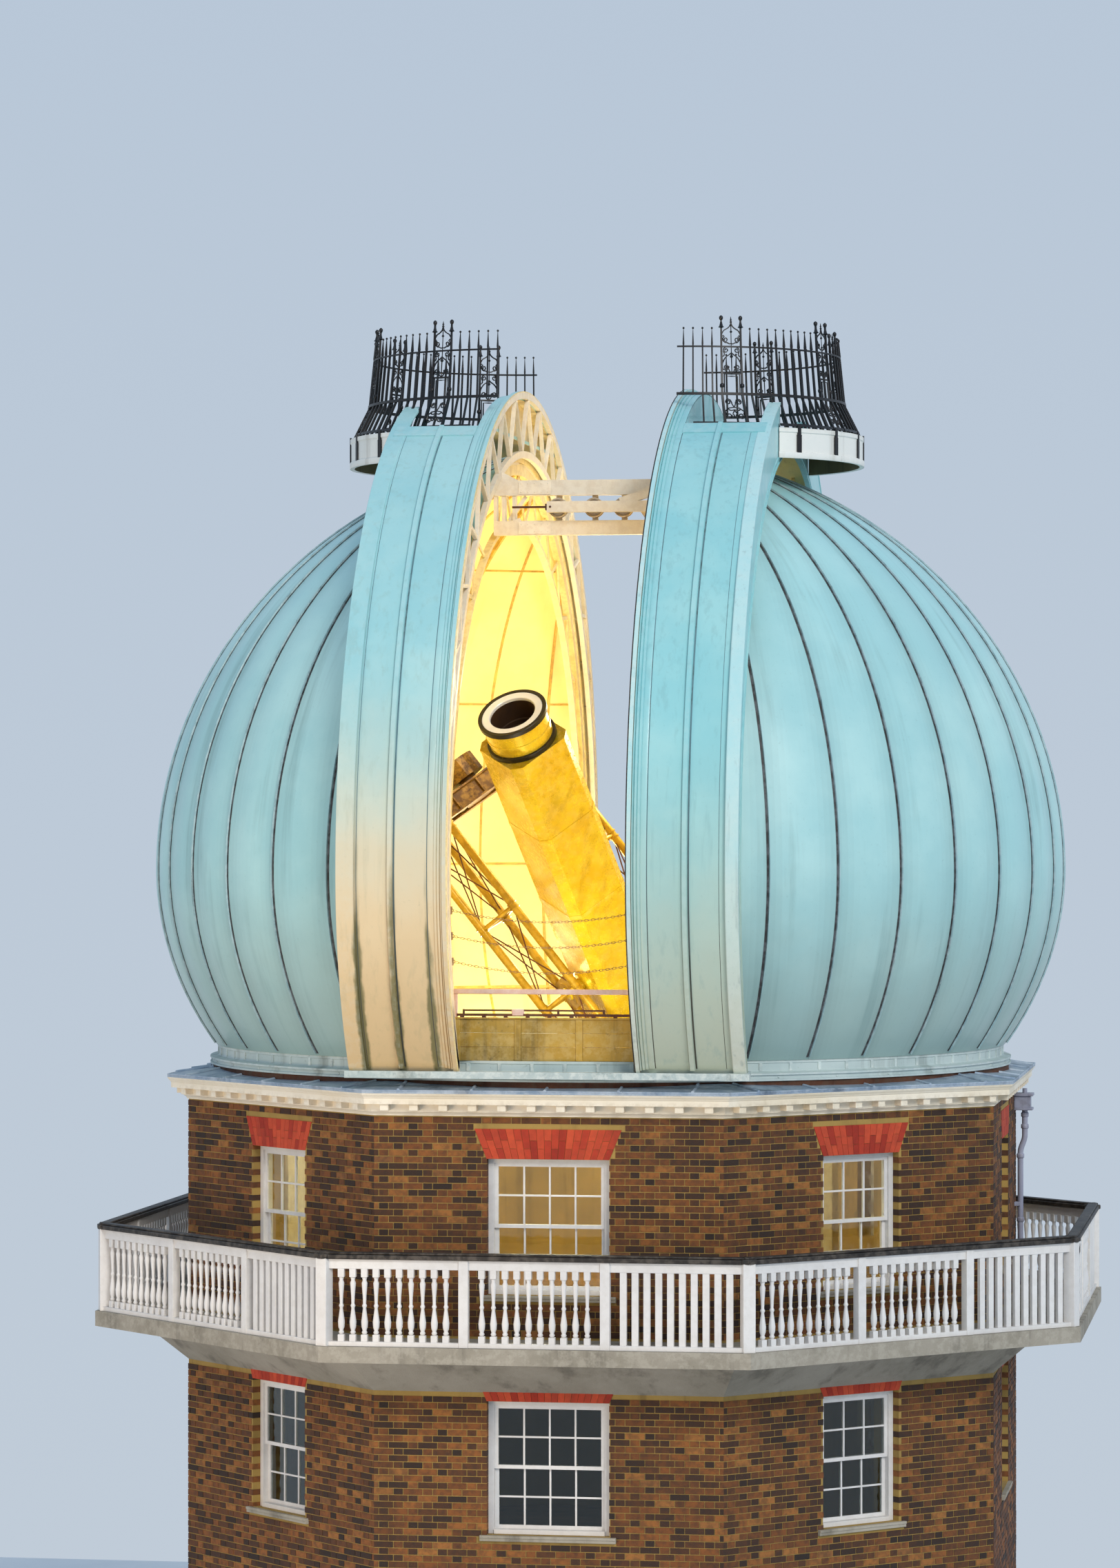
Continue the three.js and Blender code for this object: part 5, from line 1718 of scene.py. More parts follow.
@dataclass
class Dome:
    """The turning dome: ribbed shell, curb, slit arches, crossbeams, sills and chains."""

    shell: Oval = Oval(5.505, 5.120, 4.310)
    thick: float = 0.090
    slit: float = 1.100
    swell: float = 0.004
    seam: float = 0.026
    ridge: float = 0.030
    arch: LatticeHoop = LatticeHoop(
        Oval(5.222, 4.848, 4.180), Oval(4.850, 4.200, 4.440), LEVELS.curb_top + HAIR, panels=20,
        near=1.100, far=1.180, chord=0.050)
    beam_near: float = 1.860
    beam_far: float = 2.000
    beam_top: float = 16.310
    beam_foot: float = 15.660
    passage: tuple[float, float] = (-2.110, 15.985)
    roller: float = 0.117
    rollers: tuple[float, ...] = (-0.330, 0.100, 0.450)
    chain_levels: tuple[float, ...] = (11.280, 10.990, 10.700)
    chain_end: float = 1.0877
    sag: float = 0.130

    def build(self) -> None:
        """Builds every part of the dome in order."""
        for node in ("front_leaf_rail", "back_leaf_rail"):
            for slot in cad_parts[node].material_slots:
                slot.material = Finishes.CURB.material()
        for side in Side:
            self.half_shell(side)
            self.seams(side)
            self.lining(side)
            self.slit_arch(side)
        self.curb()
        self.crossbeams()
        for name, turn in (("front", 0.0), ("back", math.pi)):
            self.sill(name, turn)
        for k, level in enumerate(self.chain_levels):
            self.chain(k + 1, level)

    def half_shell(self, side: Side) -> None:
        """Makes one half of the shell with its swelling gores.

        Args:
            side: Half to make.
        """
        rows, columns = 60, 200
        start = self.shell.turn_at(LEVELS.curb_top + HAIR)
        end = math.acos((self.slit + 0.03) / self.shell.half)
        turns = start + (end - start) * np.linspace(0, 1, rows + 1)
        sheets = []
        for by, swell in ((0.0, self.swell), (-self.thick, 0.0)):
            oval = self.shell.grown(by)
            line = oval.point(turns)
            radius, level = -line[:, 0], line[:, 1].copy()
            level[0] = LEVELS.curb_top + HAIR
            first = np.arcsin(np.clip(self.slit / radius, -1, 1))
            share = np.linspace(0, 1, columns + 1)
            turn = first[:, None] + share[None] * (math.pi - 2 * first)[:, None]
            fade = np.clip(np.minimum(share, 1 - share) * 60, 0, 1)[None] * np.ones((rows + 1, 1))
            fade *= np.clip(np.linspace(0, 1, rows + 1) * 30, 0, 1)[:, None]
            out = radius[:, None] * (1 + swell * fade * (0.5 - 0.5 * np.cos(GORES * turn)))
            x, y = out * np.sin(turn), -out * np.cos(turn)
            x[:, 0] = x[:, -1] = self.slit
            sheets.append(np.stack([x, y, np.broadcast_to(level[:, None], x.shape)], axis=-1))
        index = np.arange((rows + 1) * (columns + 1)).reshape(rows + 1, columns + 1)
        quads = cells(index)
        half = (rows + 1) * (columns + 1)
        middle = sheets[0].reshape(-1, 3)[quads].mean(axis=1)
        gore = np.arctan2(middle[:, 0], -middle[:, 1]) * GORES / math.tau
        # Face tone of each gore: painted shade that darkens towards its seams, as light falls off the swell,
        # plus a tone that differs from gore to gore.
        gore_shade_and_tone = 0.75 - 0.75 * np.abs(np.cos(math.pi * gore)) ** 4 + 0.05 * (gore.astype(int) * 5 % 6)
        sketch = Sketch(mirrored(side))
        points = np.concatenate([sheet.reshape(-1, 3) for sheet in sheets])
        edge = np.concatenate([index[0], index[1:, -1], index[-1, -2::-1], index[-2:0:-1, 0]])
        after = np.roll(edge, -1)
        rim = np.stack([edge, edge + half, after + half, after], axis=-1)
        faces = np.concatenate([quads, quads[:, ::-1] + half, rim])
        finish = np.repeat([0, 1, 2], [len(quads), len(quads), len(rim)])
        sketch.add(points, faces, finish, np.concatenate([gore_shade_and_tone, np.full(len(quads) + len(rim), 0.5)]))
        sketch.piece(f"{side.label}_dome_shell", Body.DOME, "dome_paint",
                     [Finishes.SHELL, Finishes.INSIDE, Finishes.STEEL],
                     replaces=[f"front_{side.label}_shell", f"back_{side.label}_shell"], smooth=40)

    def gore_lines(self) -> list[tuple[float, float]]:
        """Lists the seams of one half.

        Returns:
            Turn from the slit and turn at the upper end of each seam.
        """
        lines = []
        for k in range(2, GORES // 2 - 1):
            turn = k * math.tau / GORES
            radius = (self.slit + 0.045) / math.sin(turn)
            if radius < self.shell.half * 0.97:
                lines.append((turn, math.acos(radius / self.shell.half)))
        return lines

    def seams(self, side: Side) -> None:
        """Lays the pitched strip and the raised ridge over every seam.

        Args:
            side: Half of the dome.
        """
        strips, ridges = Sketch(), Sketch()
        start = self.shell.turn_at(LEVELS.curb_top + 0.03)
        for turn, end in self.gore_lines():
            strips.place = ridges.place = mirrored(side) @ about_z(turn)
            turns = np.linspace(start, end, 44)
            wide, half = self.seam / 2, self.ridge / 2
            strips.hoop(self.shell, turns, oblong(-wide, wide, -0.01, 0.005))
            ridges.hoop(self.shell, turns, [(wide - 0.002, -0.008), (wide + half, -0.008),
                                            (wide + half * 0.7, 0.022), (wide + half * 0.3, 0.022)])
        strips.piece(f"{side.label}_seam_strips", Body.DOME, "dome_paint", [Finishes.SEAM])
        ridges.piece(f"{side.label}_seam_ridges", Body.DOME, "dome_paint", [Finishes.RIDGE])

    def lining(self, side: Side) -> None:
        """Fixes the ribs, joints and the ledge inside the shell.

        Args:
            side: Half of the dome.
        """
        sketch = Sketch()
        inner = self.shell.grown(-self.thick)
        for k, (turn, end) in enumerate(self.gore_lines()):
            sketch.place = mirrored(side) @ about_z(turn)
            turns = np.linspace(inner.turn_at(9.62), end - 0.02, 30)
            deep, half = (0.055, 0.014) if k % 2 == 0 else (0.008, 0.016)
            sketch.hoop(inner, turns, oblong(-half, half, -deep, 0.004))
        for level, half, deep in ((11.69, 0.012, 0.030), (13.79, 0.010, 0.020), (15.48, 0.010, 0.020),
                                  (10.08, 0.016, 0.110), (9.615, 0.030, 0.050)):
            radius = -inner.point(np.array([inner.turn_at(level)]))[0, 0]
            first = math.asin((self.slit + 0.12) / radius)
            turn = np.linspace(first, math.pi - first, 80)
            sketch.place = mirrored(side)
            rows = [np.stack([out * np.sin(turn), -out * np.cos(turn), np.full_like(turn, z)], axis=-1)
                    for out, z in oblong(radius - deep, radius + 0.004, level - half, level + half)]
            sketch.lattice(np.stack(rows, axis=1))
        sketch.piece(f"{side.label}_lining_ribs", Body.DOME, "dome_paint", [Finishes.INSIDE_SEAM_GLOW])

    def slit_arch(self, side: Side) -> None:
        """Builds the lattice arch at one edge of the slit with its rim plate.

        Args:
            side: Edge of the slit.
        """
        sketch = Sketch(mirrored(side))
        self.arch.draw(sketch, self.passage if side is Side.LEFT else None)
        turns = self.arch.rim.span(self.arch.foot, 100)
        sketch.hoop(self.arch.rim, turns, oblong(1.1002, 1.112, 0.0, 0.088))
        rim = self.shell.grown(-0.006)
        outer = Oval(math.sqrt(rim.half ** 2 - 1.21), rim.rise * math.sqrt(1 - (1.1 / rim.half) ** 2),
                     rim.drop * math.sqrt(1 - (1.1 / rim.half) ** 2))
        sketch.hoop(outer, outer.span(LEVELS.curb_top + 0.02, 100),
                    oblong(1.088, 1.0998, -0.06, 0.010))
        sketch.level_off(self.arch.foot)
        sketch.piece(f"{side.label}_slit_lattice", Body.DOME, "steel_paint", [Finishes.ARCH_STEEL],
                     replaces=[f"{side.label}_slit_arch"])

    def curb(self) -> None:
        """Turns the ring that carries the shell, with its flange, bands and bolts."""
        sketch = Sketch()
        low, top = LEVELS.curb_bottom, LEVELS.curb_top
        sketch.turned([
            (4.580, low), (4.866, low), (4.868, low + 0.002), (4.868, low + 0.022), (4.846, low + 0.028),
            (4.846, 9.412), (4.868, 9.418), (4.868, 9.438), (4.800, 9.448), (4.778, 9.456), (4.768, 9.470),
            (4.768, 9.545), (4.779, 9.551), (4.779, top - 0.002), (4.777, top), (4.580, top),
        ], 160)
        angle = (np.arange(GORES) + 0.5) * math.tau / GORES
        out = np.stack([np.cos(angle), np.sin(angle), np.zeros(GORES)], axis=-1)
        sketch.studs(out * 4.846 + [0, 0, 9.392], out, 0.016)
        for k in range(2 * GORES):
            sketch.place = about_z((k + 0.5) * math.pi / GORES)
            sketch.box((-0.020, -4.7785, 9.460), (0.020, -4.762, top - 0.028), tone=(k % 3) / 2)
        sketch.piece("dome_curb_ring", Body.DOME, "lead", [Finishes.CURB], replaces=["curb"], smooth=30)

    def crossbeams(self) -> None:
        """Builds the two beams over the slit with their end posts, splice plates and rollers."""
        steel, wheels = Sketch(), Sketch()
        end, near, far = self.slit - HAIR, -self.beam_near, -self.beam_far
        plate, rivets = 0.014, []
        for low, high in ((16.130, self.beam_top), (self.beam_foot, 15.830)):
            steel.box((-end, far, low), (end, far + plate, high))
            for z in (low, high - plate):
                steel.box((-end, far + plate, z), (end, near, z + plate))
            steel.box((-0.80, far - 0.010, low + 0.012), (-0.42, far, high - 0.012), tone=0.9)
            rivets += [(x, far - 0.010, z) for x in np.linspace(-0.77, -0.45, 5)
                       for z in (low + 0.04, high - 0.04)]
        for x in (-1.085, -0.985, -0.86, 1.045):
            steel.box((x - 0.020, far + 0.016, self.beam_foot + plate),
                      (x + 0.020, near, self.beam_top - plate))
        steel.bar((-1.09, far + 0.02, 16.40), (-0.78, far + 0.02, 16.24), 0.03, 0.10, (0, 0, 1))
        steel.bar((-1.09, far + 0.02, 15.70), (-0.78, far + 0.02, 15.84), 0.03, 0.06, (0, 0, 1))
        steel.box((0.90, far + 0.014, 15.83), (end, far + 0.024, 16.13))
        for x in (-0.92, 0.74):
            steel.bar((x, far + 0.05, 15.84), (x + 0.20 * (1 if x < 0 else -1), far + 0.05, 16.12), 0.016,
                      0.045, (0, 0, 1))
        steel.studs(np.array(rivets), (0, -1, 0), 0.010)
        for x in self.rollers:
            steel.box((x - 0.035, near - 0.034, 15.77), (x + 0.035, near - 0.012, 16.16))
            wheels.place = placed((x, near - 0.044, 15.98), math.pi / 2)
            r = self.roller
            wheels.turned([(0.020, 0.0), (r - 0.020, 0.0), (r, 0.006), (r, 0.022), (r - 0.014, 0.028),
                           (r - 0.014, 0.100), (r, 0.106), (r, 0.124), (r - 0.006, 0.130), (r - 0.022, 0.122),
                           (r - 0.030, 0.100), (0.052, 0.104), (0.046, 0.134), (0.034, 0.136), (0.030, 0.128),
                           (0.020, 0.128)], 32)
            wheels.turned([(AXIS, -0.02), (0.019, -0.02), (0.019, 0.136), (0.014, 0.139), (AXIS, 0.139)], 12,
                          closed=False)
        steel.piece("crossbeam_frame", Body.DOME, "steel_paint", [Finishes.STEEL],
                    replaces=["front_crossbeams"])
        wheels.piece("crossbeam_wheels", Body.DOME, "steel_paint", [Finishes.WHEEL])

    def sill(self, name: str, turn: float) -> None:
        """Builds the board, the small track and the guard rail at the foot of the slit.

        Args:
            name: End of the slit.
            turn: Turn about the vertical axis that takes the front there.
        """
        board, track, guard = (Sketch(about_z(turn)) for _ in range(3))
        end, low = self.slit - HAIR, LEVELS.curb_top + HAIR
        face, under, board_top, sleeper_top = -4.700, 10.052, 10.070, 10.086
        for k in range(3):
            foot = low + 0.158 * k
            board.box((-end, face, foot), (end, -4.657, foot + 0.155), tone=(0.2, 0.7, 0.45)[k])
        for x in (-1.06, -0.36, 0.34, 1.06):
            board.box((x - 0.038, -4.714, low), (x + 0.038, face, under), tone=0.6)
        board.box((-end, -4.725, under), (end, -4.645, board_top), tone=0.8)
        for y in (-4.705, -4.668):
            track.bar((-1.06, y, 10.098), (1.06, y, 10.098), 0.012, 0.028)
        for x in np.linspace(-1.0, 1.0, 9):
            track.box((x - 0.02, -4.715, board_top), (x + 0.02, -4.655, sleeper_top))
        track.tube(np.array([[-0.98, -4.69, 10.150], [0.62, -4.69, 10.150]]), 0.011, 8)
        for x in (-0.98, -0.42, 0.10, 0.62):
            track.box((x - 0.012, face, sleeper_top), (x + 0.012, -4.680, 10.162))
        guard.box((-0.43, -4.712, sleeper_top), (-0.29, -4.660, 10.165))
        guard.box((-end, -4.7148, 10.332), (end, -4.6552, 10.390))
        for x in (-1.0745, 1.0745):
            guard.box((x - 0.024, -4.708, board_top), (x + 0.024, -4.662, 10.336))
        soften(board.piece(f"{name}_sill_boards", Body.DOME, "cream_paint", [Finishes.BOARD],
                           replaces=[f"{name}_sill"]), 0.004)
        track.piece(f"{name}_sill_track", Body.DOME, "black_iron", [Finishes.RUSTY])
        soften(guard.piece(f"{name}_guard_rail", Body.DOME, "cream_paint", [Finishes.RAIL]), 0.010)

    def chain(self, number: int, level: float) -> None:
        """Hangs one safety chain, link by link, between its eye plates.

        Args:
            number: Number of the chain, counted from the top.
            level: Height of its ends.
        """
        sketch = Sketch()
        inner = self.arch.inner
        chord = Oval(inner.half + 0.034, inner.rise, inner.drop + 0.034)
        y = float(chord.point(np.array([-math.asin((EQUATOR - level) / chord.drop)]))[0, 0])
        for sign in (-1, 1):
            wall, face = sign * (self.slit - HAIR), sign * self.chain_end
            sketch.box((min(wall, face), y - 0.045, level - 0.045),
                       (max(wall, face), y + 0.045, level + 0.045))
            loop = [(face - sign * (0.014 + 0.016 * math.cos(a)) + sign * 0.010, y,
                     level + 0.018 * math.sin(a))
                    for a in np.linspace(0, math.tau, 13)[:-1]]
            sketch.tube(np.array(loop), 0.005, 6, closed=True, up=(0, 1, 0))
        count, wire = 57, 0.0034
        ends = np.linspace(-1, 1, count + 1) * (self.chain_end - 0.022)
        drops = level - self.sag * (1 - (ends / self.chain_end) ** 2)
        for k in range(count):
            first, second = np.array([ends[k], y, drops[k]]), np.array([ends[k + 1], y, drops[k + 1]])
            ahead = (second - first) / np.linalg.norm(second - first)
            middle, reach = (first + second) / 2, np.linalg.norm(second - first) / 2 - 0.006
            aside = np.array([0.0, 1.0, 0.0]) if k % 2 else np.cross(ahead, (0, 1, 0))
            loop = []
            for sign in (1, -1):
                for a in np.linspace(-math.pi / 2, math.pi / 2, 6):
                    out = ahead * (reach + 0.009 * math.cos(a)) + aside * 0.010 * math.sin(a)
                    loop.append(middle + sign * out)
            sketch.tube(np.array(loop), wire, 6, closed=True, up=tuple(np.cross(ahead, aside)))
        sketch.piece(f"safety_chain_links_{number}", Body.DOME, "steel_paint", [Finishes.CHAIN],
                     replaces=[f"safety_chain_{number}"], smooth=80)


@dataclass(frozen=True)
class Crown:
    """Where one half of the crown stands, with degrees counted round from its front end."""

    centre: float
    first_panel: float
    front_rail: float
    front_spikes: tuple[float, int]
    back_rail: float
    back_spikes: tuple[float, int]


CROWNS = {
    Side.RIGHT: Crown(1.000, 22.5, 2.0, (4.4, 4), 182.6, (181.6, 5)),
    Side.LEFT: Crown(1.100, 22.1, -1.0, (-0.4, 5), 176.8, (175.4, 4)),
}


@dataclass
class ShutterLeaf:
    """One sliding leaf: lattice truss, plated skin, deep outer fin, crown deck, railing and tail bar."""

    side: Side
    foot: float = LEVELS.leaf_foot
    near: float = 1.0605
    far: float = 2.1995
    skin: Oval = Oval(5.620, 5.750, 4.425)
    thick: float = 0.040
    casing: float = 1.230
    fin_rim: Oval = Oval(5.680, 5.742, 4.425)
    fin_inner: Oval = Oval(5.400, 5.030, 4.720)
    fin_far: float = 2.260
    fin_clear: float = 1.500
    truss: LatticeHoop = LatticeHoop(
        Oval(5.680, 5.810, 4.425), Oval(5.450, 5.000, 4.760), LEVELS.leaf_foot, panels=26,
        near=1.0003, far=1.0597, chord=0.085, bar=0.042, deep=0.046)
    seams: tuple[float, ...] = (10.90, 12.55, 14.20, 15.70)
    crown_radius: float = 2.100
    fascia_foot: float = 16.570
    flange: float = 0.150

    def build(self) -> None:
        """Builds every part of the leaf in order."""
        self.body = Body.RIGHT_LEAF if self.side is Side.RIGHT else Body.LEFT_LEAF
        self.label = self.side.label
        self.shape = CROWNS[self.side]
        # The left leaf's paint carries painted warm light low down.
        self.paint = Finishes.LEAF if self.side is Side.RIGHT else Finishes.STAINED_GLOW_LEAF
        self.inner_truss()
        self.plated_skin()
        self.fin()
        self.crown()
        if self.side is Side.RIGHT:
            self.tail_bar()
        CrownRailing(self.side, self.body, self.shape).build()

    def sketch(self) -> Sketch:
        """Starts a sketch placed on this leaf's side."""
        return Sketch(mirrored(self.side))

    def inner_truss(self) -> None:
        """Builds the lattice arch along the slit, its blue outer moulding and its dark sealing strip."""
        steel, edge, seal = (self.sketch() for _ in range(3))
        self.truss.draw(steel)
        turns = self.truss.rim.span(self.foot, 4 * self.truss.panels)
        edge.hoop(self.truss.rim, turns, oblong(1.014, 1.0598, -0.003, 0.004))
        seal.hoop(self.truss.rim, turns, oblong(1.0001, 1.0142, -0.008, 0.004))
        for sign in (-1, 1):
            y = sorted(sign * (self.truss.rim.point(turns[:1])[0, 0] + by) for by in (0.0, 0.085))
            steel.box((1.0005, y[0], self.foot), (1.0595, y[1], self.foot + 0.05))
        for sketch in (steel, edge, seal):
            sketch.level_off(self.foot)
        steel.piece(f"{self.label}_leaf_lattice", self.body, "steel_paint", [Finishes.STEEL],
                    replaces=[f"{self.label}_leaf_truss"])
        # The right leaf's edge takes the lighter paint, a painted highlight.
        rim, strip = ((Finishes.LIT_LEAF_EDGE, Finishes.SEAL) if self.side is Side.RIGHT
                      else (Finishes.STAINED_GLOW_LEAF, Finishes.ARCH_STEEL))
        edge.piece(f"{self.label}_leaf_edge", self.body, "leaf_paint", [rim])
        seal.piece(f"{self.label}_leaf_seal", self.body, "black_iron", [strip])

    def plated_skin(self) -> None:
        """Plates the leaf, flat under the crown, with mouldings and batten outside and ribs inside."""
        skin, trim, ribs, joints = (self.sketch() for _ in range(4))
        deck = LEVELS.crown_deck
        line, inner = self.deck_line(self.skin, deck, 0.0), self.deck_line(self.skin, deck, self.thick)
        columns = np.linspace(self.near, self.far, 11)
        loop = np.concatenate([line, inner[::-1]])
        lattice = np.stack([np.insert(loop, 0, x, axis=1) for x in columns], axis=1)
        self.sheet(skin, lattice)
        up, foot = self.skin.turn_at(deck - 0.02), self.skin.turn_at(self.foot + 0.05)
        crest = np.linspace(up, math.pi - up, 40)
        skin.hoop(self.skin, crest, oblong(self.near, self.casing, -self.thick, 0.0))
        skin.hoop(self.skin, crest,
                  oblong(self.near + 0.001, self.casing - 0.040, -self.thick - 0.003, -self.thick + 0.001),
                  finish=1)
        over = self.skin.grown(-0.002).point(crest)
        level = np.array([[deck - 0.01]] * len(over))
        under = np.concatenate([over[:, :1], level], axis=1)
        for finish, first, last in ((0, self.casing - 0.036, self.casing - 0.0005),
                                    (1, self.casing - 0.039, self.casing - 0.0365)):
            rows = [np.concatenate([np.full((len(over), 1), x), line], axis=1)
                    for x, line in ((first, over), (last, over), (last, under), (first, under))]
            skin.lattice(np.stack(rows, axis=1), finish=finish)
        for low, high, out, whole in ((1.060, 1.084, 0.052, True), (1.084, 1.122, 0.034, True),
                                      (1.122, 1.160, 0.022, True), (1.160, self.casing, 0.010, True),
                                      (1.622, 1.688, 0.042, False)):
            for turns in both_ways(np.linspace(foot, math.pi / 2 if whole else up, 60)):
                trim.hoop(self.skin, turns,
                          [(low, -0.006), (high, -0.006), (high, out * 0.6), (high - 0.009, out),
                           (low + 0.009, out), (low, out * 0.6)])
        # Painted shade: the strip at the casing and the two beside the batten stand for shade in the groove
        # and at the batten's sides, wider on one side; the strips at 2.034 and 2.186 are plate joints.
        dark = (0.005, 0.018) if self.side is Side.RIGHT else (0.018, 0.005)
        for x, wide in ((self.casing, 0.010), (1.621 - dark[0], dark[0]), (1.689, dark[1]), (2.034, 0.006),
                        (2.186, 0.013)):
            for turns in both_ways(np.linspace(foot, up, 60)):
                joints.hoop(self.skin, turns, oblong(x, x + wide, -0.003, 0.001))
        lip = np.linspace(self.skin.turn_at(deck - 0.13), self.skin.turn_at(deck - 0.006), 5)
        for turns in both_ways(lip):
            trim.hoop(self.skin, turns, oblong(self.casing, self.far, -0.02, 0.014))
        inside = self.skin.grown(-self.thick)
        for x in (1.34, 1.655, 1.93):
            climb = np.linspace(inside.turn_at(self.foot + 0.08), inside.turn_at(deck - 0.30), 40)
            for turns in both_ways(climb):
                ribs.hoop(inside, turns, oblong(x - 0.020, x + 0.020, -0.045, 0.003))
        for turn in np.linspace(inside.turn_at(9.9), inside.turn_at(16.3), 13):
            for middle in (turn, math.pi - turn):
                ribs.hoop(inside, np.linspace(middle - 0.0035, middle + 0.0035, 2),
                          oblong(self.near, self.far, -0.040, 0.003))
        for sketch in (skin, trim, ribs, joints):
            sketch.level_off(self.foot)
        skin.piece(f"{self.label}_leaf_plating", self.body, "leaf_paint", [self.paint, Finishes.LEAF_INSIDE_GLOW],
                   replaces=[f"{self.label}_leaf_skin"], smooth=30)
        trim.piece(f"{self.label}_leaf_mouldings", self.body, "leaf_paint", [self.paint])
        joints.piece(f"{self.label}_leaf_joint_and_shade_lines", self.body, "leaf_paint", [Finishes.LEAF_JOINT_AND_SHADE])
        ribs.piece(f"{self.label}_leaf_ribs", self.body, "steel_paint", [Finishes.LEAF_INSIDE_GLOW])

    def deck_line(self, oval: Oval, deck: float, depth: float) -> np.ndarray:
        """Follows the skin up the front, level under the crown and down the back.

        Args:
            oval: Outer line of the skin.
            deck: Height of the crown deck.
            depth: How far inside the outer line.

        Returns:
            Points as Y and Z.
        """
        path = oval.grown(-depth)
        front = path.point(np.linspace(path.turn_at(self.foot), path.turn_at(deck - depth), 70))
        front[0, 1] = self.foot
        return np.concatenate([front, front[::-1] * [-1, 1]])

    def sheet(self, sketch: Sketch, lattice: np.ndarray) -> None:
        """Adds the skin with its outer and inner faces apart.

        Args:
            sketch: Sketch to add to.
            lattice: Loop of the section by column across the leaf.
        """
        rows, columns = lattice.shape[:2]
        half = rows // 2
        index = np.arange(rows * columns).reshape(rows, columns)
        quads = cells(np.concatenate([index, index[:1]]))
        inside = np.zeros(rows, dtype=int)
        inside[half:rows - 1] = 1
        panel = np.searchsorted(self.seams, lattice[:, 0, 2]) * 3 + (lattice[:, 0, 1] > 0) * 5
        bay = (lattice[0, :-1, 0] > 1.6) * 2
        tones = ((panel[:, None] + bay[None]) % 7) / 6
        sketch.add(lattice, quads, np.repeat(inside, columns - 1), tones.ravel())
        for k, sign in ((0, 1), (columns - 1, -1)):
            loop = index[:, k]
            strip = np.stack([loop[:half - 1], loop[1:half], loop[::-1][1:half], loop[::-1][:half - 1]],
                             axis=-1)
            sketch.add(np.zeros((0, 3)), strip[:, ::sign] - rows * columns, 0, 0.4)

    def fin(self) -> None:
        """Builds the deep outer fin, cut away over the crown deck, with its broad flange and stiffeners."""
        flange, side = self.sketch(), self.sketch()
        wide, far = self.flange if self.side is Side.RIGHT else self.flange + 0.05, self.fin_far
        start, horn = self.fin_rim.turn_at(self.foot), math.acos(self.fin_clear / self.fin_rim.half)
        front = np.linspace(start, horn, 60)
        turns = np.concatenate([front, np.linspace(horn, math.pi - horn, 30), math.pi - front[::-1]])
        for part in both_ways(front):
            flange.hoop(self.fin_rim, part,
                        [(far - wide, -0.026), (far, -0.030), (far, -0.004), (far - 0.004, 0.0),
                         (far - wide + 0.01, 0.0), (far - wide, -0.008)])
        rim = self.fin_rim.grown(-0.028).point(turns)
        rim[60:90, 1] = LEVELS.crown_deck - 0.001
        low = self.fin_inner.turn_at(self.foot)
        inner = self.fin_inner.point(low + (turns - start) / (math.pi - 2 * start) * (math.pi - 2 * low))
        rows = [np.insert(line, 0, x, axis=1) for x, line in ((2.236, rim), (2.250, rim), (2.250, inner),
                                                              (2.236, inner))]
        side.lattice(np.stack(rows, axis=1))
        span = self.fin_inner.span(self.foot, 120)
        side.hoop(self.fin_inner, span, oblong(2.2005, far, 0.0, 0.016))
        side.hoop(self.fin_inner, span, oblong(2.2500, 2.2580, 0.060, 0.085))
        for first, second in list(zip(rim, inner))[2:-2:5]:
            side.bar((2.218, *(first + (second - first) * 0.06)),
                     (2.218, *(second + (first - second) * 0.06)), 0.012, 0.034, (1, 0, 0))
        for sketch in (flange, side):
            sketch.level_off(self.foot)
        flange.piece(f"{self.label}_leaf_flange", self.body, "leaf_paint",
                     [Finishes.LIT_LEAF_EDGE if self.side is Side.RIGHT else self.paint])
        side.piece(f"{self.label}_leaf_fin_plate", self.body, "leaf_paint", [self.paint],
                   replaces=[f"{self.label}_leaf_fin"])

    def crown(self) -> None:
        """Builds the half-round crown deck with its fascia, drip edge, joists and straps."""
        sketch, straps = self.sketch(), self.sketch()
        deck, foot, radius, centre = LEVELS.crown_deck, self.fascia_foot, self.crown_radius, self.shape.centre
        start = self.fin_far + 0.0005

        def arc(reach: float, level: float) -> np.ndarray:
            """Lays the outline beyond the fin.

            Args:
                reach: Distance from the middle of the crown.
                level: Height of the outline.

            Returns:
                Its points, front to back.
            """
            half = math.acos((start - centre) / reach)
            angle = np.linspace(-half, half, 72)
            return np.stack([centre + reach * np.cos(angle), reach * np.sin(angle), np.full(72, level)],
                            axis=-1)

        profile = [(radius - 0.058, foot + 0.004), (radius - 0.004, foot), (radius, foot + 0.006),
                   (radius, foot + 0.066), (radius - 0.004, foot + 0.072), (radius - 0.020, foot + 0.076),
                   (radius - 0.020, deck - 0.060), (radius - 0.008, deck - 0.050),
                   (radius - 0.008, deck - 0.004),
                   (radius - 0.016, deck), (radius - 0.058, deck), (radius - 0.058, deck - 0.050)]
        sketch.lattice(np.stack([arc(r, z) for r, z in profile], axis=1))
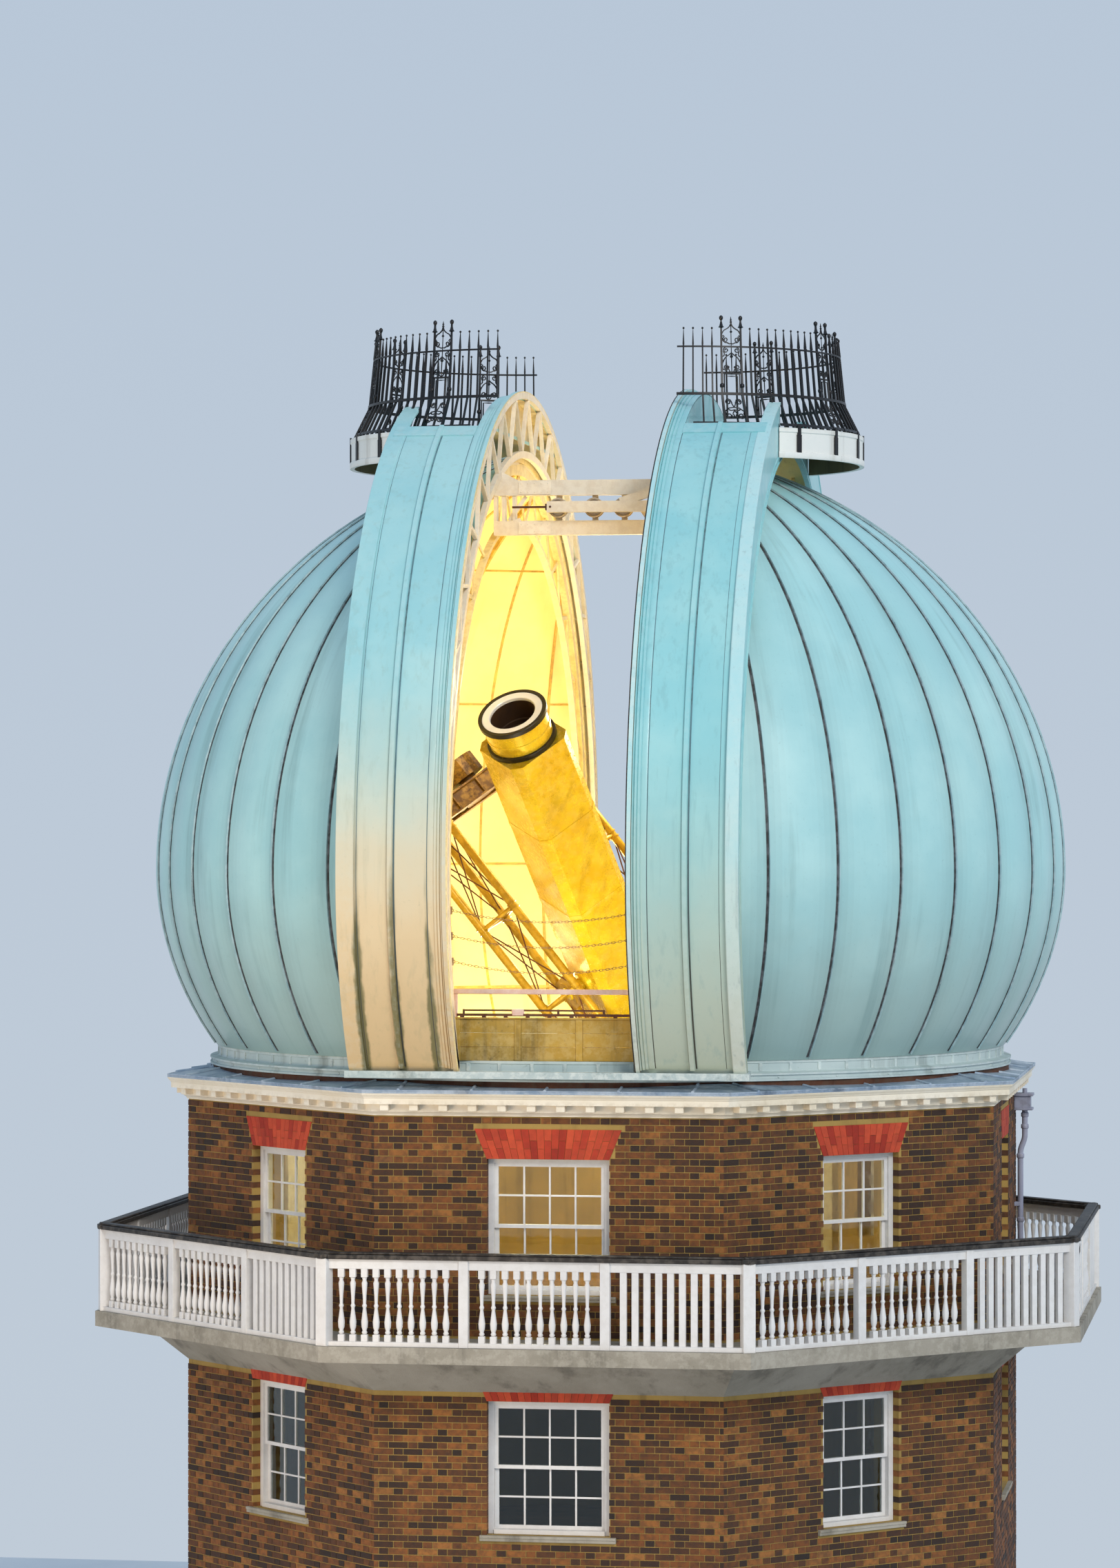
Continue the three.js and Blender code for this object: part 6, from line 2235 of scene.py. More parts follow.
        # Finish 1 on the underside, the inner face of the fascia and the joists is painted shade with warm
        # light from inside the dome.
        sketch.lattice(np.stack([arc(radius - 0.057, deck - 0.049), arc(radius - 0.057, deck - 0.0005)]),
                       finish=1)
        inner = [arc(radius - 0.062, z) for z in (foot + 0.006, deck - 0.045)]
        sketch.lattice(np.stack([*inner, *(line + [0.002, 0, 0] for line in inner[::-1])], axis=1), finish=1)
        for y in (-1.0, 0.0, 1.0):
            end = centre + math.sqrt((radius - 0.03) ** 2 - y * y) - 0.03
            sketch.box((start, y - 0.025, deck - 0.17), (end, y + 0.025, deck - 0.04), finish=1)
        for angle in np.radians((-45, -27, -9, 9, 27, 45)):
            straps.place = mirrored(self.side) @ placed((centre, 0, 0), angle, "Z")
            for low, high, near, far, half in ((foot + 0.070, deck + 0.030, -0.022, -0.0005, 0.024),
                                               (foot + 0.070, deck - 0.080, -0.022, -0.0003, 0.032),
                                               (deck - 0.001, deck + 0.012, -0.075, -0.018, 0.024)):
                straps.box((radius + near, -half, low), (radius + far, half, high))
        sketch.piece(f"{self.label}_crown_deck_and_fascia", self.body, "leaf_paint",
                     [Finishes.CROWN, Finishes.CROWN_UNDER_SHADE],
                     replaces=[f"{self.label}_crown_platform"])
        straps.piece(f"{self.label}_crown_straps", self.body, "black_iron", [Finishes.IRON])

    def tail_bar(self) -> None:
        """Builds the bar that runs past the rollers with its brace, bolts and rod."""
        sketch, rod = self.sketch(), self.sketch()
        near, far, low, top, end, plate = -2.060, -2.160, 15.920, 16.050, 0.9997, 0.012
        sketch.box((-0.44, far + 0.001, low), (end, far + 0.001 + plate, top))
        for z in (low, top - plate):
            sketch.box((-0.44, far + plate, z), (end, near - 0.002, z + plate))
        sketch.box((-0.44, far + plate, low + plate), (-0.428, near - 0.002, top - plate))
        middle = (near + far) / 2
        sketch.bar((0.43, middle, top - 0.010), (0.985, middle, top + 0.145), 0.090, 0.095, (0, 0, 1))
        sketch.box((0.962, far + 0.010, top), (end, near - 0.010, top + 0.195))
        for x in (0.30, 0.62, 0.90):
            sketch.box((x - 0.01, far + 0.014, low + plate), (x + 0.01, near - 0.006, top - plate))
        sketch.box((1.0005, far, low), (1.0595, near, top + 0.320))
        level = low + 0.065
        rod.studs(np.array([[x, far + 0.001, level] for x in (-0.40, 0.86)]), (0, -1, 0), 0.016)
        rod.box((0.90, far - 0.006, level - 0.035), (0.94, far + 0.002, level + 0.045))
        rod.tube(np.array([[-0.43, middle, level], [-0.86, middle, level]]), 0.013, 8)
        rod.box((-0.462, middle - 0.03, level - 0.038), (-0.445, middle + 0.03, level + 0.038))
        sketch.piece(f"{self.label}_tail_bar_channel", self.body, "steel_paint", [Finishes.STEEL],
                     replaces=[f"{self.label}_tail_bar"])
        rod.piece(f"{self.label}_tail_rod", self.body, "black_iron", [Finishes.RUSTY])


@dataclass
class CrownRailing:
    """Half of the wrought railing round the crown, with spikes, scrolls and ball-topped posts."""

    side: Side
    body: Body
    shape: Crown
    levels: tuple[tuple[float, float], ...] = (
        (LEVELS.crown_deck, 2.050), (17.310, 1.860), (17.900, 1.800), (18.260, 1.780),
    )
    deck: float = LEVELS.crown_deck + 0.0005
    waist: float = 17.310
    top: float = 17.900
    spike: float = 18.120
    post: float = 18.2595
    ornament: float = 3.8
    later_panels: tuple[float, ...] = (67.5, 112.5, 157.5)
    mean: float = 1.820
    wire: float = 0.009

    def at(self, turn: np.ndarray, level: np.ndarray, out: float = 0.0) -> np.ndarray:
        """Finds points of the railing.

        Args:
            turn: Degrees round from the front end.
            level: Height of each point.
            out: Distance outside the railing.

        Returns:
            The points.
        """
        turn, level = np.broadcast_arrays(np.radians(turn), np.asarray(level, dtype=float))
        heights, radii = np.array(self.levels).T
        radius = np.interp(level, heights, radii) + out
        return np.stack([self.shape.centre + radius * np.sin(turn), -radius * np.cos(turn), level], axis=-1)

    def build(self) -> None:
        """Builds the rails, bars, posts and scrolls."""
        self.sketch = Sketch(mirrored(self.side))
        shape, gap = self.shape, self.ornament
        whole = np.linspace(shape.front_rail, shape.back_rail, 120)
        fin = [math.degrees(math.asin((2.23 - shape.centre) / 2.05))] * 2
        breaks = (8.0, fin[0] - 1.9, fin[0] + 1.9, 178.1 - fin[0], 181.9 - fin[0], 170.0)
        self.rail(whole, self.waist + 0.016, 0.019, 0.016)
        self.rail(whole, self.top - 0.012, 0.011, 0.010)
        for start, end in zip(breaks[::2], breaks[1::2]):
            self.rail(np.linspace(start, end, 40), self.deck + 0.036, 0.014, 0.016)
        panels = (shape.first_panel, *self.later_panels)
        for middle in panels:
            self.ornament_panel(middle)
        for first, second in zip(panels, panels[1:]):
            for turn in np.linspace(first + gap, second - gap, 11)[1:-1]:
                self.spiked_bar(turn)
        for (end, count), post in ((shape.front_spikes, panels[0] - gap),
                                   (shape.back_spikes, panels[-1] + gap)):
            for turn in np.linspace(end, post, count + 1)[:-1]:
                self.spiked_bar(turn)
        self.sketch.piece(f"{self.side.label}_wrought_railing", self.body, "black_iron", [Finishes.IRON],
                          replaces=[f"{self.side.label}_crown_railing"], smooth=50)

    def rail(self, turns: np.ndarray, level: float, wide: float, tall: float) -> None:
        """Adds one rail along the railing.

        Args:
            turns: Degrees round from the front end.
            level: Height of its middle.
            wide: Half of its width.
            tall: Half of its height.
        """
        rows = [self.at(turns, level + up, out) for out, up in oblong(-wide, wide, -tall, tall)]
        self.sketch.lattice(np.stack(rows, axis=1))

    def upright(self, turn: float, levels: Sequence[float], radii: Sequence[float], sides: int = 4,
                blade: float = 1.0) -> None:
        """Adds an upright that follows the railing's flare.

        Args:
            turn: Degrees round from the front end.
            levels: Heights of its rings.
            radii: Radius at each ring.
            sides: Number of its sides.
            blade: How much deeper it is than wide, away from the middle of the crown.
        """
        path = self.at(turn, np.array(levels))
        out = path[0] - [self.shape.centre, 0.0, path[0, 2]]
        self.sketch.tube(path, np.array(radii), sides, flat=blade, up=tuple(out / np.linalg.norm(out)))

    def spiked_bar(self, turn: float) -> None:
        """Adds one blade-like bar with a long point and a small ball.

        Over the leaf's casing it starts at the waist rail.

        Args:
            turn: Degrees round from the front end.
        """
        over_casing = self.shape.centre + 1.9 * math.sin(math.radians(turn)) < 1.27
        foot = [self.waist] if over_casing else [self.deck, (self.deck + self.waist) / 2, self.waist]
        low = foot[:-1]
        self.upright(turn, [*low, self.waist, self.top, self.top + 0.02, self.spike - 0.02],
                     [0.0135] * len(low) + [0.0135, 0.012, 0.015, 0.004], blade=1.4)
        tip = self.spike
        self.upright(turn, [tip - 0.028, tip - 0.024, tip - 0.014, tip - 0.004, tip],
                     [0.004, 0.010, 0.014, 0.010, 0.002], 8)

    def ornament_panel(self, middle: float) -> None:
        """Adds two ball-topped posts with scrolls, a frame and a pointed arch between them.

        Args:
            middle: Degrees round to the middle of the panel.
        """
        tip = self.post
        for sign in (-1, 1):
            turn = middle + sign * self.ornament
            self.upright(turn, [self.deck, 17.12, self.waist, self.top, tip - 0.05],
                         [0.020, 0.019, 0.018, 0.014, 0.012], blade=1.3)
            self.upright(turn, [tip - 0.060, tip - 0.054, tip - 0.038, tip - 0.020, tip - 0.006, tip],
                         [0.010, 0.017, 0.024, 0.024, 0.014, 0.002], 10)
            self.upright(turn, [tip - 0.150, tip - 0.140, tip - 0.125, tip - 0.070],
                         [0.016, 0.036, 0.022, 0.010], 8)
            self.upright(turn,
                         [self.waist + 0.085, self.waist + 0.100, self.waist + 0.125, self.waist + 0.140],
                         [0.016, 0.028, 0.028, 0.016], 8)
        self.upright(middle, [17.56, 17.75, 17.77, 17.79, 17.83, 18.05, 18.065, 18.08, 18.17],
                     [0.006, 0.007, 0.022, 0.010, 0.006, 0.005, 0.018, 0.006, 0.006], 6)
        self.upright(middle, [18.165, 18.180, 18.195, 18.205, 18.215, 18.245],
                     [0.006, 0.016, 0.007, 0.013, 0.008, 0.002], 6)
        for sign in (-1, 1):
            self.curve(middle, sign, [(0.118, 17.985), (0.114, 18.035), (0.088, 18.080), (0.045, 18.105),
                                      (0.014, 18.135), (0.0, 18.175)])
            self.scroll(middle, sign, [(0.118, 18.000), (0.095, 18.022)], (0.072, 17.972), 0.036, 70, -500)
            self.scroll(middle, sign, [(0.0, 17.925), (0.022, 17.920)], (0.072, 17.972), 0.042, -120, 150)
            self.scroll(middle, sign, [(0.0, 17.888), (0.022, 17.893), (0.045, 17.890)], (0.066, 17.846),
                        0.034, 80, -470)
            self.curve(middle, sign, [(0.098, 17.835), (0.086, 17.800), (0.096, 17.775), (0.118, 17.765),
                                      (0.116, 17.735), (0.098, 17.715)])
            self.curve(middle, sign, [(0.0, 17.815), (0.030, 17.790), (0.060, 17.770), (0.086, 17.740),
                                      (0.110, 17.690), (0.112, 17.640)])
            self.scroll(middle, sign, [(0.112, 17.640), (0.104, 17.606)], (0.070, 17.640), 0.036, -40, -520)
            self.scroll(middle, sign, [(0.0, 17.580), (0.024, 17.590)], (0.040, 17.640), 0.022, -100, 330)
            self.scroll(middle, sign, [(0.0, 17.160), (0.020, 17.200)], (0.062, 17.226), 0.038, 180, -560)
            self.scroll(middle, sign, [(0.0, 17.160), (0.060, 17.150), (0.108, 17.110)], (0.070, 17.056),
                        0.040, 40, -520)
            self.scroll(middle, sign, [(0.0, 17.120), (0.020, 17.090)], (0.028, 17.056), 0.022, 100, 300)
            self.curve(middle, sign, [(0.0, 17.130), (0.040, 17.120), (0.066, 17.134)])
            for across, low, high in ((0.092, 17.345, 17.560), (0.066, 17.345, 17.535)):
                self.curve(middle, sign, [(across, low), (across, high), (0.0, high)], smooth=False)
        self.curve(middle, 1, [(-0.118, 17.570), (0.118, 17.570)], smooth=False)

    def bend(self, middle: float, sign: int, line: np.ndarray) -> None:
        """Adds a thin bar along a line.

        Args:
            middle: Degrees round to the middle of the panel.
            sign: Which half of the panel.
            line: Distance from the panel's middle and height of each point.
        """
        turns = middle + sign * np.degrees(line[:, 0] / self.mean)
        self.sketch.tube(self.at(turns, line[:, 1]), self.wire, 4)

    def curve(self, middle: float, sign: int, points: Sequence[tuple[float, float]],
              smooth: bool = True) -> None:
        """Bends a thin bar through points given as distance from the panel's middle and height.

        Args:
            middle: Degrees round to the middle of the panel.
            sign: Which half of the panel.
            points: Points of the line.
            smooth: Whether the line is rounded.
        """
        line = np.array(points, dtype=float)
        if smooth:
            padded = np.concatenate([[2 * line[0] - line[1]], line, [2 * line[-1] - line[-2]]])
            t = np.linspace(0, 1, 4, endpoint=False)[:, None]
            parts = [0.5 * (2 * b + (c - a) * t + (2 * a - 5 * b + 4 * c - d) * t ** 2
                            + (3 * b - a - 3 * c + d) * t ** 3)
                     for a, b, c, d in zip(padded, padded[1:], padded[2:], padded[3:])]
            line = np.concatenate([*parts, line[-1:]])
        self.bend(middle, sign, line)

    def scroll(self, middle: float, sign: int, lead: Sequence[tuple[float, float]], eye: tuple[float, float],
               radius: float, start: float, wind: float) -> None:
        """Bends a bar that runs in from its lead and winds up round an eye.

        Args:
            middle: Degrees round to the middle of the panel.
            sign: Which half of the panel.
            lead: Points before the spiral.
            eye: Middle of the spiral.
            radius: Radius of the spiral where it begins.
            start: Angle in degrees at which it begins.
            wind: Degrees that it winds.
        """
        share = np.linspace(0, 1, max(6, int(abs(wind) / 36)))
        angle, reach = np.radians(start + wind * share), radius * (1 - 0.72 * share)
        spiral = np.stack([eye[0] + reach * np.cos(angle), eye[1] + reach * np.sin(angle)], axis=-1)
        line = np.concatenate([np.array(lead), spiral])
        self.bend(middle, sign, line)


POLE = np.array([-0.622515, 0.0, 0.782608])
MERIDIAN = np.array([0.782608, 0.0, 0.622515])
PIVOT = np.array([0.0, 0.0, 10.550])


def sky_frame(across: np.ndarray, along: np.ndarray) -> np.ndarray:
    """Places parts of the telescope.

    Args:
        across: Direction of the local X axis.
        along: Direction of the local Z axis.

    Returns:
        The 4x4 matrix with its origin at the pivot.
    """
    made = np.identity(4)
    made[:3, 0], made[:3, 1], made[:3, 2], made[:3, 3] = across, np.cross(along, across), along, PIVOT
    return made


def sky_directions() -> tuple[np.ndarray, np.ndarray]:
    """Finds the tube's direction and the declination axis.

    Returns:
        The two unit vectors.
    """
    hour, declination = math.radians(64), math.radians(44.8)
    front = np.array([0.0, -1.0, 0.0])
    equator = MERIDIAN * math.cos(hour) + front * math.sin(hour)
    tube = POLE * math.sin(declination) + equator * math.cos(declination)
    return tube, MERIDIAN * math.sin(hour) - front * math.cos(hour)


@dataclass
class Yoke:
    """The yoke mounting: two braced heads and two lattice sides round the tube."""

    half: float = 2.550
    head: float = 0.250
    reach: float = 1.150
    deep: float = 0.320
    journal: float = 0.115
    journal_end: float = 3.060
    chords: tuple[tuple[float, float], ...] = ((0.620, 0.270), (0.620, -0.270), (1.040, 0.0))
    chord: float = 0.052
    stations: tuple[float, ...] = (-2.480, -1.240, 0.0, 1.240, 2.480)

    def build(self) -> None:
        """Builds the heads and the sides."""
        _, across = sky_directions()
        self.place = sky_frame(across, POLE)
        for name, side in (("upper", 1), ("lower", -1)):
            self.cross_head(name, side)
        for name, side in (("first", 1), ("second", -1)):
            self.side_truss(name, side)

    def cross_head(self, name: str, side: int) -> None:
        """Builds one cross-head with its girders, gusset plates and journal.

        Args:
            name: Upper or lower.
            side: Sign along the polar axis.
        """
        sketch = Sketch(self.place @ np.diag([1.0, float(side), float(side), 1.0]))
        low, top = self.half + HAIR, self.half + self.head
        flange, web = 0.022, 0.018
        for y in (-self.deep, self.deep - 0.14):
            middle = y + 0.07
            sketch.box((-self.reach, y, low), (self.reach, y + 0.14, low + flange))
            sketch.box((-self.reach, y, top - flange), (self.reach, y + 0.14, top))
            sketch.box((-self.reach, middle - web / 2, low + flange),
                       (self.reach, middle + web / 2, top - flange))
            for x in np.linspace(-self.reach + 0.012, self.reach - 0.012, 7):
                sketch.box((x - 0.011, y + 0.01, low + flange), (x + 0.011, y + 0.13, top - flange))
        for x in (-self.reach + 0.03, -0.62, -0.24, 0.24, 0.62, self.reach - 0.03):
            sketch.box((x - 0.03, -self.deep + 0.14, low + 0.03), (x + 0.03, self.deep - 0.14, top - 0.03))
        with sketch.moved(placed((0, 0, top - 0.030))):
            sketch.turned(oblong(AXIS, 0.315, 0.0, 0.028), 6, closed=False)
        sketch.turned(oblong(AXIS, 0.21, low + 0.02, top - 0.03), 24, closed=False)
        r = self.journal - 0.0005
        sketch.turned([(AXIS, top - 0.01), (0.158, top - 0.01), (0.158, top + 0.022), (r, top + 0.030),
                       (r, self.journal_end - 0.012), (r - 0.012, self.journal_end),
                       (AXIS, self.journal_end)],
                      32, closed=False)
        for x_sign in (-1, 1):
            sketch.bar((x_sign * 0.30, 0, top - 0.06), (x_sign * (self.reach - 0.06), 0, low + 0.05), 0.055,
                       0.055, (0, 1, 0))
            for y in (-self.deep - 0.0005, self.deep - 0.0115):
                corners = []
                for z, spread in ((low + 0.004, 0.17), (top - 0.004, 0.10)):
                    for yy in (y, y + 0.012):
                        corners += [[x_sign * 0.95 - spread, yy, z], [x_sign * 0.95 + spread, yy, z]]
                sketch.blocks(np.array(corners))
        bolts = [(x, y, top) for x in np.linspace(-self.reach + 0.06, self.reach - 0.06, 12)
                 for y in (-self.deep + 0.03, -self.deep + 0.11, self.deep - 0.11, self.deep - 0.03)
                 if abs(x) > 0.34]
        bolts += [(*p, top - 0.002) for p in ring(0.27, 12)]
        sketch.studs(np.array(bolts), (0, 0, 1), 0.015)
        sketch.piece(f"{name}_cross_head", Body.YOKE, "gold_paint", [Finishes.YOKE_HEAD],
                     replaces=[f"{name}_yoke_head"])

    def side_truss(self, name: str, side: int) -> None:
        """Builds one side of the yoke out of tubes, collars, struts and tie rods.

        Args:
            name: First or second.
            side: Sign along the declination axis.
        """
        place = self.place @ mirrored(Side(side))
        tubes, ties = Sketch(place), Sketch(place)
        flange = 0.018
        for n, m in self.chords:
            line = np.array([[n, m, z]
                             for z in (-self.half, -self.half + flange, self.half - flange, self.half)])
            tubes.tube(line[1:3], self.chord, 20, up=(0, 1, 0))
            for a, b in ((0, 1), (2, 3)):
                tubes.tube(line[a:b + 1], self.chord + 0.002, 20, up=(0, 1, 0))
            for z in self.stations:
                level = min(max(z, -self.half + 0.05), self.half - 0.05)
                for up in (-0.045, 0.030):
                    tubes.tube(np.array([[n, m, level + up], [n, m, level + up + 0.016]]),
                               self.chord + 0.013, 20, up=(0, 1, 0))
        for z in self.stations:
            for k, (n, m) in enumerate(self.chords):
                n2, m2 = self.chords[(k + 1) % 3]
                tubes.tube(np.array([[n, m, z], [n2, m2, z]]), 0.028, 12)
        for low, high in zip(self.stations, self.stations[1:]):
            for k, (n, m) in enumerate(self.chords):
                n2, m2 = self.chords[(k + 1) % 3]
                if k == 0 and abs(low + high) < 1.3:
                    continue
                for a, b in (((n, m, low), (n2, m2, high)), ((n2, m2, low), (n, m, high))):
                    ties.tube(np.array([a, b]), 0.009, 6)
        tubes.box((0.576, -0.300, -0.200), (0.592, 0.300, 0.200))
        tubes.box((0.648, -0.300, -0.200), (0.664, 0.300, 0.200))
        for y in (-0.296, 0.272):
            tubes.box((0.592, y, -0.196), (0.648, y + 0.024, 0.196))
        for z in (-0.196, 0.172):
            tubes.box((0.592, -0.272, z), (0.648, 0.272, z + 0.024))
        bore = 0.0925
        with tubes.moved(placed((0, 0, 0), math.pi / 2, "Y")):
            tubes.turned([(bore, 0.590), (0.158, 0.590), (0.158, 0.664), (0.150, 0.672), (bore, 0.672)], 32)
        bolts = [(0.664, *p) for p in ring(0.135, 8)]
        bolts += [(0.664, y, z) for y in (-0.26, 0.26) for z in (-0.16, 0, 0.16)]
        tubes.studs(np.array(bolts), (1, 0, 0), 0.014)
        tubes.piece(f"{name}_side_truss", Body.YOKE, "gold_paint", [Finishes.YOKE],
                    replaces=[f"{name}_yoke_truss"])
        ties.piece(f"{name}_tie_rods", Body.YOKE, "black_iron", [Finishes.RUSTY])


@dataclass
class Telescope:
    """The eight-sided tube with its dew cap and eyepiece end."""

    half: float = 0.425
    chamfer: float = 0.110
    rear: float = -3.722
    front: float = 3.600
    trunnion: float = 0.090
    trunnion_end: float = 0.690
    cap_front: float = 4.030
    cap_ring: float = 0.420
    drum: float = 0.385
    bore: float = 0.275

    def build(self) -> None:
        """Builds the tube, the dew cap and the eyepiece end."""
        along, across = sky_directions()
        self.place = sky_frame(across, along)
        self.tube()
        self.dew_cap()
        self.eyepiece_end()

    def tube(self) -> None:
        """Builds the panelled tube with its bands, rivets and trunnions."""
        body, strips = Sketch(self.place), Sketch(self.place)
        h, c = self.half - 0.004, self.half - self.chamfer
        outline = np.array([(h, -c), (h, c), (c, h), (-c, h), (-h, c), (-h, -c), (-c, -h), (c, -h)])
        levels = np.array([self.rear, -2.44, -1.22, 0.0, 1.22, 2.44, self.front])
        rows = [np.concatenate([outline, np.full((8, 1), z)], axis=1) for z in levels]
        body.lattice(np.array(rows))
        for z in levels:
            low, high = max(z - 0.028, self.rear), min(z + 0.028, self.front)
            big = outline * (self.half / h)
            strips.lattice(np.array([np.concatenate([big, np.full((8, 1), v)], axis=1) for v in (low, high)]))
        rivets, normals = [], []
        for k in range(8):
            first, second = outline[k], outline[(k + 1) % 8]
            ahead = (second - first) / np.linalg.norm(second - first)
            out = np.array([ahead[1], -ahead[0]])
            for z in np.arange(self.rear + 0.10, self.front - 0.05, 0.12):
                for point in (first + ahead * 0.028, second - ahead * 0.028):
                    rivets.append((*(point + out * 0.0005), z))
                    normals.append((*out, 0.0))
        strips.studs(np.array(rivets), np.array(normals), 0.0085)
        r, face, end = self.trunnion - 0.0005, self.half, self.trunnion_end
        for sign in (-1, 1):
            with strips.moved(placed((0, 0, 0), sign * math.pi / 2, "Y")):
                strips.turned([(AXIS, face - 0.03), (0.16, face - 0.03), (0.16, face + 0.028),
                               (0.14, face + 0.044), (r, face + 0.048), (r, end - 0.010),
                               (r - 0.010, end), (AXIS, end)], 32, closed=False)
        body.piece("panelled_tube", Body.TELESCOPE, "gold_paint", [Finishes.TUBE],
                   replaces=["telescope_tube"])
        strips.piece("tube_bands_and_rivets", Body.TELESCOPE, "gold_paint", [Finishes.TUBE])

    def dew_cap(self) -> None:
        """Turns the dew cap with its black rings, white face and dark bore."""
        drum, black, white, bore = (Sketch(self.place) for _ in range(4))
        low, top = self.front + HAIR, self.cap_front
        drum.turned([(self.bore + 0.012, low + 0.055), (self.drum, low + 0.055), (self.drum, low + 0.16),
                     (self.drum + 0.008, low + 0.165), (self.drum + 0.008, low + 0.195),
                     (self.drum, low + 0.20), (self.drum, top - 0.055), (self.bore + 0.012, top - 0.055)], 72)
        black.turned([(self.bore + 0.012, low), (self.cap_ring - 0.004, low), (self.cap_ring, low + 0.004),
                      (self.cap_ring, low + 0.056), (self.cap_ring - 0.004, low + 0.060),
                      (self.bore + 0.012, low + 0.060)], 72)
        black.turned([(self.drum - 0.012, top - 0.060), (self.cap_ring - 0.004, top - 0.060),
                      (self.cap_ring, top - 0.055), (self.cap_ring, top - 0.005),
                      (self.cap_ring - 0.005, top), (self.drum - 0.012, top)], 72)
        black.studs(np.array([(*p, low + 0.060) for p in ring(0.403, 18)]), (0, 0, 1), 0.011)
        white.turned([(self.bore + 0.002, top - 0.050), (self.drum - 0.0125, top - 0.050),
                      (self.drum - 0.0125, top - 0.010), (self.drum - 0.020, top - 0.005),
                      (self.bore + 0.010, top - 0.008), (self.bore + 0.002, top - 0.016)], 72)
        bore.turned([(AXIS, low + 0.020), (self.bore + 0.0115, low + 0.020),
                     (self.bore + 0.0115, top - 0.052),
                     (self.bore, top - 0.052), (self.bore, low + 0.12), (self.bore - 0.02, low + 0.115),
                     (self.bore - 0.02, low + 0.055), (AXIS, low + 0.062)], 72, closed=False)
        drum.piece("dew_cap_drum", Body.TELESCOPE, "gold_paint", [Finishes.TUBE], replaces=["dew_cap"])
        black.piece("dew_cap_rings", Body.TELESCOPE, "black_iron", [Finishes.IRON])
        white.piece("dew_cap_face", Body.TELESCOPE, "cream_paint", [Finishes.WHITE_RING])
        bore.piece("dew_cap_bore", Body.TELESCOPE, "gold_paint", [Finishes.BORE])

    def eyepiece_end(self) -> None:
        """Turns the tailpiece with its focuser, hand wheel and guide tubes."""
        sketch = Sketch(self.place @ np.diag([1.0, -1.0, -1.0, 1.0]))
        low = -self.rear + HAIR
        sketch.turned([(AXIS, low), (0.256, low), (0.260, low + 0.004), (0.260, low + 0.030),
                       (0.240, low + 0.036),
                       (0.240, low + 0.072), (0.252, low + 0.076), (0.252, low + 0.086), (0.246, low + 0.090),
                       (0.110, low + 0.090), (0.104, low + 0.096), (0.104, low + 0.140), (0.110, low + 0.144),
                       (0.110, low + 0.160), (0.080, low + 0.166), (0.060, low + 0.170), (0.060, low + 0.200),
                       (0.052, low + 0.210), (AXIS, low + 0.208)], 48, closed=False)
        for angle in (0.4, 2.5, 4.6):
            x, y = 0.18 * math.cos(angle), 0.18 * math.sin(angle)
            line = np.array([[x, y, low + 0.085], [x, y, low + 0.150], [x, y, low + 0.158]])
            sketch.tube(line, np.array([0.024, 0.024, 0.016]), 14, up=(1, 0, 0))
        sketch.studs(np.array([(*p, low + 0.090) for p in ring(0.226, 12)]), (0, 0, 1), 0.010)
        sketch.piece("tailpiece", Body.TELESCOPE, "black_iron", [Finishes.IRON], replaces=["eyepiece_end"],
                     smooth=40)


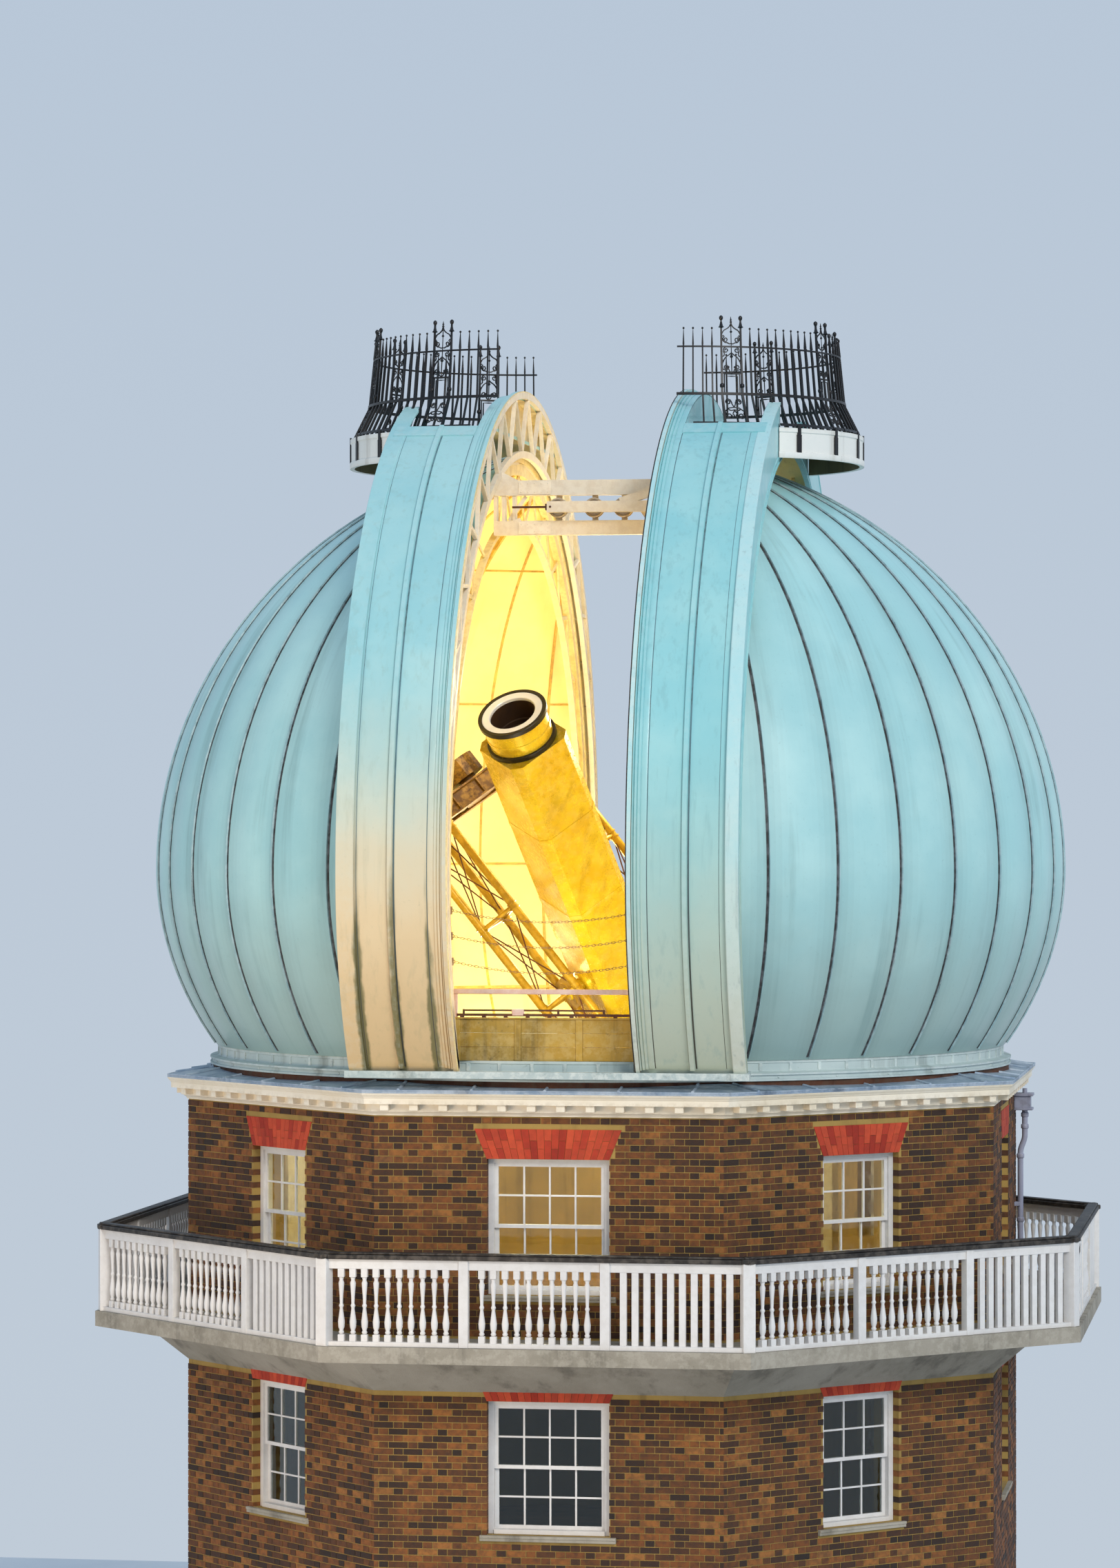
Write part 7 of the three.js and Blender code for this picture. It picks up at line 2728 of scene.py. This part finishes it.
@dataclass
class Studio:
    """The floor, the lights and the camera of the photo's view."""

    lens: float = 114.0
    eye: tuple[float, float, float] = (8.87, -59.95, 12.45)
    heading: tuple[float, float] = (-0.1564, 0.9877)
    tilt: float = 0.26
    floor: float = 20.0

    def build(self) -> None:
        """Builds the studio round the building."""
        self.ground()
        self.sky()
        self.lamps()
        self.camera()

    def ground(self) -> None:
        """Lays the pale floor."""
        sketch = Sketch()
        sketch.box((-self.floor, -self.floor, -0.051), (self.floor, self.floor, -0.001))
        made = sketch.mesh("floor", 30.0)
        made.materials.append(Finishes.FLOOR.material())
        floor = bpy.data.objects.new("floor", made)
        bpy.context.scene.collection.objects.link(floor)

    def sky(self) -> None:
        """Fills the background with soft pale light."""
        world = bpy.data.worlds.new("soft_sky")
        bpy.context.scene.world = world
        world.use_nodes = True
        bench = Bench(world.node_tree)
        back = world.node_tree.nodes["Background"]
        up = bench.node("SeparateXYZ", {0: bench.node("TexCoord").outputs["Generated"]})
        share = bench.ramp(up.outputs[2], -0.4, 0.7)
        colour = bench.mix(share, (0.64, 0.72, 0.81, 1.0), (0.50, 0.63, 0.80, 1.0))
        bench.feed(back.inputs[0], colour)
        back.inputs[1].default_value = 0.85

    def lamp(self, name: str, kind: str, at: Sequence[float], target: Sequence[float], energy: float,
             colour: Sequence[float], size: float) -> None:
        """Adds one lamp.

        Args:
            name: Name of the lamp.
            kind: AREA, POINT or SUN.
            at: Where it stands.
            target: What it points at.
            energy: Its power.
            colour: Its colour.
            size: Its size, radius or angle.
        """
        data = bpy.data.lights.new(name, kind)
        data.energy, data.color = energy, colour
        if kind == "AREA":
            data.shape, data.size = "DISK", size
        elif kind == "SUN":
            data.angle = size
        else:
            data.shadow_soft_size = size
        lamp = bpy.data.objects.new(name, data)
        lamp.location = at
        aim = Vector(target) - Vector(at)
        lamp.rotation_euler = aim.to_track_quat("-Z", "Y").to_euler()
        bpy.context.scene.collection.objects.link(lamp)

    def lamps(self) -> None:
        """Hangs the soft key, the low warm fill and the lamps inside the dome."""
        self.lamp("soft_key", "SUN", (14, -22, 26), (0, 0, 11), 1.6, (1.0, 0.96, 0.90), math.radians(22))
        self.lamp("warm_low_fill", "AREA", (-9, -16, 5.5), (-2, -3, 10.5), 700, (1.0, 0.74, 0.46), 6.0)
        warm = (1.0, 0.90, 0.64)
        self.lamp("dome_lamp_back", "POINT", (-1.2, 1.6, 10.6), (0, 0, 12), 480, warm, 0.6)
        self.lamp("dome_lamp_front", "POINT", (0.2, -2.6, 9.4), (0, 0, 12), 340, warm, 0.6)
        self.lamp("dome_lamp_high", "POINT", (0.4, 0.8, 13.6), (0, 0, 12), 300, warm, 0.6)

    def camera(self) -> None:
        """Places the camera where the photo was taken."""
        data = bpy.data.cameras.new("photo_camera")
        data.lens, data.sensor_width, data.sensor_fit = self.lens, 36.0, "AUTO"
        data.clip_start, data.clip_end = 0.5, 400.0
        made = bpy.data.objects.new("photo_camera", data)
        made.location = self.eye
        tilt = math.radians(self.tilt)
        ahead = Vector((self.heading[0] * math.cos(tilt), self.heading[1] * math.cos(tilt), math.sin(tilt)))
        made.rotation_euler = ahead.to_track_quat("-Z", "Y").to_euler()
        bpy.context.scene.collection.objects.link(made)
        bpy.context.scene.camera = made
        bpy.context.scene.view_settings.view_transform = "Standard"


def main() -> None:
    """Builds every sub-assembly in order."""
    logging.basicConfig(level=logging.INFO, format="%(name)s: %(message)s")
    parts = [
        ("tower", Tower()), ("dome", Dome()), ("right leaf", ShutterLeaf(Side.RIGHT)),
        ("left leaf", ShutterLeaf(Side.LEFT)), ("yoke", Yoke()), ("telescope", Telescope()),
        ("studio", Studio()),
    ]
    for name, part in parts:
        part.build()
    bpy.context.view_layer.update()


if __name__ == "__main__":
    main()
